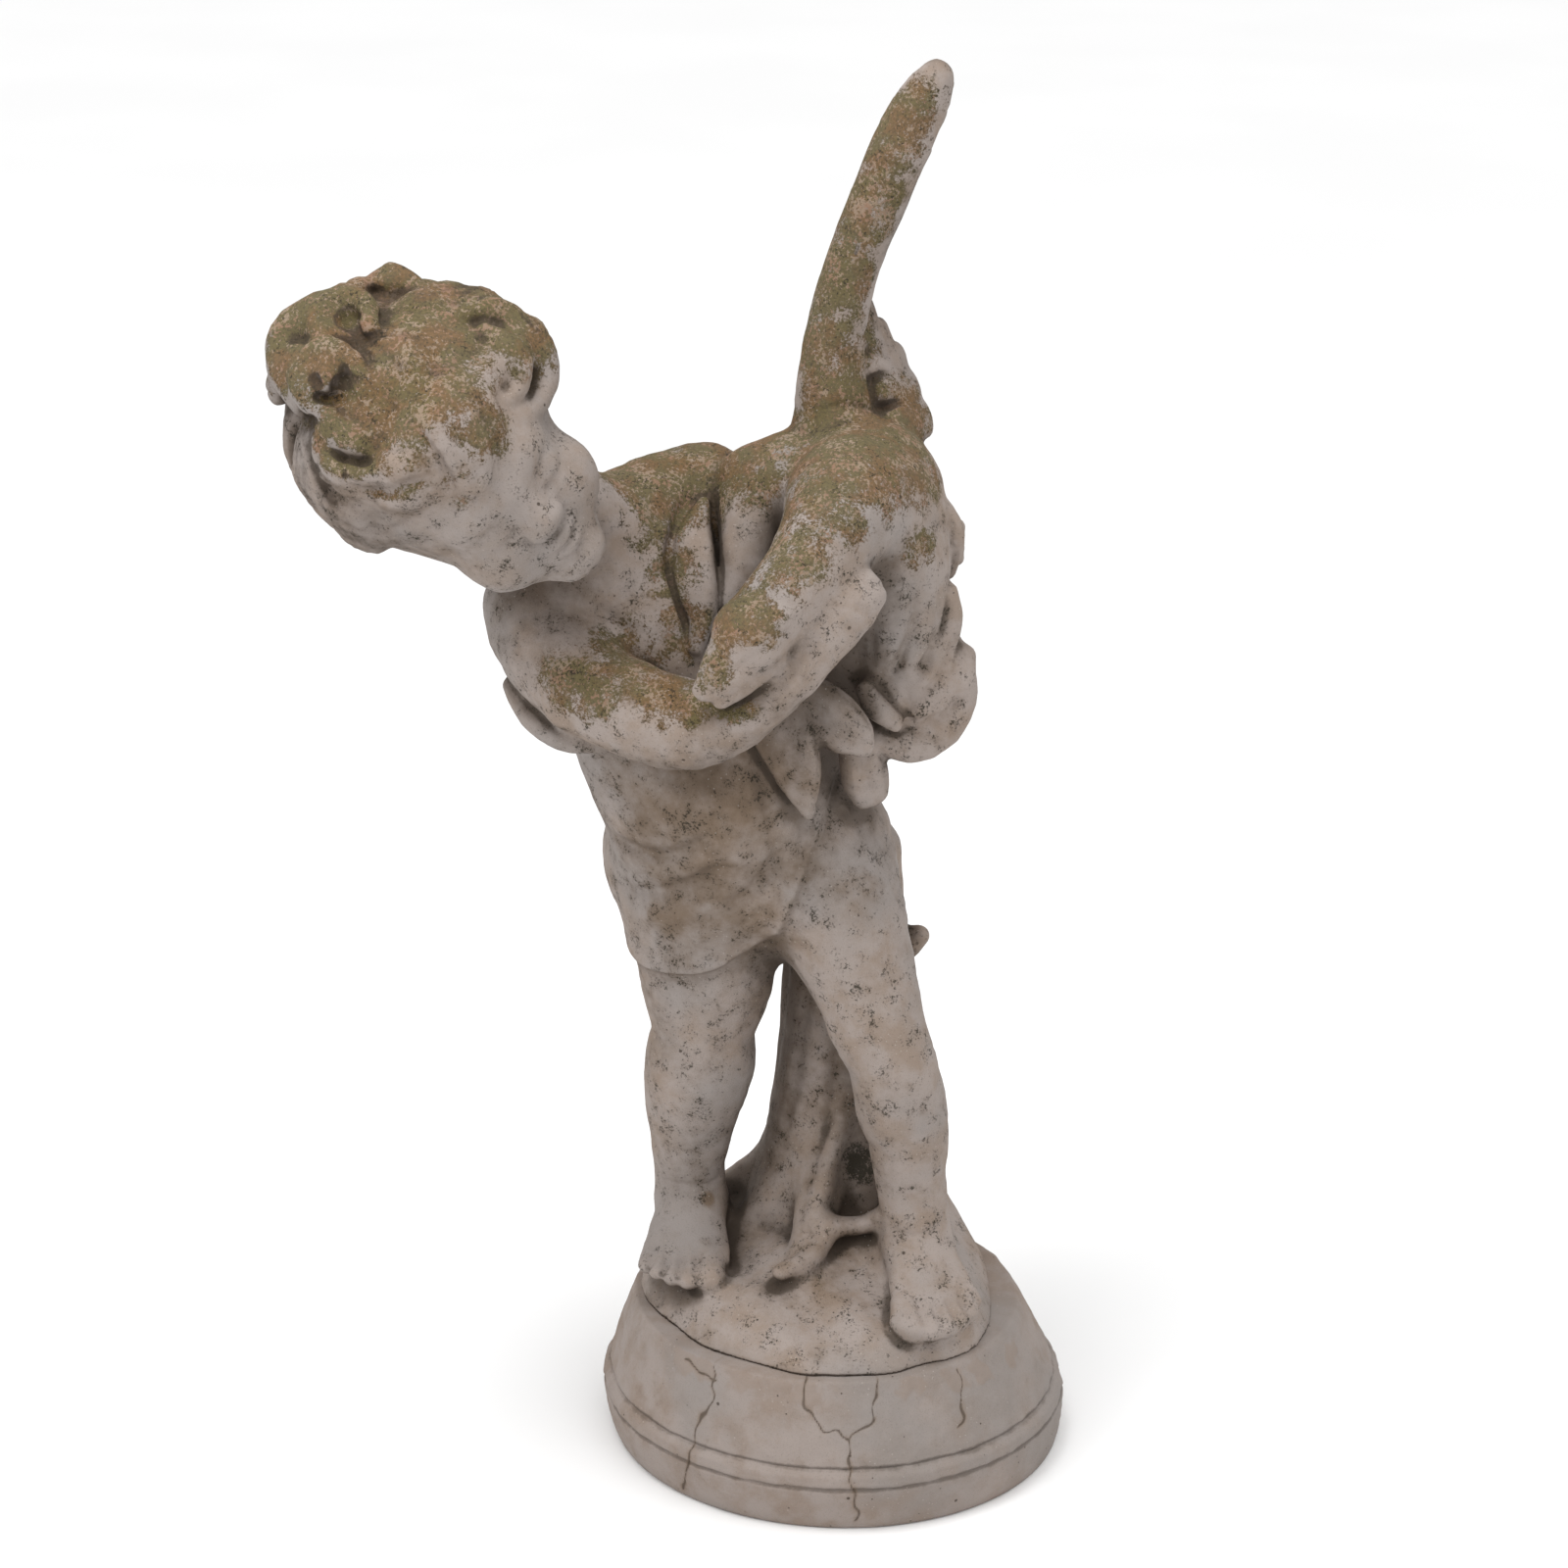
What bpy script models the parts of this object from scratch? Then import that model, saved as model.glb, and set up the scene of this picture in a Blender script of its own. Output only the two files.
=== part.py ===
"""Child with a goose: a cast stone garden sculpture standing on a turned round plinth.

Lengths are in metres, +Z is up and the front faces -Y. The origin is the middle of the plinth's underside.
The statue's pose is written in pose units: POSE_UNITS of them make FIGURE_HEIGHT, and z is counted from
the plinth's top.
"""

from __future__ import annotations

import math
from dataclasses import dataclass, field
from typing import Callable, Iterable, Sequence

import bmesh
import bpy
import numpy as np
from mathutils import Euler

Point = tuple[float, ...]
Stations = tuple[Point, ...]
Edge = Callable[[np.ndarray, np.ndarray, np.ndarray], np.ndarray]

# Plinth sizes
PLINTH_HEIGHT = 0.109
PLINTH_FOOT_RADIUS = 0.166
PLINTH_BAND_HEIGHT = 0.0350
PLINTH_BAND_BULGE = 0.0035
PLINTH_ROLL_HEIGHT = 0.0145
PLINTH_ROLL_RADIUS = 0.1640
PLINTH_GROOVE_WIDTH = 0.0024
PLINTH_GROOVE_DEPTH = 0.0018
PLINTH_TOP_RADIUS = 0.1400
PLINTH_TOP_SHIFT = (-0.0095, -0.010)
PLINTH_SHOULDER_BULGE = 0.0010
PLINTH_SIDES = 48

# Statue sizes
FIGURE_HEIGHT = 0.890
MOUND_INSET = 0.0015
BEDDING_GAP = 0.0003

# Sculpting
POSE_UNITS = 890.0
VOXEL = 2.6
REMESH_VOXEL = 2.2
FINEST_STROKE = 2.75
STATUE_TRIANGLES = 8300
BLOCK_LOW = (-410, -215, -12)
BLOCK_HIGH = (150, 175, 908)
FAR = 60.0
REACH = 15.0

UNIT = FIGURE_HEIGHT / POSE_UNITS


def unit_vector(v: Sequence[float]) -> np.ndarray:
    """A vector made one unit long."""
    row = np.asarray(v, float)
    return row / max(float(np.linalg.norm(row)), 1e-9)


def smooth_rows(stations: Iterable[Point], steps: int) -> np.ndarray:
    """A smooth curve through stations.

    Args:
        stations: Rows of numbers that the curve passes through.
        steps: Spans between each two stations.

    Returns:
        The curve's rows, ends included.
    """
    rows = np.array([tuple(s) for s in stations], float)
    padded = np.vstack([2 * rows[0] - rows[1], rows, 2 * rows[-1] - rows[-2]])
    out = []
    for i in range(len(rows) - 1):
        a, b, c, d = padded[i : i + 4]
        for t in np.arange(steps) / steps:
            bend = (2 * a - 5 * b + 4 * c - d) * t * t + (3 * b - a - 3 * c + d) * t**3
            out.append(0.5 * (2 * b + (c - a) * t + bend))
    out.append(rows[-1])
    return np.array(out)


@dataclass
class Frame:
    """A place and a turn, in pose units and degrees, that points are written in."""

    place: Point = (0, 0, 0)
    turn: Point = (0, 0, 0)

    def matrix(self) -> np.ndarray:
        """The turn as a matrix of three rows."""
        return np.array(Euler([math.radians(a) for a in self.turn]).to_matrix())

    def points(self, rows: Iterable[Point]) -> np.ndarray:
        """Rows whose first three numbers are a point, moved into the statue's frame.

        Args:
            rows: Rows of three numbers or more.

        Returns:
            The rows as an array, with the point moved and the rest as it was.
        """
        out = np.array([tuple(r) for r in rows], float)
        out[:, :3] = out[:, :3] @ self.matrix().T + np.array(self.place, float)
        return out

    def direction(self, v: Sequence[float]) -> np.ndarray:
        """A direction turned into the statue's frame."""
        return self.matrix() @ np.array(v, float)


STATUE = Frame()


class Clay:
    """A block of clay: how far each point of a grid is from its surface, less than zero inside."""

    def __init__(self, low: Point, high: Point, voxel: float, finest: float = 0.0) -> None:
        """Makes an empty block.

        Args:
            low: Lowest corner of the grid.
            high: Highest corner of the grid.
            voxel: Distance between grid points.
            finest: Strokes narrower than this are left out.
        """
        self.low = np.array(low, float)
        self.voxel = voxel
        self.finest = finest
        shape = np.ceil((np.array(high) - self.low) / voxel).astype(int) + 1
        self.field = np.full(shape, FAR, np.float32)
        self.frame = STATUE

    def window(self, low: np.ndarray, high: np.ndarray) -> tuple[tuple[slice, ...], list[np.ndarray]]:
        """The part of the grid between two corners.

        Args:
            low: Lowest corner.
            high: Highest corner.

        Returns:
            The slices of the field, and the x, y and z of its points.
        """
        first = np.floor((np.array(low) - self.low) / self.voxel).astype(int)
        last = np.ceil((np.array(high) - self.low) / self.voxel).astype(int) + 1
        first = np.clip(first, 0, self.field.shape)
        last = np.clip(last, first, self.field.shape)
        place = tuple(slice(a, b) for a, b in zip(first, last))
        axes = [self.low[i] + self.voxel * np.arange(first[i], last[i]) for i in range(3)]
        return place, np.meshgrid(*[a.astype(np.float32) for a in axes], indexing="ij", sparse=True)

    def add(self, place: tuple[slice, ...], distance: np.ndarray, soft: float) -> None:
        """Clay put on, with a fillet about a quarter of soft deep."""
        here = self.field[place]
        near = np.maximum(soft - np.abs(here - distance), 0)
        self.field[place] = np.minimum(here, distance) - near * near / (4 * max(soft, 1e-3))

    def cut(self, place: tuple[slice, ...], distance: np.ndarray, soft: float) -> None:
        """Clay taken away, with a rounded edge."""
        here = self.field[place]
        near = np.maximum(soft - np.abs(here + distance), 0)
        self.field[place] = np.maximum(here, -distance) + near * near / (4 * max(soft, 1e-3))

    def ball(
        self, centre: Point, radii: Point, soft: float = 6, turn: Point = (0, 0, 0), cut: bool = False
    ) -> None:
        """An ellipsoid put on or cut out.

        Args:
            centre: Its middle in the clay's frame.
            radii: Its three half lengths.
            soft: Width of the fillet round it.
            turn: Its own turn in degrees.
            cut: Whether it takes clay away.
        """
        middle = self.frame.points([centre])[0]
        axes = self.frame.matrix() @ Frame(turn=turn).matrix()
        reach = np.sqrt((axes**2) @ np.square(np.array(radii, float))) + soft + REACH
        place, (x, y, z) = self.window(middle - reach, middle + reach)
        near: np.ndarray | float = 0
        steep: np.ndarray | float = 0
        for axis, radius in zip(axes.T, radii):
            along = (x - middle[0]) * axis[0] + (y - middle[1]) * axis[1] + (z - middle[2]) * axis[2]
            near = near + (along / radius) ** 2
            steep = steep + (along / radius**2) ** 2
        near = np.sqrt(near)
        distance = (near - 1) * (near + 1e-4) / (np.sqrt(steep) + 1e-4 / min(radii))
        (self.cut if cut else self.add)(place, distance, soft)

    def limb(
        self,
        stations: Iterable[Point],
        soft: float = 6,
        across: Sequence = (0.3, 0.5, 0.8),
        square: float = 2.0,
        steps: int = 4,
        cut: bool = False,
    ) -> None:
        """A tube with domed ends through stations of x, y, z, half width and half thickness.

        Args:
            stations: Its rows. The half thickness may be left out where the tube is round.
            soft: Width of the fillet round it.
            across: Direction of its width, one for the whole limb or one for each end.
            square: 2 for an oval section, more for a flatter one with firmer edges.
            steps: Straight spans between each two stations.
            cut: Whether it takes clay away.
        """
        rows = [s if len(s) == 5 else (*s, s[3]) for s in stations]
        curve = self.frame.points(smooth_rows(rows, steps))
        ends = np.array(across, float)
        if ends.ndim == 1:
            ends = np.stack([ends, ends])
        reach = soft + REACH
        wide = curve[:, 3:].max() + reach
        place, _ = self.window(curve[:, :3].min(0) - wide, curve[:, :3].max(0) + wide)
        out = np.full([s.stop - s.start for s in place], FAR, np.float32)
        for i in range(len(curve) - 1):
            t = i / max(len(curve) - 2, 1)
            width = self.frame.direction(ends[0] * (1 - t) + ends[1] * t)
            self.span(out, place, curve[i], curve[i + 1], width, reach, square)
        (self.cut if cut else self.add)(place, out, soft)

    def span(
        self,
        out: np.ndarray,
        place: tuple[slice, ...],
        a: np.ndarray,
        b: np.ndarray,
        width: np.ndarray,
        reach: float,
        square: float,
    ) -> None:
        """One straight span of a limb, written into out where it is nearest.

        Args:
            out: Distances of the limb's window.
            place: Slices of that window.
            a: Row where the span starts.
            b: Row where the span ends.
            width: Direction of the width.
            reach: How far beyond its surface the distances are wanted.
            square: Exponent of the section.
        """
        wide = max(a[3:].max(), b[3:].max()) + reach
        low = np.minimum(a[:3], b[:3]) - wide
        high = np.maximum(a[:3], b[:3]) + wide
        part, (x, y, z) = self.window(low, high)
        local = tuple(slice(p.start - q.start, p.stop - q.start) for p, q in zip(part, place))
        length = max(float(np.linalg.norm(b[:3] - a[:3])), 1e-6)
        along = (b[:3] - a[:3]) / length
        width = unit_vector(width - along * (width @ along))
        depth = np.cross(along, width)
        x, y, z = x - a[0], y - a[1], z - a[2]
        run = x * along[0] + y * along[1] + z * along[2]
        share = np.clip(run / length, 0, 1)
        half_width = a[3] + (b[3] - a[3]) * share
        half_depth = a[4] + (b[4] - a[4]) * share
        half_end = np.minimum(half_width, half_depth)
        u = np.abs(x * width[0] + y * width[1] + z * width[2]) / half_width
        v = np.abs(x * depth[0] + y * depth[1] + z * depth[2]) / half_depth
        w = np.abs(run - share * length) / half_end
        if square == 2:
            near = np.sqrt(u * u + v * v + w * w)
            steep = np.sqrt((u / half_width) ** 2 + (v / half_depth) ** 2 + (w / half_end) ** 2)
            distance = (near - 1) * (near + 1e-4) / (steep + 1e-4 / half_end)
        else:
            near = np.maximum(u**square + v**square + w**square, 1e-6) ** (1 / square)
            sides = ((u, half_width), (v, half_depth), (w, half_end))
            steep = np.sqrt(sum((s ** (square - 1) / h) ** 2 for s, h in sides)) * near ** (1 - square)
            distance = (near - 1) / np.maximum(steep, 0.5 / half_width)
        out[local] = np.minimum(out[local], distance)

    def layer(
        self, low: Point, high: Point, thickness: float, edges: Iterable[Edge], soft: float = 2
    ) -> None:
        """A layer of cloth over the clay.

        Args:
            low: Lowest corner of the box that it lies in.
            high: Highest corner of that box.
            thickness: Thickness of the cloth.
            edges: Distances outside the cloth's borders. It is kept where they are all below zero.
            soft: Roundness of its borders.
        """
        place, (x, y, z) = self.window(np.array(low), np.array(high))
        cloth = self.field[place] - thickness
        for edge in edges:
            border = edge(x, y, z)
            near = np.maximum(soft - np.abs(cloth - border), 0)
            cloth = np.maximum(cloth, border) + near * near / (4 * soft)
        self.add(place, cloth, soft)

    def sample(self, points: np.ndarray) -> np.ndarray:
        """The field at points, between its grid values."""
        at = (points - self.low) / self.voxel
        first = np.clip(np.floor(at).astype(int), 0, np.array(self.field.shape) - 2)
        part = np.clip(at - first, 0, 1)
        total = np.zeros(len(points))
        for corner in np.ndindex(2, 2, 2):
            share = np.prod(np.where(corner, part, 1 - part), axis=1)
            total = total + share * self.field[tuple((first + corner).T)]
        return total

    def snap(self, points: np.ndarray) -> np.ndarray:
        """Points moved onto the nearest surface."""
        for _ in range(12):
            slope = np.stack(
                [self.sample(points + e) - self.sample(points - e) for e in np.eye(3) * self.voxel], 1
            ) / (2 * self.voxel)
            size = np.maximum((slope**2).sum(1), 0.05)
            step = slope * (self.sample(points) / size)[:, None]
            points = points - np.clip(step, -6, 6)
        return points

    def stroke(self, points: Iterable[Point], width: float, depth: float, taper: bool = True) -> None:
        """A groove drawn over the surface, or a ridge where depth is less than zero.

        Args:
            points: The stroke's way, near the surface, in the clay's frame.
            width: Half width at which it has faded to a third.
            depth: How deep it goes.
            taper: Whether its ends fade out.
        """
        if width < self.finest:
            return
        rows = self.snap(self.frame.points(smooth_rows(points, 5)))
        place, _ = self.window(rows.min(0) - 3 * width - 4, rows.max(0) + 3 * width + 4)
        nearest = np.full([s.stop - s.start for s in place], FAR, np.float32)
        weight = np.ones_like(nearest)
        count = len(rows) - 1
        for i in range(count):
            low = np.minimum(rows[i], rows[i + 1]) - 3 * width
            high = np.maximum(rows[i], rows[i + 1]) + 3 * width
            part, (x, y, z) = self.window(low, high)
            local = tuple(slice(p.start - q.start, p.stop - q.start) for p, q in zip(part, place))
            way = rows[i + 1] - rows[i]
            length = max(float(np.linalg.norm(way)), 1e-6)
            way = way / length
            x, y, z = x - rows[i, 0], y - rows[i, 1], z - rows[i, 2]
            run = np.clip(x * way[0] + y * way[1] + z * way[2], 0, length)
            far = np.sqrt((x - run * way[0]) ** 2 + (y - run * way[1]) ** 2 + (z - run * way[2]) ** 2)
            t = (i + run / length) / count
            closer = far < nearest[local]
            nearest[local] = np.where(closer, far, nearest[local])
            if taper:
                ends = np.minimum(1, 5 * np.minimum(t, 1 - t) + 0.1)
                weight[local] = np.where(closer, ends, weight[local])
        self.field[place] += depth * weight * np.exp(-((nearest / width) ** 2))

    def soften(self, low: Point, high: Point, size: float) -> None:
        """Rounds all that lies between two corners, less and less towards the corners.

        Args:
            low: Lowest corner.
            high: Highest corner.
            size: How wide the forms are averaged.
        """
        place, _ = self.window(np.array(low), np.array(high))
        old = self.field[place]
        new = old.copy()
        share = np.ones((1, 1, 1), np.float32)
        for axis in range(3):
            count = old.shape[axis]
            rise = np.minimum(np.arange(count), count - 1 - np.arange(count)) * self.voxel / 30
            rise = np.clip(rise, 0, 1) ** 2 * (3 - 2 * np.clip(rise, 0, 1))
            share = share * rise.reshape([-1 if i == axis else 1 for i in range(3)]).astype(np.float32)
        for _ in range(round(2 * (size / self.voxel) ** 2)):
            for axis in range(3):
                new = (np.roll(new, 1, axis) + 2 * new + np.roll(new, -1, axis)) / 4
        self.field[place] = old + (new - old) * share

    def dent(self, centre: Point, radius: float, depth: float) -> None:
        """A soft hollow at the surface near a point, or a boss where depth is less than zero."""
        middle = self.snap(self.frame.points([centre]))[0]
        place, (x, y, z) = self.window(middle - 3 * radius, middle + 3 * radius)
        far = (x - middle[0]) ** 2 + (y - middle[1]) ** 2 + (z - middle[2]) ** 2
        self.field[place] += depth * np.exp(-far / radius**2)


def skin(values: np.ndarray) -> tuple[np.ndarray, np.ndarray]:
    """The surface where a field is zero.

    Args:
        values: The field on its grid.

    Returns:
        The points, in grid steps, and the quads between them.
    """
    inside = values < 0
    size = np.array(values.shape) - 1
    corners = np.array(list(np.ndindex(2, 2, 2)))
    count = np.zeros(size, np.uint8)
    for i, j, k in corners:
        count += inside[i : i + size[0], j : j + size[1], k : k + size[2]]
    cells = np.argwhere((count > 0) & (count < 8))
    at_corner = np.stack([values[tuple((cells + c).T)] for c in corners], 1)
    total = np.zeros((len(cells), 3))
    hits = np.zeros(len(cells))
    for a in range(8):
        for b in range(a + 1, 8):
            if np.abs(corners[a] - corners[b]).sum() != 1:
                continue
            cross = (at_corner[:, a] < 0) != (at_corner[:, b] < 0)
            share = at_corner[cross, a] / (at_corner[cross, a] - at_corner[cross, b])
            total[cross] += corners[a] + share[:, None] * (corners[b] - corners[a])
            hits[cross] += 1
    points = cells + total / hits[:, None]
    number = np.full(size, -1, np.int32)
    number[tuple(cells.T)] = np.arange(len(cells))
    quads = []
    for axis in range(3):
        u, v = (axis + 1) % 3, (axis + 2) % 3
        lower = np.take(inside, range(values.shape[axis] - 1), axis)
        upper = np.take(inside, range(1, values.shape[axis]), axis)
        edges = np.argwhere(lower != upper)
        edges = edges[(edges[:, u] > 0) & (edges[:, v] > 0)]
        edges = edges[(edges[:, u] < size[u]) & (edges[:, v] < size[v])]
        du, dv = np.eye(3, dtype=int)[u], np.eye(3, dtype=int)[v]
        ring = [edges, edges - du, edges - du - dv, edges - dv]
        quad = np.stack([number[tuple(r.T)] for r in ring], 1)
        turned = upper[tuple(edges.T)]
        quad[turned] = quad[turned, ::-1]
        quads.append(quad)
    return points, np.concatenate(quads)


def largest(points: np.ndarray, quads: np.ndarray) -> tuple[np.ndarray, np.ndarray]:
    """The biggest joined surface alone.

    Args:
        points: Places of all vertices.
        quads: All faces.

    Returns:
        The points and the quads of that surface.
    """
    label = np.arange(len(points))
    a = quads.reshape(-1)
    b = np.roll(quads, 1, axis=1).reshape(-1)
    while True:
        low = np.minimum(label[a], label[b])
        after = label.copy()
        np.minimum.at(after, a, low)
        np.minimum.at(after, b, low)
        after = after[after]
        if (after == label).all():
            break
        label = after
    names, counts = np.unique(label, return_counts=True)
    keep = label == names[counts.argmax()]
    index = np.cumsum(keep) - 1
    return points[keep], index[quads[keep[quads[:, 0]]]]


def mesh_of(name: str, points: np.ndarray, faces: np.ndarray) -> bpy.types.Mesh:
    """A mesh from arrays of points and of faces with equal counts of corners."""
    mesh = bpy.data.meshes.new(name)
    mesh.vertices.add(len(points))
    mesh.vertices.foreach_set("co", np.asarray(points, np.float32).ravel())
    mesh.loops.add(faces.size)
    mesh.loops.foreach_set("vertex_index", faces.astype(np.int32).ravel())
    mesh.polygons.add(len(faces))
    mesh.polygons.foreach_set("loop_start", np.arange(0, faces.size, faces.shape[1], dtype=np.int32))
    mesh.update(calc_edges=True)
    mesh.validate()
    return mesh


@dataclass
class Legs:
    """Both bare legs, and the feet with their toes."""

    right: Stations = (
        (-105, 14, 330, 58),
        (-103, 10, 285, 54),
        (-101, 6, 243, 48),
        (-103, 2, 205, 37),
        (-105, 3, 178, 40),
        (-109, 8, 150, 36.5),
        (-111, 11, 117, 30),
        (-112, 12, 92, 26),
        (-111, 12, 68, 26),
    )
    left: Stations = (
        (-26, 0, 345, 56),
        (-9, -20, 304, 48),
        (10, -38, 262, 38),
        (20, -48, 232, 34.5),
        (32, -52, 203, 31),
        (39, -46, 170, 32.5),
        (45, -42, 144, 29.5),
        (48, -42, 112, 26),
        (51, -44, 88, 24.5),
        (53, -46, 66, 25),
    )
    right_foot: Frame = field(default_factory=lambda: Frame((-110, 8, 40), (6, 0, -7)))
    left_foot: Frame = field(default_factory=lambda: Frame((53, -46, 38), (11, 0, 16)))
    toes: Stations = (
        (23, -66, 11.5, 9.5),
        (9, -70, 8, 7),
        (-3, -68, 7.5, 6.5),
        (-14, -63, 7, 6),
        (-24, -56, 6.5, 5.5),
    )
    creases: tuple[Stations, ...] = (
        ((-136, 4, 84), (-126, -12, 84), (-108, -17, 84), (-90, -6, 84), (-85, 10, 86)),
        ((34, -58, 78), (42, -70, 76), (54, -74, 76), (68, -66, 80), (78, -50, 82)),
        ((-132, -20, 196), (-116, -36, 192), (-98, -36, 192), (-80, -22, 198)),
        ((6, -76, 234), (22, -84, 228), (38, -82, 226), (52, -70, 230)),
    )

    def carve(self, clay: Clay) -> None:
        """Adds the legs and the feet."""
        clay.limb(self.right, 10)
        clay.limb(self.left, 16)
        self.foot(clay, self.right_foot, 1)
        self.foot(clay, self.left_foot, -1)

    def foot(self, clay: Clay, frame: Frame, side: int) -> None:
        """A foot from heel to toes along -y.

        Args:
            clay: The block of clay.
            frame: The ankle's place and turn.
            side: 1 where the big toe is on the +x side, else -1.
        """
        clay.frame = frame
        sole = ((0, 18, 10, 25, 22), (1, -8, 14, 26, 22), (2, -34, 6, 31, 14), (3, -50, 2, 33, 10))
        clay.limb(sole, 10, (1, 0, 0))
        clay.ball((0, 26, 6), (22, 18, 18), 10)
        for x, y, wide, high in self.toes:
            knuckle = (side * x * 0.9, y + 20, 4, wide, high)
            clay.limb((knuckle, (side * x, y, 2, wide, high)), 2.5, (1, 0, 0))
            clay.ball((side * x, y - 3, 1), (wide * 0.95, wide * 0.8, high), 1.5)
            nail = side * x
            clay.dent((nail, y - wide * 0.55, high * 0.9), wide * 0.42, 0.9)
        for one, two in zip(self.toes[:-1], self.toes[1:]):
            x = side * (one[0] - one[2] + two[0] + two[2]) / 2
            y = (one[1] + two[1]) / 2
            clay.stroke(((x * 0.92, y + 18, 10), (x, y + 5, 9), (x, y - 7, 3)), 2.8, 3.2)
        clay.frame = STATUE

    def crease(self, clay: Clay) -> None:
        """Presses in the creases at the ankles and the knees."""
        for way in self.creases[:2]:
            clay.stroke(way, 2.0, 2.0)
        for way in self.creases[2:]:
            clay.stroke(way, 5.0, 1.2)


@dataclass
class Trunk:
    """The hips, belly, chest and shoulders, leaning to the child's right, and the neck."""

    spine: Stations = (
        (-71, 10, 338, 91, 66),
        (-84, 6, 375, 86, 66),
        (-102, 0, 412, 82, 66),
        (-120, -3, 455, 80, 64),
        (-140, -4, 500, 80, 60),
        (-158, -2, 540, 74, 52),
    )
    shoulders: Stations = (
        (-212, -22, 522, 44, 42),
        (-186, -10, 556, 44, 42),
        (-152, 10, 580, 42, 40),
        (-118, 26, 589, 37, 36),
        (-88, 28, 580, 33, 33),
    )
    neck: Stations = ((-165, -8, 570, 36), (-195, -36, 598, 33), (-228, -66, 618, 34))
    lapel: Stations = (
        (-107, -12, 600, 4, 5),
        (-113, -27, 582, 12, 8),
        (-113, -37, 566, 15, 9),
        (-110, -45, 548, 14, 9),
        (-107, -52, 529, 9, 7),
        (-110, -58, 511, 5, 5),
    )
    arm_band: Stations = (
        (-76, 4, 616, 23, 20),
        (-76, -16, 592, 22, 20),
        (-79, -30, 566, 17, 17),
        (-88, -40, 540, 10, 11),
    )
    neckline: Stations = (
        (-116, -14, 606),
        (-123, -22, 593),
        (-129, -35, 578),
        (-130, -41, 564),
        (-126, -45, 549),
        (-120, -50, 535),
        (-116, -57, 515),
    )
    lapel_side: Stations = ((-100, -4, 604), (-97, -11, 581), (-90, -13, 565), (-85, -17, 548))

    def carve(self, clay: Clay) -> None:
        """Adds the trunk, its shoulders and the neck."""
        clay.limb(self.spine, 16, ((1, 0.1, 0.1), (0.75, 0.42, 0.5)))
        clay.ball((-92, -34, 400), (58, 44, 52), 20)
        clay.ball((-46, 10, 288), (28, 36, 30), 16)
        clay.ball((-44, 42, 335), (56, 50, 52), 20)
        clay.ball((-115, 42, 325), (58, 48, 52), 20)
        clay.limb(self.shoulders, 18, (0.2, -0.5, 0.8))
        clay.limb(self.neck, 16)
        clay.limb(self.arm_band, 10, (0.9, -0.3, 0.3))

    def crease(self, clay: Clay) -> None:
        """Adds the fold at the neck's edge and the soft lines of the back and the chest."""
        clay.stroke(self.neckline, 4.0, 5.0)
        clay.limb(self.lapel, 2, (0.9, -0.2, 0.4), square=2.8)
        clay.stroke(self.lapel_side, 2.6, 3.4)
        clay.stroke([(x - 9, y + 4, z + 2) for x, y, z in self.neckline[1:]], 5.0, -2.0)
        clay.stroke(((-180, -60, 540), (-160, -66, 528), (-140, -68, 520)), 5, 1.6)
        clay.stroke(((-150, 54, 560), (-132, 64, 510), (-112, 70, 450), (-98, 70, 420)), 9, 2.5)


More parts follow.
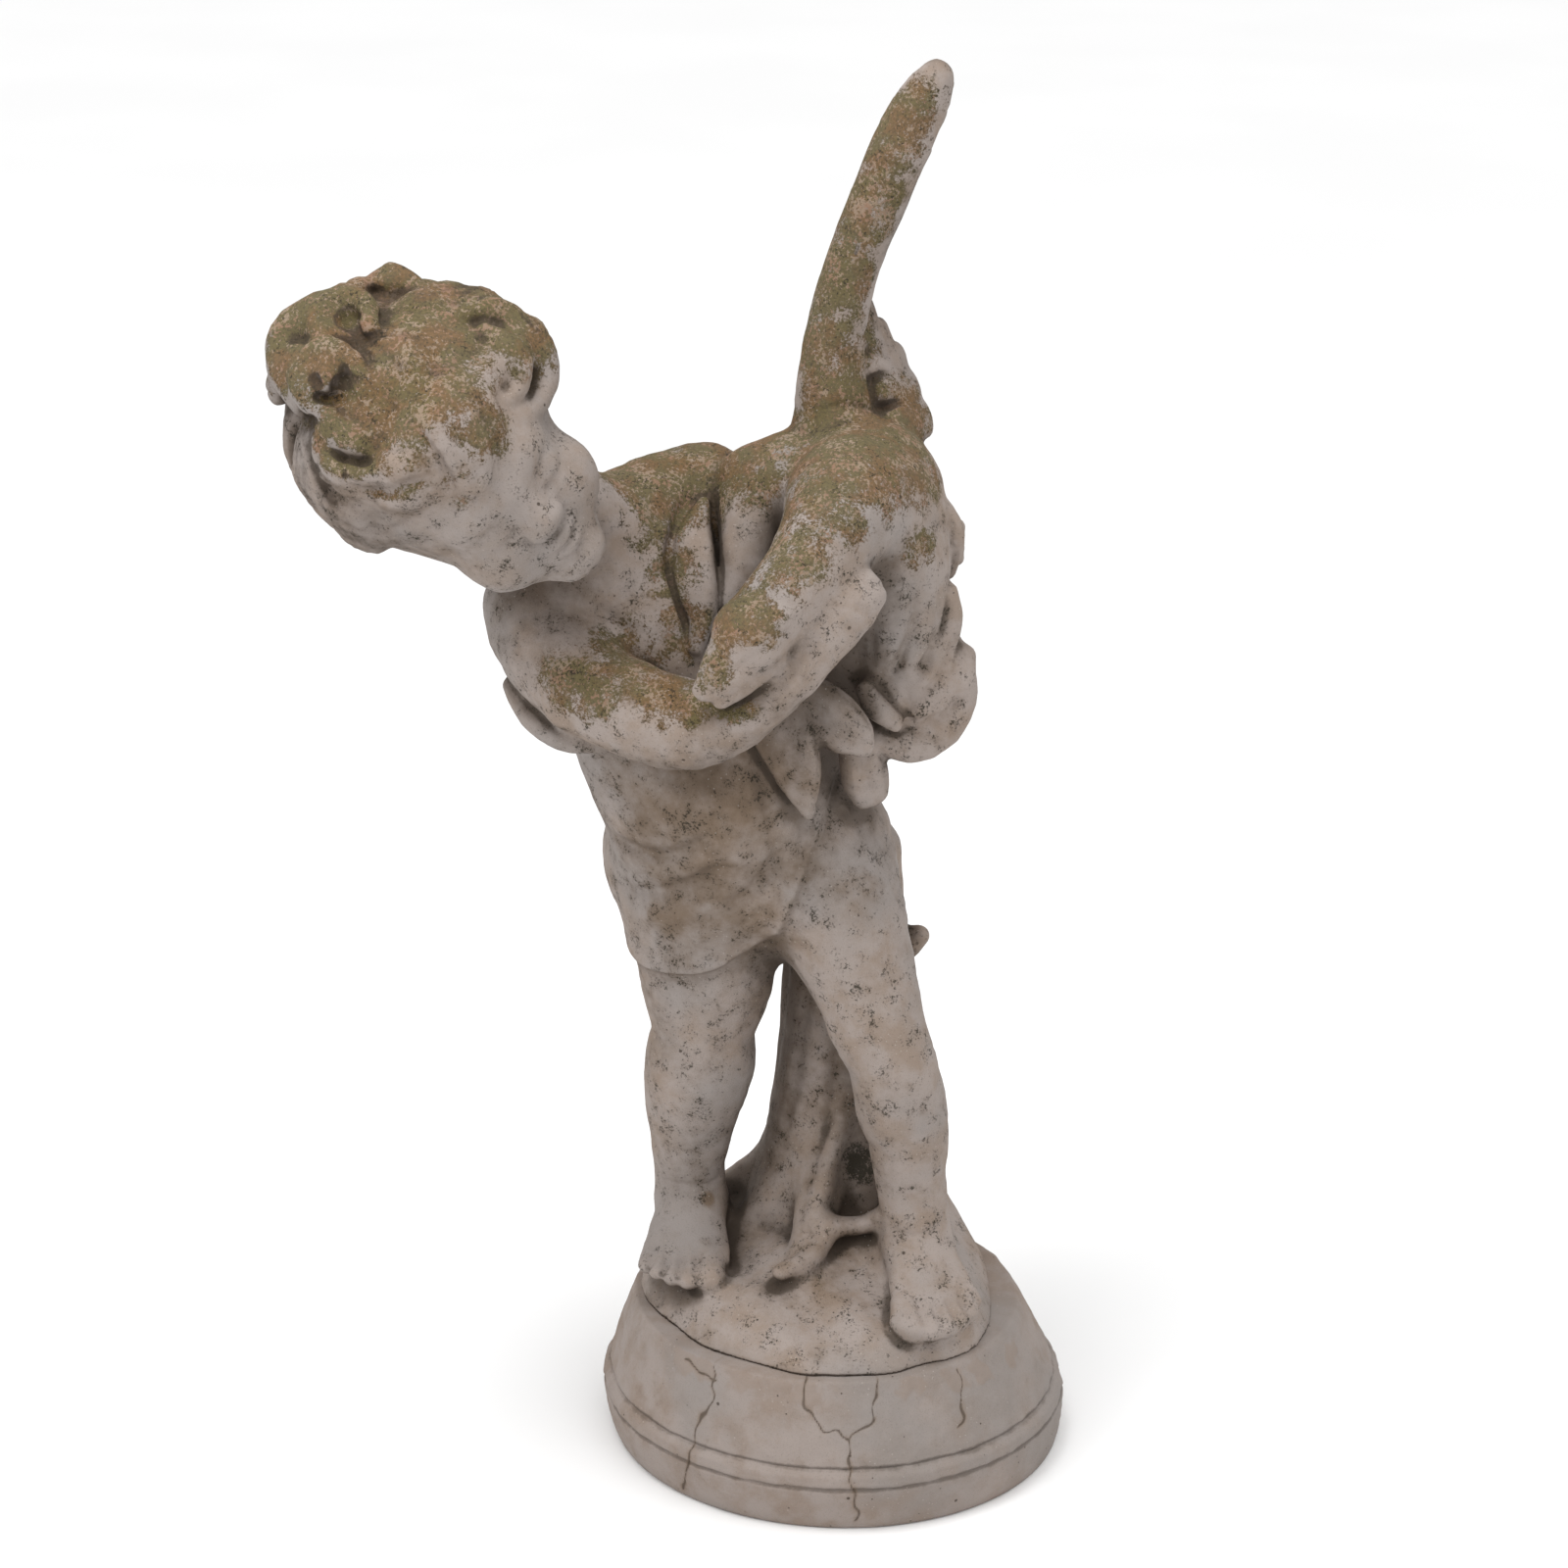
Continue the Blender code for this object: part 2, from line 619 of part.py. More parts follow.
@dataclass
class Wrap:
    """The cloth wrapped round the hips, with its folds, its hem and the knot at the left hip."""

    thickness: float = 4.5
    hem_x: Point = (-200, -95, -50, -14, 40)
    hem_z: Point = (256, 268, 300, 405, 452)
    hem_slope: Point = (0.1, 0.4, 1.2, 2.2, 1.0)
    hem_roll: Stations = (
        (-152, 2, 261),
        (-140, -38, 262),
        (-112, -56, 266),
        (-86, -52, 276),
        (-60, -44, 293),
        (-38, -46, 335),
        (-26, -50, 372),
    )
    hem_line: Stations = (
        (-153, -20, 275),
        (-131, -41, 279),
        (-101, -51, 288),
        (-77, -54, 306),
        (-52, -62, 329),
        (-36, -60, 357),
    )
    folds: tuple[tuple[Stations, float, float], ...] = (
        (((-172, -16, 366), (-152, -46, 359), (-131, -61, 361), (-113, -72, 370), (-94, -81, 390)), 5.0, 4.6),
        (((-170, -20, 350), (-146, -48, 344), (-122, -66, 346), (-100, -74, 358)), 8.0, -3.0),
        (((-164, -16, 322), (-139, -48, 326), (-121, -55, 333), (-105, -62, 345), (-90, -67, 360)), 4.5, 3.6),
        (((-160, -20, 306), (-134, -46, 308), (-108, -58, 318), (-84, -62, 336)), 8.0, -2.4),
        (((-90, -60, 318), (-70, -62, 334), (-58, -63, 349), (-52, -67, 368)), 5.0, 3.8),
        (((-112, -81, 418), (-98, -80, 398), (-84, -78, 372), (-74, -70, 350)), 9.0, -2.6),
        (((-128, -72, 430), (-112, -80, 410), (-100, -80, 392)), 7.0, 2.0),
        (((-68, -76, 440), (-62, -74, 412), (-58, -70, 388), (-56, -66, 366)), 5.0, 2.6),
        (((-172, -18, 420), (-150, -48, 404), (-124, -68, 396)), 8.0, 1.8),
    )
    back_folds: tuple[tuple[Stations, float, float], ...] = (
        (((-176, 30, 400), (-140, 84, 372), (-90, 96, 352), (-40, 92, 348)), 8.0, 3.0),
        (((-178, 20, 360), (-146, 78, 330), (-100, 94, 310), (-50, 92, 310)), 9.0, -3.2),
        (((-170, 30, 330), (-140, 80, 298), (-100, 94, 280), (-56, 90, 282)), 7.0, 2.8),
        (((-70, 96, 420), (-72, 100, 370), (-78, 98, 320)), 9.0, 2.4),
        (((8, 60, 440), (-4, 74, 400), (-20, 86, 350)), 8.0, 2.6),
    )
    long_tail: Stations = (
        (-57, -68, 476, 25, 7),
        (-47, -76, 452, 23, 6.5),
        (-39, -79, 428, 17, 6),
        (-34, -78, 408, 8, 5),
        (-31, -76, 397, 3, 3.5),
    )
    short_tail: Stations = (
        (-48, -68, 488, 17, 7),
        (-26, -76, 474, 23, 6.5),
        (-8, -80, 462, 20, 6),
        (2, -80, 452, 12, 5),
        (5, -80, 446, 5, 4),
    )

    def hem(self, x: np.ndarray, y: np.ndarray, z: np.ndarray) -> np.ndarray:
        """How far a point is below the lower edge, which rises to the left hip."""
        rise = np.interp(x, self.hem_x, self.hem_z)
        slope = np.interp(x, self.hem_x, self.hem_slope)
        return (rise - z) / np.sqrt(1 + slope**2) + 0 * y

    def top(self, x: np.ndarray, y: np.ndarray, z: np.ndarray) -> np.ndarray:
        """How far a point is above the upper edge, which dips at the back."""
        return (z - 468 + 0.25 * (x + 120) + 0.12 * (y + 20)) / 1.04

    def carve(self, clay: Clay) -> None:
        """Adds the cloth, its folds and the knot's tails."""
        clay.layer((-215, -120, 230), (70, 130, 520), self.thickness, (self.hem, self.top))
        clay.stroke(self.hem_roll, 4, -2.5)
        clay.stroke(self.hem_line, 2.2, 1.6)
        for way, width, depth in self.folds + self.back_folds:
            clay.stroke(way, width, depth)
        clay.limb(self.long_tail, 2, (0.9, -0.3, 0.3), square=3.4)
        clay.limb(self.short_tail, 2, (0.3, -0.2, 0.9), square=3.4)
        clay.stroke(((-52, -84, 462), (-44, -86, 440), (-37, -84, 418)), 7, 2.2)
        clay.stroke(((-34, -84, 474), (-18, -87, 466), (-4, -87, 456)), 6, 2.0)
        clay.stroke(((-40, -80, 480), (-34, -84, 462), (-24, -86, 446)), 2.2, 2.6)


@dataclass
class Arms:
    """The right arm across the body with its hand on the goose, and the left arm round behind it."""

    right_upper: Stations = ((-212, -12, 526, 45), (-206, -45, 506, 40), (-186, -74, 488, 33))
    forearm: Stations = (
        (-180, -80, 487, 33),
        (-152, -98, 480, 32.5),
        (-118, -110, 474, 31),
        (-88, -119, 483, 26),
        (-62, -125, 502, 21),
        (-44, -127, 520, 18.5),
    )
    hand: Stations = (
        (-46, -127, 518, 19, 16),
        (-26, -126, 542, 20, 13),
        (-8, -121, 562, 20, 11),
        (5, -112, 574, 15, 9),
    )
    knuckles: tuple[Stations, ...] = (
        ((4, -122, 582), (9, -118, 577), (13, -110, 572)),
        ((-4, -130, 568), (4, -128, 561), (10, -120, 556)),
        ((-12, -134, 556), (-4, -132, 549), (4, -126, 544)),
    )
    left_upper: Stations = ((-108, 34, 592, 36), (-88, 26, 574, 33), (-66, 14, 546, 29), (-44, 24, 518, 27))
    left_fore: Stations = ((-42, 24, 518, 27), (-12, 62, 514, 25), (24, 84, 528, 21), (52, 66, 548, 18))
    left_hand: Stations = ((50, 68, 546, 19, 13), (62, 46, 558, 19, 11), (64, 30, 566, 15, 9))
    sleeve_arc: Stations = (
        (-200, -96, 470),
        (-199, -106, 488),
        (-190, -110, 502),
        (-176, -109, 511),
        (-160, -110, 510),
    )
    flap: Stations = (
        (-236, -36, 474, 7, 9),
        (-222, -62, 460, 9, 9),
        (-200, -78, 451, 9, 8),
        (-172, -86, 449, 6, 6),
    )

    def carve(self, clay: Clay) -> None:
        """Adds both arms, their hands and the cloth under the right elbow."""
        clay.limb(self.right_upper, 12)
        clay.limb(self.forearm, 8)
        clay.limb(self.hand, 6, (0.75, 0.1, -0.6))
        clay.limb(self.left_upper, 12)
        clay.limb(self.left_fore, 8)
        clay.limb(self.left_hand, 6, (0.2, 0.3, 0.9))
        for lift in (-11, -4, 4, 11):
            finger = ((62, 38, 563 + lift, 5), (68, 22, 566 + lift, 5), (68, 6, 569 + lift, 4.5))
            clay.limb(finger, 2)
        clay.limb(self.flap, 4, (0.1, 0.1, 1))

    def crease(self, clay: Clay) -> None:
        """Presses in the sleeve's edge and the knuckles."""
        clay.stroke(self.sleeve_arc, 3.0, 2.4)
        clay.stroke([(x - 5, y, z - 4) for x, y, z in self.sleeve_arc], 3.5, -1.8)
        for way in self.knuckles:
            clay.stroke(way, 2.4, 2.4)
        clay.stroke(((-206, -70, 470), (-194, -90, 462), (-176, -98, 456)), 3.0, 2.5)


@dataclass
class Goose:
    """The goose held at the left hip: its body, the neck bent over the arm, the open bill and both wings."""

    neck: Stations = (
        (2, -8, 606, 52),
        (-8, -48, 612, 44),
        (-20, -84, 603, 35),
        (-36, -110, 587, 28),
        (-54, -126, 568, 25.5),
        (-70, -136, 550, 25),
    )
    upper_bill: Stations = ((-76, -145, 543, 22, 14), (-90, -152, 527, 17, 9), (-104, -155, 512, 8, 5))
    lower_bill: Stations = ((-62, -141, 536, 17, 9), (-78, -148, 519, 11, 6.5), (-93, -152, 505, 6, 4.5))
    leading_edge: Stations = (
        (-19, 22, 640, 30),
        (-22, 26, 684, 23),
        (-18, 28, 722, 20),
        (-9, 30, 760, 19),
        (5, 30, 798, 19.5),
        (20, 30, 838, 20),
        (34, 30, 869, 18),
        (43, 30, 886, 13),
    )
    feather_tops: Stations = ((878, 52), (856, 72), (826, 90), (790, 104), (752, 116), (712, 124), (676, 128))
    scallops: Stations = ((45, 52, 648), (36, 60, 668), (27, 64, 686), (15, 62, 704), (4, 56, 722))
    hanging: Stations = (
        (18, -14, 560, 38, 30),
        (22, -20, 520, 39, 30),
        (32, -24, 484, 41, 29),
        (38, -24, 460, 34, 25),
    )
    rim: Stations = (
        (46, -14, 528, 10),
        (60, -20, 504, 12),
        (70, -26, 474, 14),
        (59, -32, 448, 15),
        (37, -38, 439, 14.5),
        (15, -42, 446, 12),
    )
    lobes: tuple[Stations, ...] = (
        ((22, -52, 566, 10, 7), (26, -58, 540, 12, 8), (20, -54, 512, 12, 8), (14, -50, 492, 7, 5)),
        ((42, -44, 566, 9, 6), (46, -48, 540, 12, 7), (40, -50, 516, 11, 7), (34, -50, 496, 6, 4)),
        ((60, -30, 548, 8, 6), (62, -34, 524, 10, 7), (54, -42, 502, 9, 6), (46, -46, 486, 5, 4)),
        ((74, -26, 500, 8, 6), (70, -34, 484, 10, 7), (56, -44, 470, 9, 6), (42, -50, 462, 5, 4)),
        ((4, -58, 484, 7, 5), (14, -60, 470, 9, 6), (28, -56, 458, 6, 5)),
    )
    lumps: tuple[Point, ...] = (
        (50, -47, 512),
        (62, -43, 497),
        (75, -38, 481),
        (57, -47, 484),
        (44, -51, 470),
    )
    wrinkles: tuple[Stations, ...] = (
        ((33, -64, 562), (36, -62, 538), (31, -58, 514), (25, -54, 494)),
        ((53, -50, 552), (54, -50, 528), (47, -50, 506), (40, -50, 488)),
        ((66, -38, 520), (62, -44, 502), (52, -48, 486), (42, -52, 474)),
        ((78, -34, 484), (62, -44, 466), (42, -52, 458), (20, -56, 458), (4, -60, 468)),
        ((12, -62, 540), (10, -60, 516), (8, -58, 496)),
    )
    crack: Stations = ((54, -47, 582), (45, -59, 575), (39, -65, 565), (30, -72, 558), (14, -96, 552))

    def carve(self, clay: Clay) -> None:
        """Adds the body, the neck and head, and the wings."""
        clay.ball((2, 22, 590), (56, 92, 64), 12, (0, 0, 8))
        clay.ball((16, -20, 560), (46, 52, 60), 14)
        clay.ball((16, 6, 520), (38, 52, 50), 14)
        clay.ball((-6, -6, 505), (34, 44, 44), 14)
        clay.ball((-48, 4, 614), (30, 40, 32), 16)
        clay.limb(((0, 96, 600, 40, 34), (6, 128, 612, 26, 18), (10, 148, 622, 15, 9)), 12, (1, 0, 0.2))
        clay.limb(self.neck, 10)
        clay.ball((-73, -140, 547), (25, 24, 24), 6)
        clay.limb(self.upper_bill, 4, (-0.75, 0.1, 0.6))
        clay.limb(self.lower_bill, 3, (-0.75, 0.1, 0.6))
        clay.ball((-53, -152, 565), (8, 7, 7), 5)
        self.raised_wing(clay)
        self.hanging_wing(clay)

    def raised_wing(self, clay: Clay) -> None:
        """The wing held straight up: a round leading edge, and long feathers behind it that end in steps."""
        clay.limb(self.leading_edge, 10)
        for top, back in self.feather_tops:
            foot = 632.0
            rows = []
            for i in range(5):
                t = i / 4
                z = foot + (top - foot) * t
                lean = np.interp(z, [632, 690, 735, 785, 830, 880], [-10, -14, -8, 8, 26, 44])
                y = 26 + (back - 26) * (0.62 + 0.38 * t)
                curl = np.interp(z, [640, 735, 800, 880], [-0.06, 0.02, 0.20, 0.32])
                rows.append((lean + curl * (y - 30), y, z, 15 - 6 * t**3, 9 - 3.5 * t))
            clay.limb(rows, 4, (0.28, 0.95, 0), square=2.4)
        for x, y, z in self.scallops:
            plume = ((x - 24, y - 30, z + 2, 10, 8), (x - 14, y - 14, z, 15, 9), (x - 4, y, z - 4, 15, 8))
            clay.limb(plume, 4, (-0.35, 0.2, 0.9), square=2.4)
        clay.limb(((8, 40, 636, 40, 18), (4, 44, 664, 31, 15), (-4, 46, 690, 20, 10)), 6, (0.75, 0.6, -0.1))

    def hanging_wing(self, clay: Clay) -> None:
        """The other wing, hanging at the child's left, with lobes of feathers and a thick lower rim."""
        clay.limb(self.hanging, 10, (1, 0.1, -0.1))
        for way in self.lobes:
            clay.limb(way, 7, (1, 0.4, 0))
        clay.limb(self.rim, 7)
        lobe = ((2, -46, 440, 14, 10), (7, -43, 416, 17, 10), (11, -40, 400, 13, 8))
        clay.limb(lobe, 4, (1, 0.3, 0.1), square=2.6)
        clay.limb(((56, 0, 594, 9), (65, -6, 576, 8), (60, -4, 552, 7)), 4)

    def crease(self, clay: Clay) -> None:
        """Presses in the feathers' edges, the bill's line, the eye and the cracks."""
        for way in self.wrinkles:
            clay.stroke(way, 2.8, 3.9)
        for place in self.lumps:
            clay.dent(place, 5.5, -2.8)
        for place in ((47, -50, 500), (68, -40, 470), (36, -54, 478)):
            clay.dent(place, 5, 2.6)
        clay.stroke(((4, -56, 438), (8, -54, 420), (14, -50, 406)), 2.6, 2.4)
        clay.stroke(((14, -50, 440), (20, -46, 424), (20, -42, 408)), 2.2, 2.0)
        for low, high in zip(self.scallops[:-1], self.scallops[1:]):
            x, y, z = [(a + b) / 2 for a, b in zip(low, high)]
            clay.stroke(((x - 30, y - 36, z + 2), (x - 16, y - 26, z), (x - 2, y - 14, z - 4)), 2.2, 1.8)
        clay.stroke(((-56, -160, 553), (-70, -163, 541), (-86, -161, 527), (-99, -158, 517)), 1.8, 2.2)
        clay.stroke(((-60, -162, 570), (-53, -164, 574), (-46, -160, 570), (-46, -160, 561)), 2.0, 1.6)
        clay.dent((-94, -160, 534), 3, 1.2)
        clay.stroke(self.crack, 1.6, 1.6)
        clay.stroke(((-29, -1, 665), (-14, -2, 668), (5, 10, 664), (14, 20, 662)), 1.8, 3.2)
        clay.dent((-12, 6, 736), 7, -1.4)
        clay.dent((-14, 4, 716), 7, -1.4)
        clay.stroke(((30, -50, 600), (52, -30, 590), (60, 0, 588)), 4, 1.8)
        clay.stroke(((54, -40, 560), (60, -20, 548), (62, 6, 540)), 4, 2.4)
        for k in range(5):
            y = 20 + 24 * k
            fold = ((48, y, 640 - 3 * k), (58, y + 12, 612 - 3 * k), (56, y + 16, 584 - 3 * k))
            clay.stroke(fold, 3.5, 1.8)


@dataclass
class Head:
    """The bowed head with its face. x is to the child's left, -y out of the face and z to the crown."""

    frame: Frame = field(default_factory=lambda: Frame((-273, -100, 654), (4, -48, 30.5)))
    eye_side: float = 25.5
    eye_height: float = -15
    mouth_height: float = -58

    def carve(self, clay: Clay) -> None:
        """Adds the skull, the cheeks, the features and the ears."""
        clay.frame = self.frame
        clay.ball((0, 8, 12), (72, 82, 78), 10)
        clay.ball((0, -36, 14), (58, 42, 42), 16)
        clay.ball((1, -27, -35), (53, 51, 53), 20)
        clay.ball((0, -34, -60), (42, 42, 33), 16)
        for side in (-1, 1):
            clay.ball((side * 31, -52, -43), (26, 25, 26), 14)
        clay.ball((68, 2, -20), (8, 15, 20), 5)
        clay.ball((0, -63, -83), (21, 19, 15), 16)
        middle = np.array(self.frame.place)
        clay.soften(tuple(middle - 120), tuple(middle + 120), 3.0)
        self.eyes(clay)
        self.nose(clay)
        self.mouth(clay)
        clay.frame = STATUE

    def eyes(self, clay: Clay) -> None:
        """Sunk sockets, lowered lids and soft brows."""
        x, z = self.eye_side, self.eye_height
        for side in (-1, 1):
            clay.ball((side * (x - 0.5), -91.5, z + 2), (15, 13, 9), 15, cut=True)
            clay.ball((side * x, -62.5, z - 1), (15, 14.5, 12), 6)
            brow = ((11, -73, 14, 3), (25, -73, 19, 3.5), (38, -64, 16, 2.5))
            clay.limb([(side * a, b, z + c, r) for a, b, c, r in brow], 18)
            lash = ((-13, 5, -3.5), (-6.5, 1, -7), (2, 0, -8.5), (9.5, 3, -7), (15, 8, -3.5))
            clay.stroke([(side * (x + a), -76 + b, z + c) for a, b, c in lash], 1.6, 2.4)
            clay.stroke([(side * (x + a), -75 + b, z + c + 4) for a, b, c in lash], 3.2, -1.3)
            clay.stroke([(side * (x + a), -74 + b, z + c - 6) for a, b, c in lash], 3.6, -0.8)
            fold = ((-11, 5, 6), (-4, 1, 9.5), (4, 0, 9.5), (12, 5, 5.5))
            clay.stroke([(side * (x + a), -74 + b, z + c) for a, b, c in fold], 2.4, 1.1)

    def nose(self, clay: Clay) -> None:
        """A short soft nose with its wings and nostrils."""
        clay.limb(((0, -67, 0, 9), (0, -73.5, -15, 8.6), (0, -80, -27, 8.6), (0, -83, -33, 8.6)), 15)
        for side in (-1, 1):
            clay.ball((side * 8, -79.5, -35.5), (6.5, 7, 6), 6)
            clay.dent((side * 4.4, -86, -41), 2.4, 2.0)
            wing = ((side * 14, -77, -31), (side * 15, -76, -36), (side * 11.5, -78, -40.5))
            clay.stroke(wing, 2.0, 1.2)
        clay.stroke(((0, -82, -43), (0, -82, -48)), 2.4, 1.0)

    def mouth(self, clay: Clay) -> None:
        """Full closed lips with dimpled corners, and the hollow under them."""
        z = self.mouth_height
        for side in (-1, 1):
            rows = ((side * 14, -75, z + 2.8, 2.8), (side * 5, -80.5, z + 5.2, 4.0), (0, -80.8, z + 4.4, 3.8))
            clay.limb(rows, 5)
            clay.dent((side * 18, -75, z + 1), 3.4, 1.4)
        clay.limb(((-10, -75.5, z - 3.8, 3.4), (0, -79.6, z - 5.4, 4.6), (10, -75.5, z - 3.8, 3.4)), 5)
        line = ((-17, -76, z + 1.6), (-8, -83, z - 0.2), (0, -85, z - 0.8), (8, -83, z - 0.2), (17, -76, z + 1.6))
        clay.stroke(line, 1.8, 3.2)
        clay.stroke(((-9, -78, z - 13), (0, -80, z - 14), (9, -78, z - 13)), 4.5, 1.3)


@dataclass
class Hair:
    """Thick soft hair: flat locks swept over the head, a roll at the temple and curls behind the crown."""

    frame: Frame = field(default_factory=lambda: Head().frame)
    middle: Point = (8, 16, 22)
    radii: Point = (84, 82, 78)
    # Each lock: its half width, how far it stands out, and its turns and lifts from root to end
    locks: tuple = (
        (19, 6, ((8, 50), (-2, 30), (-11, 10), (-18, -4))),
        (12, 9, ((22, 36), (14, 17), (4, 4), (-8, -4))),
        (17, 8, ((34, 20), (54, 8), (74, -2), (76, -16), (62, -18))),
        (16, 6, ((70, 42), (82, 22), (96, 4), (92, -14))),
        (15, 5, ((-59, 66), (-69, 53), (-67, 39), (-51, 30), (-30, 25), (-14, 23))),
        (16, 2, ((-112, 57), (-98, 44), (-88, 28), (-80, 12), (-68, 0), (-50, -6), (-34, -6))),
    )
    # Low waves over the crown, written as the locks are
    crown: tuple = (
        (24, -7, ((150, 84), (60, 80), (34, 62), (26, 44), (30, 28))),
        (24, -7, ((120, 80), (74, 70), (56, 54), (46, 36), (50, 22))),
        (24, -7, ((190, 86), (10, 82), (6, 64), (-2, 50), (2, 38))),
        (24, -6, ((-160, 84), (-50, 82), (-36, 66), (-30, 48), (-22, 34))),
        (22, -6, ((-120, 82), (-84, 72), (-80, 56), (-72, 44), (-64, 36))),
        (22, -6, ((116, 70), (92, 56), (78, 42), (80, 28), (90, 18))),
    )
    # Rings of locks round the back: lift of the roots, lift of the ends, first and last turn, and how many
    rings: tuple = (
        (66, 14, 92, 262, 8),
        (32, -22, 84, 276, 9),
        (0, -46, 108, 252, 7),
    )
    # Each curl: its turn, its lift, how far out, its radius, its half width and its first angle
    curls: tuple = (
        (150, 57, 13, 21, 10, 0.5),
        (-96, 76, 11, 19, 10, 2.0),
        (178, 66, 22, 16, 9, 4.0),
        (-146, 60, 16, 17, 9, 1.0),
        (122, 46, 12, 9, 8, 0.0),
        (-130, 74, 20, 12, 8, 5.0),
    )
    # Ridges and grooves over the front, in the statue's own frame: their way, half width and depth
    waves: tuple = (
        (((-283, -192, 712), (-271, -194, 694), (-260, -192, 674), (-255, -185, 650)), 9.0, -4.5),
        (((-244, -180, 700), (-240, -178, 682), (-241, -177, 664), (-250, -181, 650)), 7.0, -3.0),
        (((-358, -160, 691), (-355, -166, 674), (-342, -175, 664), (-326, -181, 662)), 8.0, -4.5),
        (((-322, -184, 668), (-304, -189, 668), (-286, -193, 676)), 7.0, -3.0),
        (((-340, -150, 634), (-318, -168, 640), (-298, -184, 648), (-280, -188, 652)), 8.0, -4.0),
        (
            (
                (-341, -168, 672), (-326, -178, 654), (-308, -188, 654), (-293, -193, 662),
                (-276, -193, 666),
            ),
            3.2, 5.0,
        ),
        (((-354, -165, 680), (-352, -167, 664), (-346, -160, 648), (-344, -149, 636)), 3.0, 4.0),
        (((-345, -152, 626), (-331, -154, 619), (-308, -162, 620), (-290, -178, 636)), 2.6, 3.4),
        (((-316, -180, 690), (-302, -186, 680), (-290, -192, 684)), 2.8, 2.6),
        (((-268, -194, 712), (-260, -192, 694), (-250, -188, 676), (-247, -184, 660)), 2.6, 3.0),
        (((-296, -188, 706), (-284, -194, 694), (-272, -196, 678), (-266, -190, 658)), 2.4, 2.4),
        (
            (
                (-248, -176, 706), (-239, -177, 692), (-236, -176, 676), (-239, -177, 660),
                (-252, -181, 645),
            ),
            1.9, 4.4,
        ),
        (((-290, -176, 700), (-277, -186, 688), (-268, -190, 672), (-264, -188, 659)), 2.6, 3.0),
        (
            (
                (-244, -108, 766), (-228, -112, 756), (-219, -116, 741), (-216, -122, 726),
                (-221, -132, 712),
            ),
            2.6, 3.6,
        ),
        (((-358, -157, 709), (-343, -161, 708), (-330, -166, 712)), 3.4, 4.6),
        (((-364, -150, 716), (-350, -160, 700), (-338, -166, 698)), 5.0, -3.0),
        (((-231, -102, 749), (-222, -104, 746), (-214, -105, 740)), 4.0, 4.0),
        (((-256, -163, 734), (-248, -154, 738), (-240, -146, 740)), 3.2, 2.4),
        (((-312, -148, 749), (-286, -160, 746), (-262, -143, 736)), 3.4, 2.0),
        (((-308, -116, 767), (-282, -126, 764), (-256, -138, 754)), 3.4, 1.8),
        (((-300, -96, 772), (-272, -104, 770), (-246, -118, 760)), 3.2, 1.4),
        (((-304, -168, 728), (-284, -176, 722), (-262, -172, 722), (-246, -166, 724)), 3.2, 2.0),
    )
    # Rolls in the statue's own frame: at the temple, over the brow, and those of the topknot
    rolls: tuple = (
        (
            (-262, -110, 754, 6), (-247, -106, 755, 9), (-233, -103, 748, 11), (-220, -104, 738, 12),
            (-213, -107, 724, 12), (-212, -112, 709, 11), (-217, -126, 698, 10), (-227, -142, 693, 8.5),
            (-236, -152, 690, 6),
        ),
        (
            (-248, -118, 744, 6), (-234, -126, 738, 8), (-225, -130, 727, 8.5), (-225, -136, 714, 7.5),
            (-231, -146, 706, 5),
        ),
        (
            (-290, -152, 716, 7), (-273, -166, 706, 10.5), (-260, -173, 692, 12), (-253, -175, 677, 12),
            (-251, -174, 663, 10), (-256, -173, 653, 7),
        ),
        (
            (-350, -132, 738, 6), (-357, -118, 748, 8), (-351, -106, 757, 9), (-338, -104, 760, 9),
            (-326, -114, 757, 8.5), (-321, -130, 748, 7),
        ),
        (
            (-322, -158, 712, 6), (-327, -150, 724, 8), (-337, -142, 732, 8.5), (-351, -140, 735, 8.5),
            (-362, -141, 727, 8), (-366, -148, 714, 7), (-358, -156, 702, 6.5), (-346, -158, 700, 5.5),
        ),
        (
            (-358, -100, 756, 8), (-374, -104, 744, 10), (-381, -112, 728, 11), (-376, -128, 712, 10),
            (-364, -142, 698, 7.5),
        ),
        ((-312, -80, 762, 8), (-303, -78, 764, 9.5), (-294, -84, 760, 7)),
        ((-348, -146, 700, 9), (-340, -157, 688, 13), (-326, -163, 682, 13), (-310, -167, 680, 9)),
        ((-318, -118, 742, 7), (-306, -136, 738, 10), (-292, -150, 730, 10), (-282, -162, 716, 7)),
    )
    hollows: tuple = (
        ((-337, -122, 752), 7.5),
        ((-340, -157, 717), 5.5),
        ((-354, -156, 719), 4.5),
        ((-354, -160, 697), 4.5),
        ((-369, -126, 738), 4.5),
    )
    strand_width: float = 2.0
    strand_depth: float = 1.5

    def point(self, turn: float, lift: float, out: float = 0.0) -> np.ndarray:
        """A point of the hair's surface.

        Args:
            turn: Degrees from the face to the child's left.
            lift: Degrees up to the crown.
            out: How far it stands out from the smooth surface.

        Returns:
            The point in the head's frame.
        """
        a, b = math.radians(turn), math.radians(lift)
        way = np.array((math.sin(a) * math.cos(b), -math.cos(a) * math.cos(b), math.sin(b)))
        return np.array(self.middle) + way * (np.array(self.radii) + out)

    def all_locks(self) -> list[tuple[float, float, Stations]]:
        """The locks of the front and those of the rings, lowest ring first."""
        out = []
        for row, (top, foot, first, last, count) in enumerate(reversed(self.rings)):
            for i in range(count):
                turn = first + (last - first) * i / (count - 1)
                sway = 9 if (i + row) % 2 else -7
                ways = ((0, 0.0), (sway, 0.35), (sway * 0.3, 0.7), (-sway, 0.9), (-sway * 2, 1.0))
                way = tuple((turn + aside, top + (foot - top) * t) for aside, t in ways)
                out.append((20 - 2 * row, -1 + 2.5 * row, way))
        return out + list(self.crown) + list(self.locks)

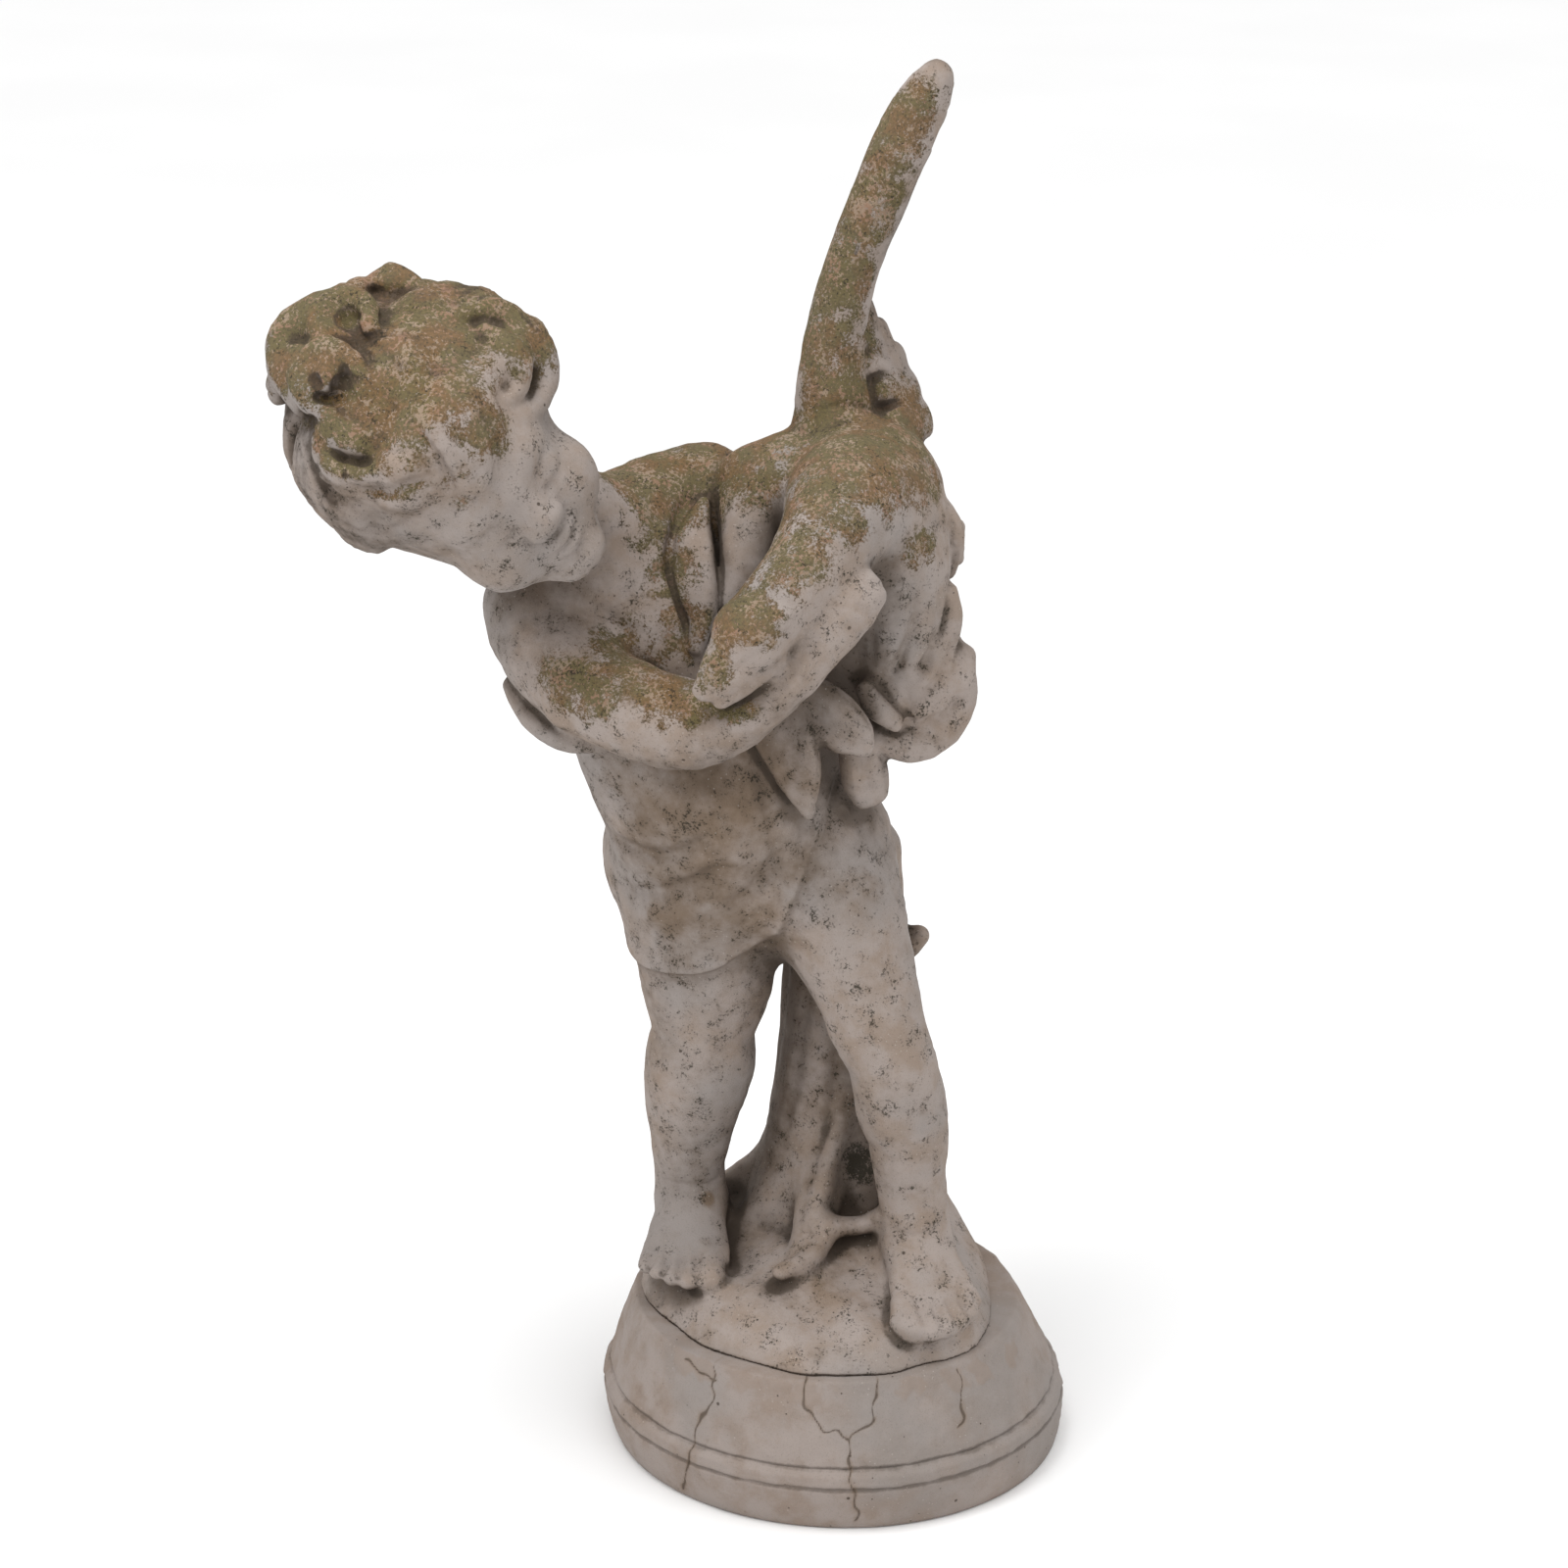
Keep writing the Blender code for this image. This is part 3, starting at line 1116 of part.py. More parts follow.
    def carve(self, clay: Clay) -> None:
        """Adds the mass of hair, its locks and the curls."""
        clay.frame = self.frame
        clay.ball(self.middle, self.radii, 4)
        clay.ball((0, -48, 50), (52, 30, 30), 10)
        for width, out, way in self.all_locks():
            rows = []
            for i, (turn, lift) in enumerate(way):
                t = i / (len(way) - 1)
                wide = width * (0.62 + 0.42 * math.sin(math.pi * min(1, t + 0.12)) - 0.16 * t)
                sunk = 9 * max(0, 1 - 3 * t)
                rows.append((*self.point(turn, lift, out - sunk), wide, 0.52 * wide + 1.5))
            clay.limb(rows, 4, self.across(way))
        clay.ball(tuple(self.point(178, 68)), (44, 42, 30), 8)
        for turn, lift, out, radius, thick, start in self.curls:
            self.curl(clay, self.point(turn, lift, out), radius, thick, start)
        clay.frame = STATUE
        for rows in self.rolls:
            clay.limb(rows, 4)
        for place, radius in self.hollows:
            clay.ball(tuple(clay.snap(np.array([place]))[0]), (radius, radius, radius), 4, cut=True)

    def across(self, way: Sequence[Point]) -> tuple[np.ndarray, np.ndarray]:
        """The directions along the head that a lock's width takes at its two ends."""
        rows = np.array([self.point(turn, lift) for turn, lift in way])
        run = np.gradient(rows, axis=0)
        side = np.cross(run, rows - np.array(self.middle))
        return unit_vector(side[0]), unit_vector(side[-1])

    def curl(self, clay: Clay, middle: np.ndarray, radius: float, thick: float, start: float) -> None:
        """A lock coiled once and a half round the way out of the head.

        Args:
            clay: The block of clay.
            middle: The coil's middle.
            radius: The coil's radius.
            thick: The lock's half width.
            start: The angle that the coil starts at.
        """
        axis = unit_vector(middle - np.array(self.middle))
        first = unit_vector(np.cross(axis, (0.2, 1, 0.3)))
        second = np.cross(axis, first)
        rows = []
        for i in range(10):
            t = i / 9
            a = start + 2.8 * math.pi * t
            r = radius * (1 - 0.6 * t)
            place = middle + first * math.cos(a) * r + second * math.sin(a) * r + axis * 7 * t
            rows.append((*place, thick * (1 - 0.3 * t)))
        clay.limb(rows, 3, steps=3)

    def crease(self, clay: Clay) -> None:
        """Combs strands along every lock, and draws the waves of the front."""
        clay.frame = self.frame
        for width, out, way in self.all_locks():
            for share in (-0.62, -0.2, 0.2, 0.62):
                self.strand(clay, way, out + width * 0.5, share * width)
        clay.frame = STATUE
        for way, width, depth in self.waves:
            clay.stroke(way, width, depth)

    def strand(self, clay: Clay, way: Sequence[Point], out: float, aside: float) -> None:
        """One fine groove beside a lock's middle line.

        Args:
            clay: The block of clay.
            way: The lock's turns and lifts.
            out: How far the lock's top stands out.
            aside: How far the groove is from its middle line.
        """
        middle = np.array([self.point(turn, lift, out) for turn, lift in way])
        run = np.gradient(middle, axis=0)
        away = middle - np.array(self.middle)
        side = np.cross(run, away)
        side /= np.linalg.norm(side, axis=1)[:, None]
        narrow = np.linspace(1, 0.45, len(way))[:, None]
        clay.stroke(middle + side * aside * narrow, self.strand_width, self.strand_depth)


@dataclass
class Ground:
    """The rock mound under the feet and the tree stump behind the legs."""

    radius: float
    shift: tuple[float, float]
    stump: Stations = (
        (-12, 44, 20, 66),
        (-10, 46, 80, 51),
        (-6, 50, 160, 44),
        (-2, 54, 240, 44),
        (0, 60, 315, 38),
    )
    roots: Stations = (
        (-70, 10, -18),
        (-30, -60, 14),
        (34, -20, 40),
        (70, 60, 30),
        (-20, 110, 10),
        (-90, 70, 0),
    )
    stub: Stations = ((16, 56, 234, 20), (40, 56, 248, 13), (52, 54, 256, 8))
    root_edge: Stations = ((0, 4, 132), (-8, -8, 105), (-18, -38, 70), (11, -36, 66), (26, -40, 74))
    root_tail: Stations = ((-10, -36, 66), (-14, -48, 56), (-27, -64, 50), (-44, -74, 46))

    def carve(self, clay: Clay) -> None:
        """Adds the stump, its roots and the mound."""
        clay.limb(self.stump, 8)
        for x, y, lift in self.roots:
            start = (-4 + 0.3 * x, 46 + 0.3 * (y - 46), 90 + lift, 14)
            knee = (0.7 * x, 46 + 0.7 * (y - 46), 58, 15)
            clay.limb((start, knee, (x, y, 40, 10)), 14)
        clay.limb(self.stub, 6)
        self.mound(clay)

    def mound(self, clay: Clay) -> None:
        """A low dome of rock as wide as the plinth's top, with nothing below or outside it."""
        place, (x, y, z) = clay.window(np.array((-170, -170, -20)), np.array((170, 170, 110)))
        x, y = x - self.shift[0], y - self.shift[1]
        across = np.sqrt(x * x + y * y)
        wall = across - self.radius
        lumps = 5 * np.sin(x * 0.045 + 1) * np.sin(y * 0.05 + 2) + 3 * np.sin(x * 0.09 + y * 0.07)
        dome = (z - 52 - lumps + across**2 / 560 - 0.06 * x - 0.1 * y) * 0.9
        dome = np.maximum(dome, (x - 78) * 0.78 + (z - 56) * 0.62)
        soft = 26
        near = np.maximum(soft - np.abs(wall - dome), 0)
        clay.add(place, np.maximum(wall, dome) + near * near / (4 * soft), 7)
        place, (x, y, z) = clay.window(np.array((-400, -400, -60)), np.array((400, 400, 30)))
        across = np.sqrt((x - self.shift[0]) ** 2 + (y - self.shift[1]) ** 2)
        clay.field[place] = np.maximum(clay.field[place], np.maximum(across - self.radius, -z))

    def crease(self, clay: Clay) -> None:
        """Cuts the stump's flutes, the torn root and the lumps of rock."""
        for k in range(9):
            a = math.radians(-150 + 40 * k)
            rows = []
            for z, r in ((90, 52), (140, 47), (190, 45), (240, 45), (285, 42)):
                twist = a + 0.002 * z
                rows.append((-6 + r * math.cos(twist), 50 + r * math.sin(twist), z))
            clay.stroke(rows, 5, 2.6)
        clay.limb([(*row, 7) for row in self.root_edge], 9)
        clay.limb([(*row, 6) for row in self.root_tail], 9)
        clay.dent((11, 0, 100), 12, 6)
        clay.stroke(((1, -36, 50), (29, -72, 38), (57, -107, 25)), 2.0, 1.4)
        clay.stroke(((30, -104, 34), (52, -118, 26), (78, -108, 24), (98, -86, 24)), 6, -3)


def model_statue() -> Clay:
    """Every form of the statue, from the big masses to the small ones."""
    clay = Clay(BLOCK_LOW, BLOCK_HIGH, VOXEL, FINEST_STROKE)
    legs, trunk, arms, goose, hair = Legs(), Trunk(), Arms(), Goose(), Hair()
    shift = (PLINTH_TOP_SHIFT[0] / UNIT, PLINTH_TOP_SHIFT[1] / UNIT)
    ground = Ground((PLINTH_TOP_RADIUS - MOUND_INSET) / UNIT, shift)
    legs.carve(clay)
    trunk.carve(clay)
    Wrap().carve(clay)
    ground.carve(clay)
    arms.carve(clay)
    goose.carve(clay)
    Head().carve(clay)
    hair.carve(clay)
    for form in (legs, trunk, ground, arms, goose, hair):
        form.crease(clay)
    return clay


def stone(name: str, color: tuple[float, float, float]) -> bpy.types.Material:
    """Plain cast stone."""
    material = bpy.data.materials.new(name)
    material.use_nodes = True
    shader = material.node_tree.nodes["Principled BSDF"]
    shader.inputs["Base Color"].default_value = (*color, 1)
    shader.inputs["Roughness"].default_value = 0.9
    shader.inputs["Metallic"].default_value = 0.0
    return material


def baked(source: bpy.types.Object, name: str) -> bpy.types.Mesh:
    """A new mesh of an object with its modifiers worked in."""
    bpy.context.view_layer.update()
    graph = bpy.context.evaluated_depsgraph_get()
    mesh = bpy.data.meshes.new_from_object(source.evaluated_get(graph))
    mesh.name = name
    return mesh


def build_statue() -> bpy.types.Mesh:
    """The child, the goose, the stump and the mound as one casting."""
    clay = model_statue()
    points, quads = largest(*skin(clay.field))
    points = (points * clay.voxel + clay.low) * UNIT
    rough = bpy.data.objects.new("rough_statue", mesh_of("rough_statue", points, quads))
    bpy.context.scene.collection.objects.link(rough)
    remesh = rough.modifiers.new("Even", "REMESH")
    remesh.mode = "VOXEL"
    remesh.voxel_size = REMESH_VOXEL * UNIT
    even = baked(rough, "even_statue")
    even.calc_loop_triangles()
    share = STATUE_TRIANGLES / len(even.loop_triangles)
    rough.modifiers.clear()
    rough.data = even
    thin = rough.modifiers.new("Thin", "DECIMATE")
    thin.ratio = share
    mesh = baked(rough, "child_with_goose")
    bpy.data.objects.remove(rough)
    places = np.empty(len(mesh.vertices) * 3, np.float32)
    mesh.vertices.foreach_get("co", places)
    places = places.reshape(-1, 3)
    low = places[:, 2] < 1.5 * UNIT
    places[low, 2] = 0
    places[:, 2] += PLINTH_HEIGHT + BEDDING_GAP
    mesh.vertices.foreach_set("co", places.ravel())
    mesh.update()
    return mesh


def plinth_profile() -> list[tuple[float, float]]:
    """The plinth's outline as (radius, height) from the ground up."""
    top = PLINTH_HEIGHT
    band = PLINTH_BAND_HEIGHT
    roll = band + PLINTH_ROLL_HEIGHT
    wide = PLINTH_FOOT_RADIUS + PLINTH_BAND_BULGE
    groove = PLINTH_GROOVE_WIDTH / 2
    deep = PLINTH_GROOVE_DEPTH
    rows = [(PLINTH_FOOT_RADIUS - 0.002, 0), (PLINTH_FOOT_RADIUS, 0.002), (wide - 0.0008, band * 0.55)]
    rows += [(wide, band - groove), (wide - deep, band), (wide, band + groove)]
    start = PLINTH_ROLL_RADIUS
    rows += [((wide + start) / 2 + 0.001, roll - groove - 0.004), (start, roll - groove)]
    rows += [(start - deep, roll), (start - 0.0005, roll + groove)]
    foot = roll + groove
    for i in range(1, 7):
        t = i / 6
        straight = start + (PLINTH_TOP_RADIUS + 0.0010 - start) * t
        bulge = PLINTH_SHOULDER_BULGE * math.sin(math.pi * t)
        rows.append((straight + bulge, foot + (top - 0.0015 - foot) * t))
    rows.append((PLINTH_TOP_RADIUS, top))
    return rows


def build_plinth() -> bpy.types.Mesh:
    """The turned plinth as one closed body."""
    profile = plinth_profile()
    mesh = bpy.data.meshes.new("plinth")
    form = bmesh.new()
    rings = []
    for radius, height in profile:
        lean = height / PLINTH_HEIGHT
        x, y = PLINTH_TOP_SHIFT[0] * lean, PLINTH_TOP_SHIFT[1] * lean
        turns = [2 * math.pi * i / PLINTH_SIDES for i in range(PLINTH_SIDES)]
        places = [(x + radius * math.cos(a), y + radius * math.sin(a), height) for a in turns]
        rings.append([form.verts.new(place) for place in places])
    for lower, upper in zip(rings[:-1], rings[1:]):
        for i in range(PLINTH_SIDES):
            j = (i + 1) % PLINTH_SIDES
            form.faces.new([lower[i], lower[j], upper[j], upper[i]])
    form.faces.new(rings[0][::-1])
    form.faces.new(rings[-1])
    for face in form.faces:
        face.smooth = True
    form.to_mesh(mesh)
    form.free()
    return mesh


def main() -> None:
    """Clears the scene and makes the plinth and the statue."""
    for old in list(bpy.data.objects):
        bpy.data.objects.remove(old)
    pale = stone("pale_cast_stone", (0.42, 0.38, 0.33))
    for name, mesh in (("plinth", build_plinth()), ("child_with_goose", build_statue())):
        mesh.materials.append(pale)
        bpy.context.scene.collection.objects.link(bpy.data.objects.new(name, mesh))


main()
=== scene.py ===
"""Child with a goose: the weathered surfaces of a cast stone garden sculpture on its turned plinth.

The figure is modelled as clay in pose units of one millimetre: x to the viewer's right, y to the back and
z up from the plinth's top. The plinth is spun from its profile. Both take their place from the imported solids.
"""

from __future__ import annotations

import logging
import math
from dataclasses import dataclass, field
from enum import Enum
from typing import Callable, Iterable, Sequence

import bpy
import numpy as np
from mathutils import Euler, Matrix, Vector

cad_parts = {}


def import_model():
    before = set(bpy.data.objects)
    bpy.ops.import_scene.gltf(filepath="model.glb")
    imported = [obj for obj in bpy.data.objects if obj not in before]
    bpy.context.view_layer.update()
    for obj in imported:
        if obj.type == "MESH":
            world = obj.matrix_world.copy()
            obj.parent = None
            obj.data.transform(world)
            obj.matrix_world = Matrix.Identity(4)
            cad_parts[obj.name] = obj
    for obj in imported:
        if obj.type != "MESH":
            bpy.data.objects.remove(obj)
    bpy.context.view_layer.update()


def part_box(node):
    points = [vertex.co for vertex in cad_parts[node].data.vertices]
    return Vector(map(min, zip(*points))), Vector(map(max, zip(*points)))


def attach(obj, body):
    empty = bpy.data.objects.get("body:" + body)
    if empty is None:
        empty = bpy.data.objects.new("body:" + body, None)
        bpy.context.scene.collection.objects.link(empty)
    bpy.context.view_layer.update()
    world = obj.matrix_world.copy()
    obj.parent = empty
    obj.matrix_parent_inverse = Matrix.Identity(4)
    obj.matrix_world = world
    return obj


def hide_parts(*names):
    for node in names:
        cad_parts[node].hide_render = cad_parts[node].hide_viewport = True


LOG = logging.getLogger("sculpture")

Point = tuple[float, ...]
Stations = tuple[Point, ...]
Edge = Callable[[np.ndarray, np.ndarray, np.ndarray], np.ndarray]

POSE_UNIT = 0.001
MILLIMETRES = 1000
MOUND_INSET = 1.5
FAR = 60.0
REACH = 15.0


def unit_vector(v: Sequence[float]) -> np.ndarray:
    """A vector made one unit long."""
    row = np.asarray(v, float)
    return row / max(float(np.linalg.norm(row)), 1e-9)


def smooth_step(low: float, high: float, value: np.ndarray) -> np.ndarray:
    """A smooth change from 0 at low to 1 at high."""
    t = np.clip((value - low) / (high - low), 0, 1)
    return t * t * (3 - 2 * t)


def smooth_rows(stations: Iterable[Point], steps: int) -> np.ndarray:
    """A smooth curve through stations.

    Args:
        stations: Rows of numbers that the curve passes through.
        steps: Spans between each two stations.

    Returns:
        The curve's rows, ends included.
    """
    rows = np.array([tuple(s) for s in stations], float)
    padded = np.vstack([2 * rows[0] - rows[1], rows, 2 * rows[-1] - rows[-2]])
    out = []
    for i in range(len(rows) - 1):
        a, b, c, d = padded[i : i + 4]
        for t in np.arange(steps) / steps:
            bend = (2 * a - 5 * b + 4 * c - d) * t * t + (3 * b - a - 3 * c + d) * t**3
            out.append(0.5 * (2 * b + (c - a) * t + bend))
    out.append(rows[-1])
    return np.array(out)


@dataclass
class Frame:
    """A place and a turn, in pose units and degrees, that points are written in."""

    place: Point = (0, 0, 0)
    turn: Point = (0, 0, 0)

    def matrix(self) -> np.ndarray:
        """The turn as a matrix of three rows."""
        return np.array(Euler([math.radians(a) for a in self.turn]).to_matrix())

    def points(self, rows: Iterable[Point]) -> np.ndarray:
        """Rows whose first three numbers are a point, moved into the statue's frame.

        Args:
            rows: Rows of three numbers or more.

        Returns:
            The rows as an array, with the point moved and the rest as it was.
        """
        out = np.array([tuple(r) for r in rows], float)
        out[:, :3] = out[:, :3] @ self.matrix().T + np.array(self.place, float)
        return out

    def direction(self, v: Sequence[float]) -> np.ndarray:
        """A direction turned into the statue's frame."""
        return self.matrix() @ np.array(v, float)


STATUE = Frame()


class Clay:
    """A block of clay: how far each point of a grid is from its surface, less than zero inside."""

    def __init__(self, low: Point, high: Point, voxel: float, finest: float = 0.0) -> None:
        """Makes an empty block.

        Args:
            low: Lowest corner of the grid.
            high: Highest corner of the grid.
            voxel: Distance between grid points.
            finest: Strokes narrower than this are left out.
        """
        self.low = np.array(low, float)
        self.voxel = voxel
        self.finest = finest
        shape = np.ceil((np.array(high) - self.low) / voxel).astype(int) + 1
        self.field = np.full(shape, FAR, np.float32)
        self.frame = STATUE

    def window(self, low: np.ndarray, high: np.ndarray) -> tuple[tuple[slice, ...], list[np.ndarray]]:
        """The part of the grid between two corners.

        Args:
            low: Lowest corner.
            high: Highest corner.

        Returns:
            The slices of the field, and the x, y and z of its points.
        """
        first = np.floor((np.array(low) - self.low) / self.voxel).astype(int)
        last = np.ceil((np.array(high) - self.low) / self.voxel).astype(int) + 1
        first = np.clip(first, 0, self.field.shape)
        last = np.clip(last, first, self.field.shape)
        place = tuple(slice(a, b) for a, b in zip(first, last))
        axes = [self.low[i] + self.voxel * np.arange(first[i], last[i]) for i in range(3)]
        return place, np.meshgrid(*[a.astype(np.float32) for a in axes], indexing="ij", sparse=True)

    def add(self, place: tuple[slice, ...], distance: np.ndarray, soft: float) -> None:
        """Clay put on, with a fillet about a quarter of soft deep."""
        here = self.field[place]
        near = np.maximum(soft - np.abs(here - distance), 0)
        self.field[place] = np.minimum(here, distance) - near * near / (4 * max(soft, 1e-3))

    def cut(self, place: tuple[slice, ...], distance: np.ndarray, soft: float) -> None:
        """Clay taken away, with a rounded edge."""
        here = self.field[place]
        near = np.maximum(soft - np.abs(here + distance), 0)
        self.field[place] = np.maximum(here, -distance) + near * near / (4 * max(soft, 1e-3))

    def ball(
        self, centre: Point, radii: Point, soft: float = 6, turn: Point = (0, 0, 0), cut: bool = False
    ) -> None:
        """An ellipsoid put on or cut out.

        Args:
            centre: Its middle in the clay's frame.
            radii: Its three half lengths.
            soft: Width of the fillet round it.
            turn: Its own turn in degrees.
            cut: Whether it takes clay away.
        """
        middle = self.frame.points([centre])[0]
        axes = self.frame.matrix() @ Frame(turn=turn).matrix()
        reach = np.sqrt((axes**2) @ np.square(np.array(radii, float))) + soft + REACH
        place, (x, y, z) = self.window(middle - reach, middle + reach)
        near: np.ndarray | float = 0
        steep: np.ndarray | float = 0
        for axis, radius in zip(axes.T, radii):
            along = (x - middle[0]) * axis[0] + (y - middle[1]) * axis[1] + (z - middle[2]) * axis[2]
            near = near + (along / radius) ** 2
            steep = steep + (along / radius**2) ** 2
        near = np.sqrt(near)
        distance = (near - 1) * (near + 1e-4) / (np.sqrt(steep) + 1e-4 / min(radii))
        (self.cut if cut else self.add)(place, distance, soft)

    def limb(
        self,
        stations: Iterable[Point],
        soft: float = 6,
        across: Sequence = (0.3, 0.5, 0.8),
        square: float = 2.0,
        steps: int = 4,
        cut: bool = False,
    ) -> None:
        """A tube with domed ends through stations of x, y, z, half width and half thickness.

        Args:
            stations: Its rows. The half thickness may be left out where the tube is round.
            soft: Width of the fillet round it.
            across: Direction of its width, one for the whole limb or one for each end.
            square: 2 for an oval section, more for a flatter one with firmer edges.
            steps: Straight spans between each two stations.
            cut: Whether it takes clay away.
        """
        rows = [s if len(s) == 5 else (*s, s[3]) for s in stations]
        curve = self.frame.points(smooth_rows(rows, steps))
        ends = np.array(across, float)
        if ends.ndim == 1:
            ends = np.stack([ends, ends])
        reach = soft + REACH
        wide = curve[:, 3:].max() + reach
        place, _ = self.window(curve[:, :3].min(0) - wide, curve[:, :3].max(0) + wide)
        out = np.full([s.stop - s.start for s in place], FAR, np.float32)
        for i in range(len(curve) - 1):
            t = i / max(len(curve) - 2, 1)
            width = self.frame.direction(ends[0] * (1 - t) + ends[1] * t)
            self.span(out, place, curve[i], curve[i + 1], width, reach, square)
        (self.cut if cut else self.add)(place, out, soft)

    def span(
        self,
        out: np.ndarray,
        place: tuple[slice, ...],
        a: np.ndarray,
        b: np.ndarray,
        width: np.ndarray,
        reach: float,
        square: float,
    ) -> None:
        """One straight span of a limb, written into out where it is nearest.

        Args:
            out: Distances of the limb's window.
            place: Slices of that window.
            a: Row where the span starts.
            b: Row where the span ends.
            width: Direction of the width.
            reach: How far beyond its surface the distances are wanted.
            square: Exponent of the section.
        """
        wide = max(a[3:].max(), b[3:].max()) + reach
        low = np.minimum(a[:3], b[:3]) - wide
        high = np.maximum(a[:3], b[:3]) + wide
        part, (x, y, z) = self.window(low, high)
        local = tuple(slice(p.start - q.start, p.stop - q.start) for p, q in zip(part, place))
        length = max(float(np.linalg.norm(b[:3] - a[:3])), 1e-6)
        along = (b[:3] - a[:3]) / length
        width = unit_vector(width - along * (width @ along))
        depth = np.cross(along, width)
        x, y, z = x - a[0], y - a[1], z - a[2]
        run = x * along[0] + y * along[1] + z * along[2]
        share = np.clip(run / length, 0, 1)
        half_width = a[3] + (b[3] - a[3]) * share
        half_depth = a[4] + (b[4] - a[4]) * share
        half_end = np.minimum(half_width, half_depth)
        u = np.abs(x * width[0] + y * width[1] + z * width[2]) / half_width
        v = np.abs(x * depth[0] + y * depth[1] + z * depth[2]) / half_depth
        w = np.abs(run - share * length) / half_end
        if square == 2:
            near = np.sqrt(u * u + v * v + w * w)
            steep = np.sqrt((u / half_width) ** 2 + (v / half_depth) ** 2 + (w / half_end) ** 2)
            distance = (near - 1) * (near + 1e-4) / (steep + 1e-4 / half_end)
        else:
            near = np.maximum(u**square + v**square + w**square, 1e-6) ** (1 / square)
            sides = ((u, half_width), (v, half_depth), (w, half_end))
            steep = np.sqrt(sum((s ** (square - 1) / h) ** 2 for s, h in sides)) * near ** (1 - square)
            distance = (near - 1) / np.maximum(steep, 0.5 / half_width)
        out[local] = np.minimum(out[local], distance)

    def layer(
        self, low: Point, high: Point, thickness: float, edges: Iterable[Edge], soft: float = 2
    ) -> None:
        """A layer of cloth over the clay.

        Args:
            low: Lowest corner of the box that it lies in.
            high: Highest corner of that box.
            thickness: Thickness of the cloth.
            edges: Distances outside the cloth's borders. It is kept where they are all below zero.
            soft: Roundness of its borders.
        """
        place, (x, y, z) = self.window(np.array(low), np.array(high))
        cloth = self.field[place] - thickness
        for edge in edges:
            border = edge(x, y, z)
            near = np.maximum(soft - np.abs(cloth - border), 0)
            cloth = np.maximum(cloth, border) + near * near / (4 * soft)
        self.add(place, cloth, soft)

    def sample(self, points: np.ndarray) -> np.ndarray:
        """The field at points, between its grid values."""
        at = (points - self.low) / self.voxel
        first = np.clip(np.floor(at).astype(int), 0, np.array(self.field.shape) - 2)
        part = np.clip(at - first, 0, 1)
        total = np.zeros(len(points))
        for corner in np.ndindex(2, 2, 2):
            share = np.prod(np.where(corner, part, 1 - part), axis=1)
            total = total + share * self.field[tuple((first + corner).T)]
        return total

    def snap(self, points: np.ndarray) -> np.ndarray:
        """Points moved onto the nearest surface."""
        for _ in range(12):
            slope = np.stack(
                [self.sample(points + e) - self.sample(points - e) for e in np.eye(3) * self.voxel], 1
            ) / (2 * self.voxel)
            size = np.maximum((slope**2).sum(1), 0.05)
            step = slope * (self.sample(points) / size)[:, None]
            points = points - np.clip(step, -6, 6)
        return points

    def stroke(self, points: Iterable[Point], width: float, depth: float, taper: bool = True) -> None:
        """A groove drawn over the surface, or a ridge where depth is less than zero.

        Args:
            points: The stroke's way, near the surface, in the clay's frame.
            width: Half width at which it has faded to a third.
            depth: How deep it goes.
            taper: Whether its ends fade out.
        """
        if width < self.finest:
            return
        rows = self.snap(self.frame.points(smooth_rows(points, 5)))
        place, _ = self.window(rows.min(0) - 3 * width - 4, rows.max(0) + 3 * width + 4)
        nearest = np.full([s.stop - s.start for s in place], FAR, np.float32)
        weight = np.ones_like(nearest)
        count = len(rows) - 1
        for i in range(count):
            low = np.minimum(rows[i], rows[i + 1]) - 3 * width
            high = np.maximum(rows[i], rows[i + 1]) + 3 * width
            part, (x, y, z) = self.window(low, high)
            local = tuple(slice(p.start - q.start, p.stop - q.start) for p, q in zip(part, place))
            way = rows[i + 1] - rows[i]
            length = max(float(np.linalg.norm(way)), 1e-6)
            way = way / length
            x, y, z = x - rows[i, 0], y - rows[i, 1], z - rows[i, 2]
            run = np.clip(x * way[0] + y * way[1] + z * way[2], 0, length)
            far = np.sqrt((x - run * way[0]) ** 2 + (y - run * way[1]) ** 2 + (z - run * way[2]) ** 2)
            t = (i + run / length) / count
            closer = far < nearest[local]
            nearest[local] = np.where(closer, far, nearest[local])
            if taper:
                ends = np.minimum(1, 5 * np.minimum(t, 1 - t) + 0.1)
                weight[local] = np.where(closer, ends, weight[local])
        self.field[place] += depth * weight * np.exp(-((nearest / width) ** 2))

    def soften(self, low: Point, high: Point, size: float) -> None:
        """Rounds all that lies between two corners, less and less towards the corners.

        Args:
            low: Lowest corner.
            high: Highest corner.
            size: How wide the forms are averaged.
        """
        place, _ = self.window(np.array(low), np.array(high))
        old = self.field[place]
        new = old.copy()
        share = np.ones((1, 1, 1), np.float32)
        for axis in range(3):
            count = old.shape[axis]
            rise = np.minimum(np.arange(count), count - 1 - np.arange(count)) * self.voxel / 30
            rise = np.clip(rise, 0, 1) ** 2 * (3 - 2 * np.clip(rise, 0, 1))
            share = share * rise.reshape([-1 if i == axis else 1 for i in range(3)]).astype(np.float32)
        for _ in range(round(2 * (size / self.voxel) ** 2)):
            for axis in range(3):
                new = (np.roll(new, 1, axis) + 2 * new + np.roll(new, -1, axis)) / 4
        self.field[place] = old + (new - old) * share

    def dent(self, centre: Point, radius: float, depth: float) -> None:
        """A soft hollow at the surface near a point, or a boss where depth is less than zero."""
        middle = self.snap(self.frame.points([centre]))[0]
        place, (x, y, z) = self.window(middle - 3 * radius, middle + 3 * radius)
        far = (x - middle[0]) ** 2 + (y - middle[1]) ** 2 + (z - middle[2]) ** 2
        self.field[place] += depth * np.exp(-far / radius**2)


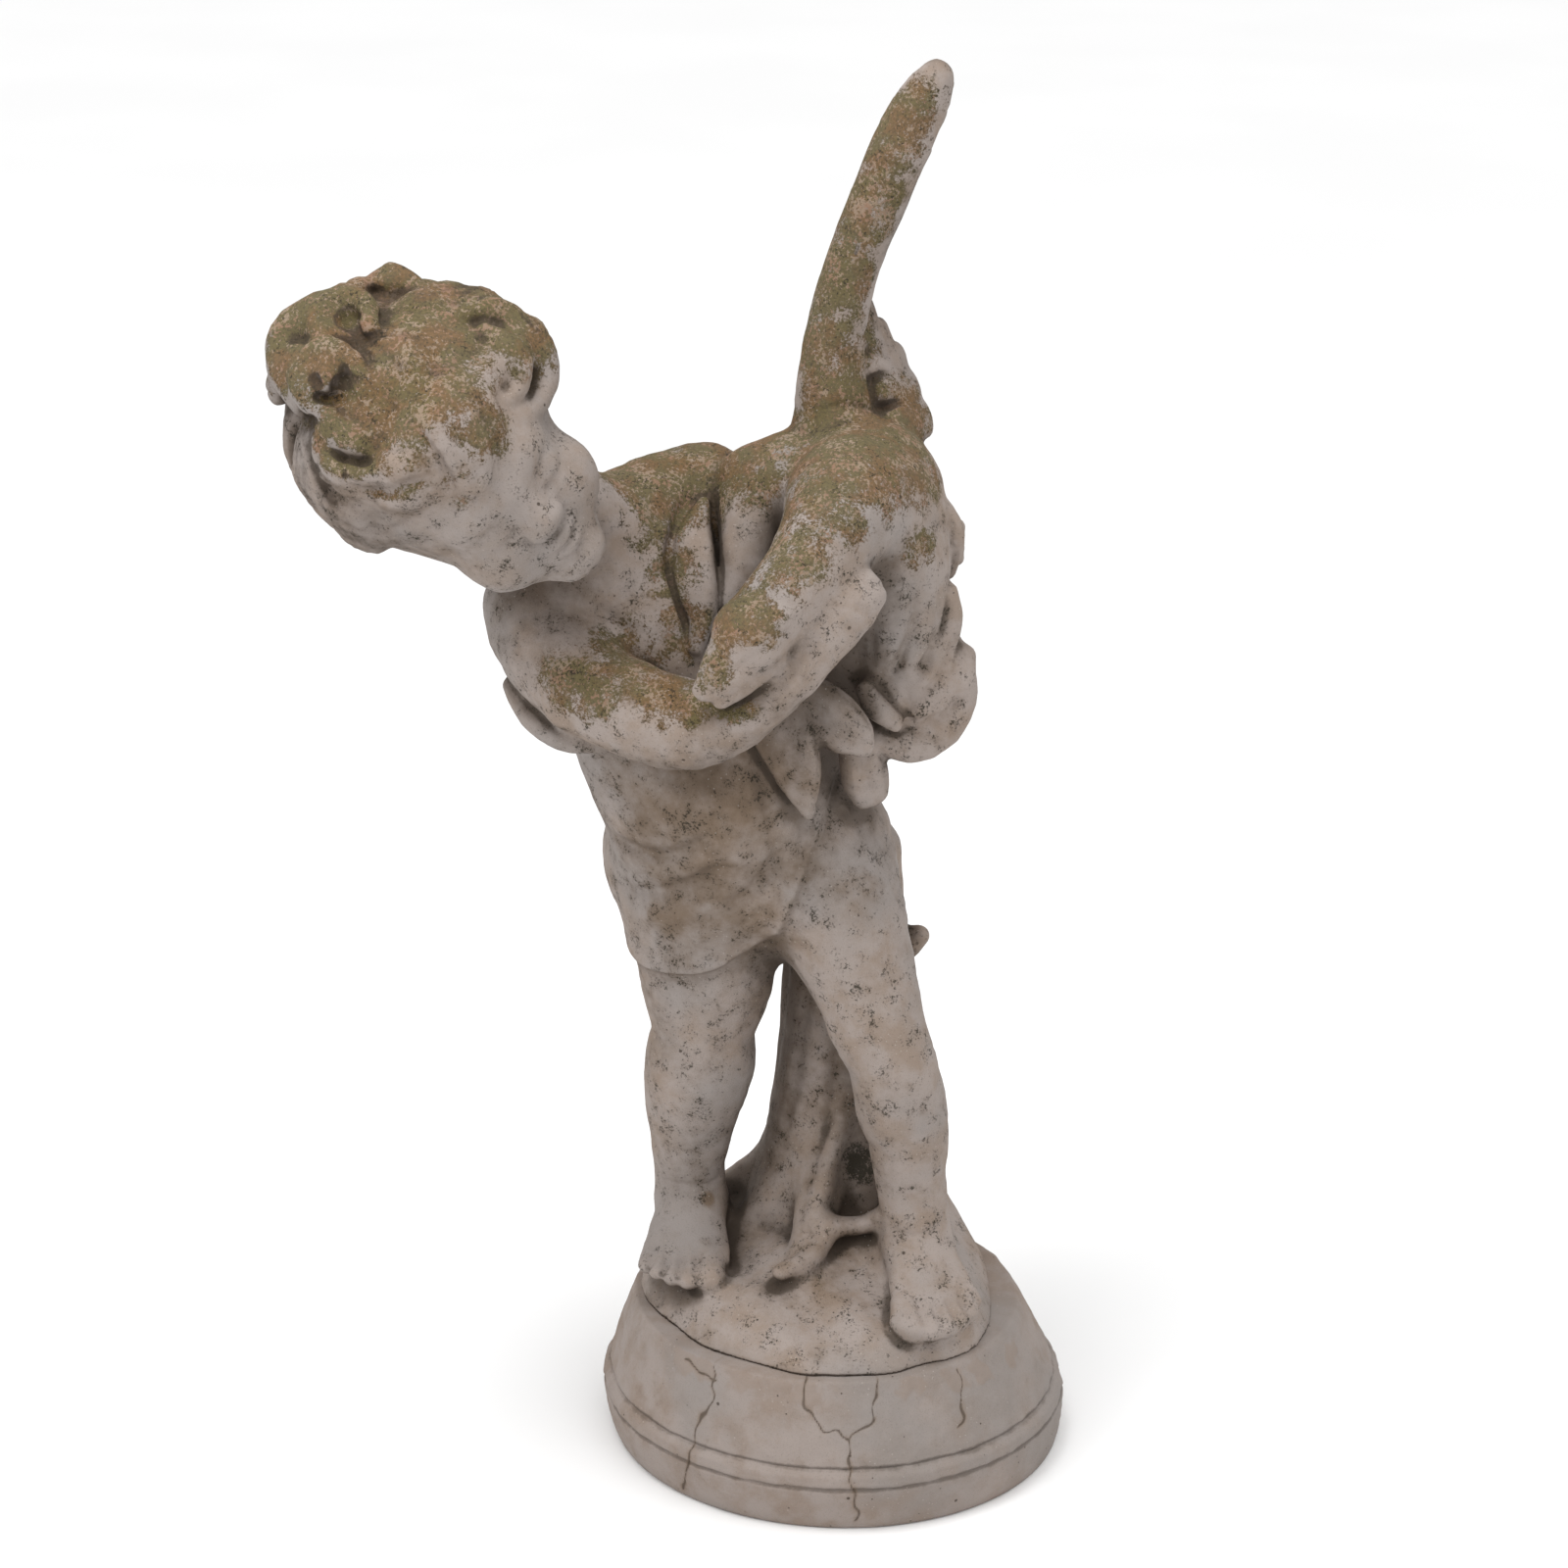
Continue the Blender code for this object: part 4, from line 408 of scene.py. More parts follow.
def skin(values: np.ndarray) -> tuple[np.ndarray, np.ndarray]:
    """The surface where a field is zero.

    Args:
        values: The field on its grid.

    Returns:
        The points, in grid steps, and the quads between them.
    """
    inside = values < 0
    size = np.array(values.shape) - 1
    corners = np.array(list(np.ndindex(2, 2, 2)))
    count = np.zeros(size, np.uint8)
    for i, j, k in corners:
        count += inside[i : i + size[0], j : j + size[1], k : k + size[2]]
    cells = np.argwhere((count > 0) & (count < 8))
    at_corner = np.stack([values[tuple((cells + c).T)] for c in corners], 1)
    total = np.zeros((len(cells), 3))
    hits = np.zeros(len(cells))
    for a in range(8):
        for b in range(a + 1, 8):
            if np.abs(corners[a] - corners[b]).sum() != 1:
                continue
            cross = (at_corner[:, a] < 0) != (at_corner[:, b] < 0)
            share = at_corner[cross, a] / (at_corner[cross, a] - at_corner[cross, b])
            total[cross] += corners[a] + share[:, None] * (corners[b] - corners[a])
            hits[cross] += 1
    points = cells + total / hits[:, None]
    number = np.full(size, -1, np.int32)
    number[tuple(cells.T)] = np.arange(len(cells))
    quads = []
    for axis in range(3):
        u, v = (axis + 1) % 3, (axis + 2) % 3
        lower = np.take(inside, range(values.shape[axis] - 1), axis)
        upper = np.take(inside, range(1, values.shape[axis]), axis)
        edges = np.argwhere(lower != upper)
        edges = edges[(edges[:, u] > 0) & (edges[:, v] > 0)]
        edges = edges[(edges[:, u] < size[u]) & (edges[:, v] < size[v])]
        du, dv = np.eye(3, dtype=int)[u], np.eye(3, dtype=int)[v]
        ring = [edges, edges - du, edges - du - dv, edges - dv]
        quad = np.stack([number[tuple(r.T)] for r in ring], 1)
        turned = upper[tuple(edges.T)]
        quad[turned] = quad[turned, ::-1]
        quads.append(quad)
    return points, np.concatenate(quads)


def largest(points: np.ndarray, quads: np.ndarray) -> tuple[np.ndarray, np.ndarray]:
    """The biggest joined surface alone.

    Args:
        points: Places of all vertices.
        quads: All faces.

    Returns:
        The points and the quads of that surface.
    """
    label = np.arange(len(points))
    a = quads.reshape(-1)
    b = np.roll(quads, 1, axis=1).reshape(-1)
    while True:
        low = np.minimum(label[a], label[b])
        after = label.copy()
        np.minimum.at(after, a, low)
        np.minimum.at(after, b, low)
        after = after[after]
        if (after == label).all():
            break
        label = after
    names, counts = np.unique(label, return_counts=True)
    keep = label == names[counts.argmax()]
    index = np.cumsum(keep) - 1
    return points[keep], index[quads[keep[quads[:, 0]]]]


def mesh_of(name: str, points: np.ndarray, faces: np.ndarray) -> bpy.types.Mesh:
    """A mesh from arrays of points and of faces with equal counts of corners."""
    mesh = bpy.data.meshes.new(name)
    mesh.vertices.add(len(points))
    mesh.vertices.foreach_set("co", np.asarray(points, np.float32).ravel())
    mesh.loops.add(faces.size)
    mesh.loops.foreach_set("vertex_index", faces.astype(np.int32).ravel())
    mesh.polygons.add(len(faces))
    mesh.polygons.foreach_set("loop_start", np.arange(0, faces.size, faces.shape[1], dtype=np.int32))
    mesh.update(calc_edges=True)
    mesh.validate()
    return mesh


def places_of(mesh: bpy.types.Mesh) -> np.ndarray:
    """The places of a mesh's vertices, one row each."""
    out = np.empty(len(mesh.vertices) * 3, np.float32)
    mesh.vertices.foreach_get("co", out)
    return out.reshape(-1, 3).astype(float)


def normals_of(mesh: bpy.types.Mesh) -> np.ndarray:
    """The directions out of a mesh at its vertices, one row each."""
    out = np.empty(len(mesh.vertices) * 3, np.float32)
    mesh.vertex_normals.foreach_get("vector", out)
    return out.reshape(-1, 3).astype(float)


def place_vertices(mesh: bpy.types.Mesh, places: np.ndarray) -> None:
    """Moves a mesh's vertices."""
    mesh.vertices.foreach_set("co", places.astype(np.float32).ravel())
    mesh.update()


def store(mesh: bpy.types.Mesh, name: str, values: np.ndarray) -> None:
    """Keeps one number for each vertex, for the material to read."""
    layer = mesh.attributes.new(name, "FLOAT", "POINT")
    layer.data.foreach_set("value", np.asarray(values, np.float32))


def deselect_all() -> None:
    """Leaves no object selected."""
    for thing in list(bpy.context.selected_objects):
        thing.select_set(False)


def make_active(thing: bpy.types.Object) -> None:
    """Selects one object alone and makes it active."""
    deselect_all()
    thing.select_set(True)
    bpy.context.view_layer.objects.active = thing


@dataclass
class Waves:
    """Lumps from a sum of waves in seeded directions, the same on each run."""

    seed: int
    length: float
    count: int = 24

    def at(self, places: np.ndarray) -> np.ndarray:
        """The lumps' height at places, about -1 to 1."""
        draw = np.random.default_rng(self.seed)
        ways = draw.normal(size=(self.count, 3))
        ways /= np.linalg.norm(ways, axis=1)[:, None]
        rates = 2 * math.pi / (self.length * draw.uniform(0.7, 1.5, self.count))
        starts = draw.uniform(0, 2 * math.pi, self.count)
        total = np.zeros(len(places))
        for way, rate, start in zip(ways, rates, starts):
            total += np.sin(places @ way * rate + start)
        return total / math.sqrt(self.count)


@dataclass
class Legs:
    """Both bare legs, and the feet with their toes."""

    right: Stations = (
        (-105, 14, 330, 58),
        (-103, 10, 285, 54),
        (-101, 6, 243, 48),
        (-103, 2, 205, 37),
        (-105, 3, 178, 40),
        (-109, 8, 150, 36.5),
        (-111, 11, 117, 30),
        (-112, 12, 92, 26),
        (-111, 12, 68, 26),
    )
    left: Stations = (
        (-26, 0, 345, 56),
        (-9, -20, 304, 48),
        (10, -38, 262, 38),
        (20, -48, 232, 34.5),
        (32, -52, 203, 31),
        (39, -46, 170, 32.5),
        (45, -42, 144, 29.5),
        (48, -42, 112, 26),
        (51, -44, 88, 24.5),
        (53, -46, 66, 25),
    )
    right_foot: Frame = field(default_factory=lambda: Frame((-110, 8, 40), (6, 0, -7)))
    left_foot: Frame = field(default_factory=lambda: Frame((53, -46, 38), (11, 0, 16)))
    toes: Stations = (
        (23, -66, 11.5, 9.5),
        (9, -70, 8, 7),
        (-3, -68, 7.5, 6.5),
        (-14, -63, 7, 6),
        (-24, -56, 6.5, 5.5),
    )
    creases: tuple[Stations, ...] = (
        ((-136, 4, 84), (-126, -12, 84), (-108, -17, 84), (-90, -6, 84), (-85, 10, 86)),
        ((34, -58, 78), (42, -70, 76), (54, -74, 76), (68, -66, 80), (78, -50, 82)),
        ((-132, -20, 196), (-116, -36, 192), (-98, -36, 192), (-80, -22, 198)),
        ((6, -76, 234), (22, -84, 228), (38, -82, 226), (52, -70, 230)),
    )

    def carve(self, clay: Clay) -> None:
        """Adds the legs and the feet."""
        clay.limb(self.right, 10)
        clay.limb(self.left, 16)
        self.foot(clay, self.right_foot, 1)
        self.foot(clay, self.left_foot, -1)

    def foot(self, clay: Clay, frame: Frame, side: int) -> None:
        """A foot from heel to toes along -y.

        Args:
            clay: The block of clay.
            frame: The ankle's place and turn.
            side: 1 where the big toe is on the +x side, else -1.
        """
        clay.frame = frame
        sole = ((0, 18, 10, 25, 22), (1, -8, 14, 26, 22), (2, -34, 6, 31, 14), (3, -50, 2, 33, 10))
        clay.limb(sole, 10, (1, 0, 0))
        clay.ball((0, 26, 6), (22, 18, 18), 10)
        for x, y, wide, high in self.toes:
            knuckle = (side * x * 0.9, y + 20, 4, wide, high)
            clay.limb((knuckle, (side * x, y, 2, wide, high)), 2.5, (1, 0, 0))
            clay.ball((side * x, y - 3, 1), (wide * 0.95, wide * 0.8, high), 1.5)
            nail = side * x
            clay.dent((nail, y - wide * 0.55, high * 0.9), wide * 0.42, 0.9)
        for one, two in zip(self.toes[:-1], self.toes[1:]):
            x = side * (one[0] - one[2] + two[0] + two[2]) / 2
            y = (one[1] + two[1]) / 2
            clay.stroke(((x * 0.92, y + 18, 10), (x, y + 5, 9), (x, y - 7, 3)), 2.8, 3.2)
        clay.frame = STATUE

    def crease(self, clay: Clay) -> None:
        """Presses in the creases at the ankles and the knees."""
        for way in self.creases[:2]:
            clay.stroke(way, 2.0, 2.0)
        for way in self.creases[2:]:
            clay.stroke(way, 5.0, 1.2)


@dataclass
class Trunk:
    """The hips, belly, chest and shoulders, leaning to the child's right, and the neck."""

    spine: Stations = (
        (-71, 10, 338, 91, 66),
        (-84, 6, 375, 86, 66),
        (-102, 0, 412, 82, 66),
        (-120, -3, 455, 80, 64),
        (-140, -4, 500, 80, 60),
        (-158, -2, 540, 74, 52),
    )
    shoulders: Stations = (
        (-212, -22, 522, 44, 42),
        (-186, -10, 556, 44, 42),
        (-152, 10, 580, 42, 40),
        (-118, 26, 589, 37, 36),
        (-88, 28, 580, 33, 33),
    )
    neck: Stations = ((-165, -8, 570, 36), (-195, -36, 598, 33), (-228, -66, 618, 34))
    lapel: Stations = (
        (-107, -12, 600, 4, 5),
        (-113, -27, 582, 12, 8),
        (-113, -37, 566, 15, 9),
        (-110, -45, 548, 14, 9),
        (-107, -52, 529, 9, 7),
        (-110, -58, 511, 5, 5),
    )
    arm_band: Stations = (
        (-76, 4, 616, 23, 20),
        (-76, -16, 592, 22, 20),
        (-79, -30, 566, 17, 17),
        (-88, -40, 540, 10, 11),
    )
    neckline: Stations = (
        (-116, -14, 606),
        (-123, -22, 593),
        (-129, -35, 578),
        (-130, -41, 564),
        (-126, -45, 549),
        (-120, -50, 535),
        (-116, -57, 515),
    )
    lapel_side: Stations = ((-100, -4, 604), (-97, -11, 581), (-90, -13, 565), (-85, -17, 548))

    def carve(self, clay: Clay) -> None:
        """Adds the trunk, its shoulders and the neck."""
        clay.limb(self.spine, 16, ((1, 0.1, 0.1), (0.75, 0.42, 0.5)))
        clay.ball((-92, -34, 400), (58, 44, 52), 20)
        clay.ball((-46, 10, 288), (28, 36, 30), 16)
        clay.ball((-44, 42, 335), (56, 50, 52), 20)
        clay.ball((-115, 42, 325), (58, 48, 52), 20)
        clay.limb(self.shoulders, 18, (0.2, -0.5, 0.8))
        clay.limb(self.neck, 16)
        clay.limb(self.arm_band, 10, (0.9, -0.3, 0.3))

    def crease(self, clay: Clay) -> None:
        """Adds the fold at the neck's edge and the soft lines of the back and the chest."""
        clay.stroke(self.neckline, 4.0, 5.0)
        clay.limb(self.lapel, 2, (0.9, -0.2, 0.4), square=2.8)
        clay.stroke(self.lapel_side, 2.6, 3.4)
        clay.stroke([(x - 9, y + 4, z + 2) for x, y, z in self.neckline[1:]], 5.0, -2.0)
        clay.stroke(((-180, -60, 540), (-160, -66, 528), (-140, -68, 520)), 5, 1.6)
        clay.stroke(((-150, 54, 560), (-132, 64, 510), (-112, 70, 450), (-98, 70, 420)), 9, 2.5)


@dataclass
class Wrap:
    """The cloth wrapped round the hips, with its folds, its hem and the knot at the left hip."""

    thickness: float = 4.5
    hem_x: Point = (-200, -95, -50, -14, 40)
    hem_z: Point = (256, 268, 300, 405, 452)
    hem_slope: Point = (0.1, 0.4, 1.2, 2.2, 1.0)
    hem_roll: Stations = (
        (-152, 2, 261),
        (-140, -38, 262),
        (-112, -56, 266),
        (-86, -52, 276),
        (-60, -44, 293),
        (-38, -46, 335),
        (-26, -50, 372),
    )
    hem_line: Stations = (
        (-153, -20, 275),
        (-131, -41, 279),
        (-101, -51, 288),
        (-77, -54, 306),
        (-52, -62, 329),
        (-36, -60, 357),
    )
    folds: tuple[tuple[Stations, float, float], ...] = (
        (((-172, -16, 366), (-152, -46, 359), (-131, -61, 361), (-113, -72, 370), (-94, -81, 390)), 5.0, 4.6),
        (((-170, -20, 350), (-146, -48, 344), (-122, -66, 346), (-100, -74, 358)), 8.0, -3.0),
        (((-164, -16, 322), (-139, -48, 326), (-121, -55, 333), (-105, -62, 345), (-90, -67, 360)), 4.5, 3.6),
        (((-160, -20, 306), (-134, -46, 308), (-108, -58, 318), (-84, -62, 336)), 8.0, -2.4),
        (((-90, -60, 318), (-70, -62, 334), (-58, -63, 349), (-52, -67, 368)), 5.0, 3.8),
        (((-112, -81, 418), (-98, -80, 398), (-84, -78, 372), (-74, -70, 350)), 9.0, -2.6),
        (((-128, -72, 430), (-112, -80, 410), (-100, -80, 392)), 7.0, 2.0),
        (((-68, -76, 440), (-62, -74, 412), (-58, -70, 388), (-56, -66, 366)), 5.0, 2.6),
        (((-172, -18, 420), (-150, -48, 404), (-124, -68, 396)), 8.0, 1.8),
    )
    back_folds: tuple[tuple[Stations, float, float], ...] = (
        (((-176, 30, 400), (-140, 84, 372), (-90, 96, 352), (-40, 92, 348)), 8.0, 3.0),
        (((-178, 20, 360), (-146, 78, 330), (-100, 94, 310), (-50, 92, 310)), 9.0, -3.2),
        (((-170, 30, 330), (-140, 80, 298), (-100, 94, 280), (-56, 90, 282)), 7.0, 2.8),
        (((-70, 96, 420), (-72, 100, 370), (-78, 98, 320)), 9.0, 2.4),
        (((8, 60, 440), (-4, 74, 400), (-20, 86, 350)), 8.0, 2.6),
    )
    long_tail: Stations = (
        (-57, -68, 476, 25, 7),
        (-47, -76, 452, 23, 6.5),
        (-39, -79, 428, 17, 6),
        (-34, -78, 408, 8, 5),
        (-31, -76, 397, 3, 3.5),
    )
    short_tail: Stations = (
        (-48, -68, 488, 17, 7),
        (-26, -76, 474, 23, 6.5),
        (-8, -80, 462, 20, 6),
        (2, -80, 452, 12, 5),
        (5, -80, 446, 5, 4),
    )

    def hem(self, x: np.ndarray, y: np.ndarray, z: np.ndarray) -> np.ndarray:
        """How far a point is below the lower edge, which rises to the left hip."""
        rise = np.interp(x, self.hem_x, self.hem_z)
        slope = np.interp(x, self.hem_x, self.hem_slope)
        return (rise - z) / np.sqrt(1 + slope**2) + 0 * y

    def top(self, x: np.ndarray, y: np.ndarray, z: np.ndarray) -> np.ndarray:
        """How far a point is above the upper edge, which dips at the back."""
        return (z - 468 + 0.25 * (x + 120) + 0.12 * (y + 20)) / 1.04

    def carve(self, clay: Clay) -> None:
        """Adds the cloth, its folds and the knot's tails."""
        clay.layer((-215, -120, 230), (70, 130, 520), self.thickness, (self.hem, self.top))
        clay.stroke(self.hem_roll, 4, -2.5)
        clay.stroke(self.hem_line, 2.2, 1.6)
        for way, width, depth in self.folds + self.back_folds:
            clay.stroke(way, width, depth)
        clay.limb(self.long_tail, 2, (0.9, -0.3, 0.3), square=3.4)
        clay.limb(self.short_tail, 2, (0.3, -0.2, 0.9), square=3.4)
        clay.stroke(((-52, -84, 462), (-44, -86, 440), (-37, -84, 418)), 7, 2.2)
        clay.stroke(((-34, -84, 474), (-18, -87, 466), (-4, -87, 456)), 6, 2.0)
        clay.stroke(((-40, -80, 480), (-34, -84, 462), (-24, -86, 446)), 2.2, 2.6)


@dataclass
class Arms:
    """The right arm across the body with its hand on the goose, and the left arm round behind it."""

    right_upper: Stations = ((-212, -12, 526, 45), (-206, -45, 506, 40), (-186, -74, 488, 33))
    forearm: Stations = (
        (-180, -80, 487, 33),
        (-152, -98, 480, 32.5),
        (-118, -110, 474, 31),
        (-88, -119, 483, 26),
        (-62, -125, 502, 21),
        (-44, -127, 520, 18.5),
    )
    hand: Stations = (
        (-46, -127, 518, 19, 16),
        (-26, -126, 542, 20, 13),
        (-8, -121, 562, 20, 11),
        (5, -112, 574, 15, 9),
    )
    knuckles: tuple[Stations, ...] = (
        ((4, -122, 582), (9, -118, 577), (13, -110, 572)),
        ((-4, -130, 568), (4, -128, 561), (10, -120, 556)),
        ((-12, -134, 556), (-4, -132, 549), (4, -126, 544)),
    )
    left_upper: Stations = ((-108, 34, 592, 36), (-88, 26, 574, 33), (-66, 14, 546, 29), (-44, 24, 518, 27))
    left_fore: Stations = ((-42, 24, 518, 27), (-12, 62, 514, 25), (24, 84, 528, 21), (52, 66, 548, 18))
    left_hand: Stations = ((50, 68, 546, 19, 13), (62, 46, 558, 19, 11), (64, 30, 566, 15, 9))
    sleeve_arc: Stations = (
        (-200, -96, 470),
        (-199, -106, 488),
        (-190, -110, 502),
        (-176, -109, 511),
        (-160, -110, 510),
    )
    flap: Stations = (
        (-236, -36, 474, 7, 9),
        (-222, -62, 460, 9, 9),
        (-200, -78, 451, 9, 8),
        (-172, -86, 449, 6, 6),
    )

    def carve(self, clay: Clay) -> None:
        """Adds both arms, their hands and the cloth under the right elbow."""
        clay.limb(self.right_upper, 12)
        clay.limb(self.forearm, 8)
        clay.limb(self.hand, 6, (0.75, 0.1, -0.6))
        clay.limb(self.left_upper, 12)
        clay.limb(self.left_fore, 8)
        clay.limb(self.left_hand, 6, (0.2, 0.3, 0.9))
        for lift in (-11, -4, 4, 11):
            finger = ((62, 38, 563 + lift, 5), (68, 22, 566 + lift, 5), (68, 6, 569 + lift, 4.5))
            clay.limb(finger, 2)
        clay.limb(self.flap, 4, (0.1, 0.1, 1))

    def crease(self, clay: Clay) -> None:
        """Presses in the sleeve's edge and the knuckles."""
        clay.stroke(self.sleeve_arc, 3.0, 2.4)
        clay.stroke([(x - 5, y, z - 4) for x, y, z in self.sleeve_arc], 3.5, -1.8)
        for way in self.knuckles:
            clay.stroke(way, 2.4, 2.4)
        clay.stroke(((-206, -70, 470), (-194, -90, 462), (-176, -98, 456)), 3.0, 2.5)


@dataclass
class Goose:
    """The goose held at the left hip: its body, the neck bent over the arm, the open bill and both wings."""

    neck: Stations = (
        (2, -8, 606, 52),
        (-8, -48, 612, 44),
        (-20, -84, 603, 35),
        (-36, -110, 587, 28),
        (-54, -126, 568, 25.5),
        (-70, -136, 550, 25),
    )
    upper_bill: Stations = ((-76, -145, 543, 22, 14), (-90, -152, 527, 17, 9), (-104, -155, 512, 8, 5))
    lower_bill: Stations = ((-62, -141, 536, 17, 9), (-78, -148, 519, 11, 6.5), (-93, -152, 505, 6, 4.5))
    leading_edge: Stations = (
        (-19, 22, 640, 30),
        (-22, 26, 684, 23),
        (-18, 28, 722, 20),
        (-9, 30, 760, 19),
        (5, 30, 798, 19.5),
        (20, 30, 838, 20),
        (34, 30, 869, 18),
        (43, 30, 886, 13),
    )
    feather_tops: Stations = ((878, 52), (856, 72), (826, 90), (790, 104), (752, 116), (712, 124), (676, 128))
    scallops: Stations = ((45, 52, 648), (36, 60, 668), (27, 64, 686), (15, 62, 704), (4, 56, 722))
    hanging: Stations = (
        (18, -14, 560, 38, 30),
        (22, -20, 520, 39, 30),
        (32, -24, 484, 41, 29),
        (38, -24, 460, 34, 25),
    )
    rim: Stations = (
        (46, -14, 528, 10),
        (60, -20, 504, 12),
        (70, -26, 474, 14),
        (59, -32, 448, 15),
        (37, -38, 439, 14.5),
        (15, -42, 446, 12),
    )
    lobes: tuple[Stations, ...] = (
        ((22, -52, 566, 10, 7), (26, -58, 540, 12, 8), (20, -54, 512, 12, 8), (14, -50, 492, 7, 5)),
        ((42, -44, 566, 9, 6), (46, -48, 540, 12, 7), (40, -50, 516, 11, 7), (34, -50, 496, 6, 4)),
        ((60, -30, 548, 8, 6), (62, -34, 524, 10, 7), (54, -42, 502, 9, 6), (46, -46, 486, 5, 4)),
        ((74, -26, 500, 8, 6), (70, -34, 484, 10, 7), (56, -44, 470, 9, 6), (42, -50, 462, 5, 4)),
        ((4, -58, 484, 7, 5), (14, -60, 470, 9, 6), (28, -56, 458, 6, 5)),
    )
    lumps: tuple[Point, ...] = (
        (50, -47, 512),
        (62, -43, 497),
        (75, -38, 481),
        (57, -47, 484),
        (44, -51, 470),
    )
    wrinkles: tuple[Stations, ...] = (
        ((33, -64, 562), (36, -62, 538), (31, -58, 514), (25, -54, 494)),
        ((53, -50, 552), (54, -50, 528), (47, -50, 506), (40, -50, 488)),
        ((66, -38, 520), (62, -44, 502), (52, -48, 486), (42, -52, 474)),
        ((78, -34, 484), (62, -44, 466), (42, -52, 458), (20, -56, 458), (4, -60, 468)),
        ((12, -62, 540), (10, -60, 516), (8, -58, 496)),
    )
    crack: Stations = ((54, -47, 582), (45, -59, 575), (39, -65, 565), (30, -72, 558), (14, -96, 552))

    def carve(self, clay: Clay) -> None:
        """Adds the body, the neck and head, and the wings."""
        clay.ball((2, 22, 590), (56, 92, 64), 12, (0, 0, 8))
        clay.ball((16, -20, 560), (46, 52, 60), 14)
        clay.ball((16, 6, 520), (38, 52, 50), 14)
        clay.ball((-6, -6, 505), (34, 44, 44), 14)
        clay.ball((-48, 4, 614), (30, 40, 32), 16)
        clay.limb(((0, 96, 600, 40, 34), (6, 128, 612, 26, 18), (10, 148, 622, 15, 9)), 12, (1, 0, 0.2))
        clay.limb(self.neck, 10)
        clay.ball((-73, -140, 547), (25, 24, 24), 6)
        clay.limb(self.upper_bill, 4, (-0.75, 0.1, 0.6))
        clay.limb(self.lower_bill, 3, (-0.75, 0.1, 0.6))
        clay.ball((-53, -152, 565), (8, 7, 7), 5)
        self.raised_wing(clay)
        self.hanging_wing(clay)

    def raised_wing(self, clay: Clay) -> None:
        """The wing held straight up: a round leading edge, and long feathers behind it that end in steps."""
        clay.limb(self.leading_edge, 10)
        for top, back in self.feather_tops:
            foot = 632.0
            rows = []
            for i in range(5):
                t = i / 4
                z = foot + (top - foot) * t
                lean = np.interp(z, [632, 690, 735, 785, 830, 880], [-10, -14, -8, 8, 26, 44])
                y = 26 + (back - 26) * (0.62 + 0.38 * t)
                curl = np.interp(z, [640, 735, 800, 880], [-0.06, 0.02, 0.20, 0.32])
                rows.append((lean + curl * (y - 30), y, z, 15 - 6 * t**3, 9 - 3.5 * t))
            clay.limb(rows, 4, (0.28, 0.95, 0), square=2.4)
        for x, y, z in self.scallops:
            plume = ((x - 24, y - 30, z + 2, 10, 8), (x - 14, y - 14, z, 15, 9), (x - 4, y, z - 4, 15, 8))
            clay.limb(plume, 4, (-0.35, 0.2, 0.9), square=2.4)
        clay.limb(((8, 40, 636, 40, 18), (4, 44, 664, 31, 15), (-4, 46, 690, 20, 10)), 6, (0.75, 0.6, -0.1))

    def hanging_wing(self, clay: Clay) -> None:
        """The other wing, hanging at the child's left, with lobes of feathers and a thick lower rim."""
        clay.limb(self.hanging, 10, (1, 0.1, -0.1))
        for way in self.lobes:
            clay.limb(way, 7, (1, 0.4, 0))
        clay.limb(self.rim, 7)
        lobe = ((2, -46, 440, 14, 10), (7, -43, 416, 17, 10), (11, -40, 400, 13, 8))
        clay.limb(lobe, 4, (1, 0.3, 0.1), square=2.6)
        clay.limb(((56, 0, 594, 9), (65, -6, 576, 8), (60, -4, 552, 7)), 4)

    def crease(self, clay: Clay) -> None:
        """Presses in the feathers' edges, the bill's line, the eye and the cracks."""
        for way in self.wrinkles:
            clay.stroke(way, 2.8, 3.9)
        for place in self.lumps:
            clay.dent(place, 5.5, -2.8)
        for place in ((47, -50, 500), (68, -40, 470), (36, -54, 478)):
            clay.dent(place, 5, 2.6)
        clay.stroke(((4, -56, 438), (8, -54, 420), (14, -50, 406)), 2.6, 2.4)
        clay.stroke(((14, -50, 440), (20, -46, 424), (20, -42, 408)), 2.2, 2.0)
        for low, high in zip(self.scallops[:-1], self.scallops[1:]):
            x, y, z = [(a + b) / 2 for a, b in zip(low, high)]
            clay.stroke(((x - 30, y - 36, z + 2), (x - 16, y - 26, z), (x - 2, y - 14, z - 4)), 2.2, 1.8)
        clay.stroke(((-56, -160, 553), (-70, -163, 541), (-86, -161, 527), (-99, -158, 517)), 1.8, 2.2)
        clay.stroke(((-60, -162, 570), (-53, -164, 574), (-46, -160, 570), (-46, -160, 561)), 2.0, 1.6)
        clay.dent((-94, -160, 534), 3, 1.2)
        clay.stroke(self.crack, 1.6, 1.6)
        clay.stroke(((-29, -1, 665), (-14, -2, 668), (5, 10, 664), (14, 20, 662)), 1.8, 3.2)
        clay.dent((-12, 6, 736), 7, -1.4)
        clay.dent((-14, 4, 716), 7, -1.4)
        clay.stroke(((30, -50, 600), (52, -30, 590), (60, 0, 588)), 4, 1.8)
        clay.stroke(((54, -40, 560), (60, -20, 548), (62, 6, 540)), 4, 2.4)
        for k in range(5):
            y = 20 + 24 * k
            fold = ((48, y, 640 - 3 * k), (58, y + 12, 612 - 3 * k), (56, y + 16, 584 - 3 * k))
            clay.stroke(fold, 3.5, 1.8)


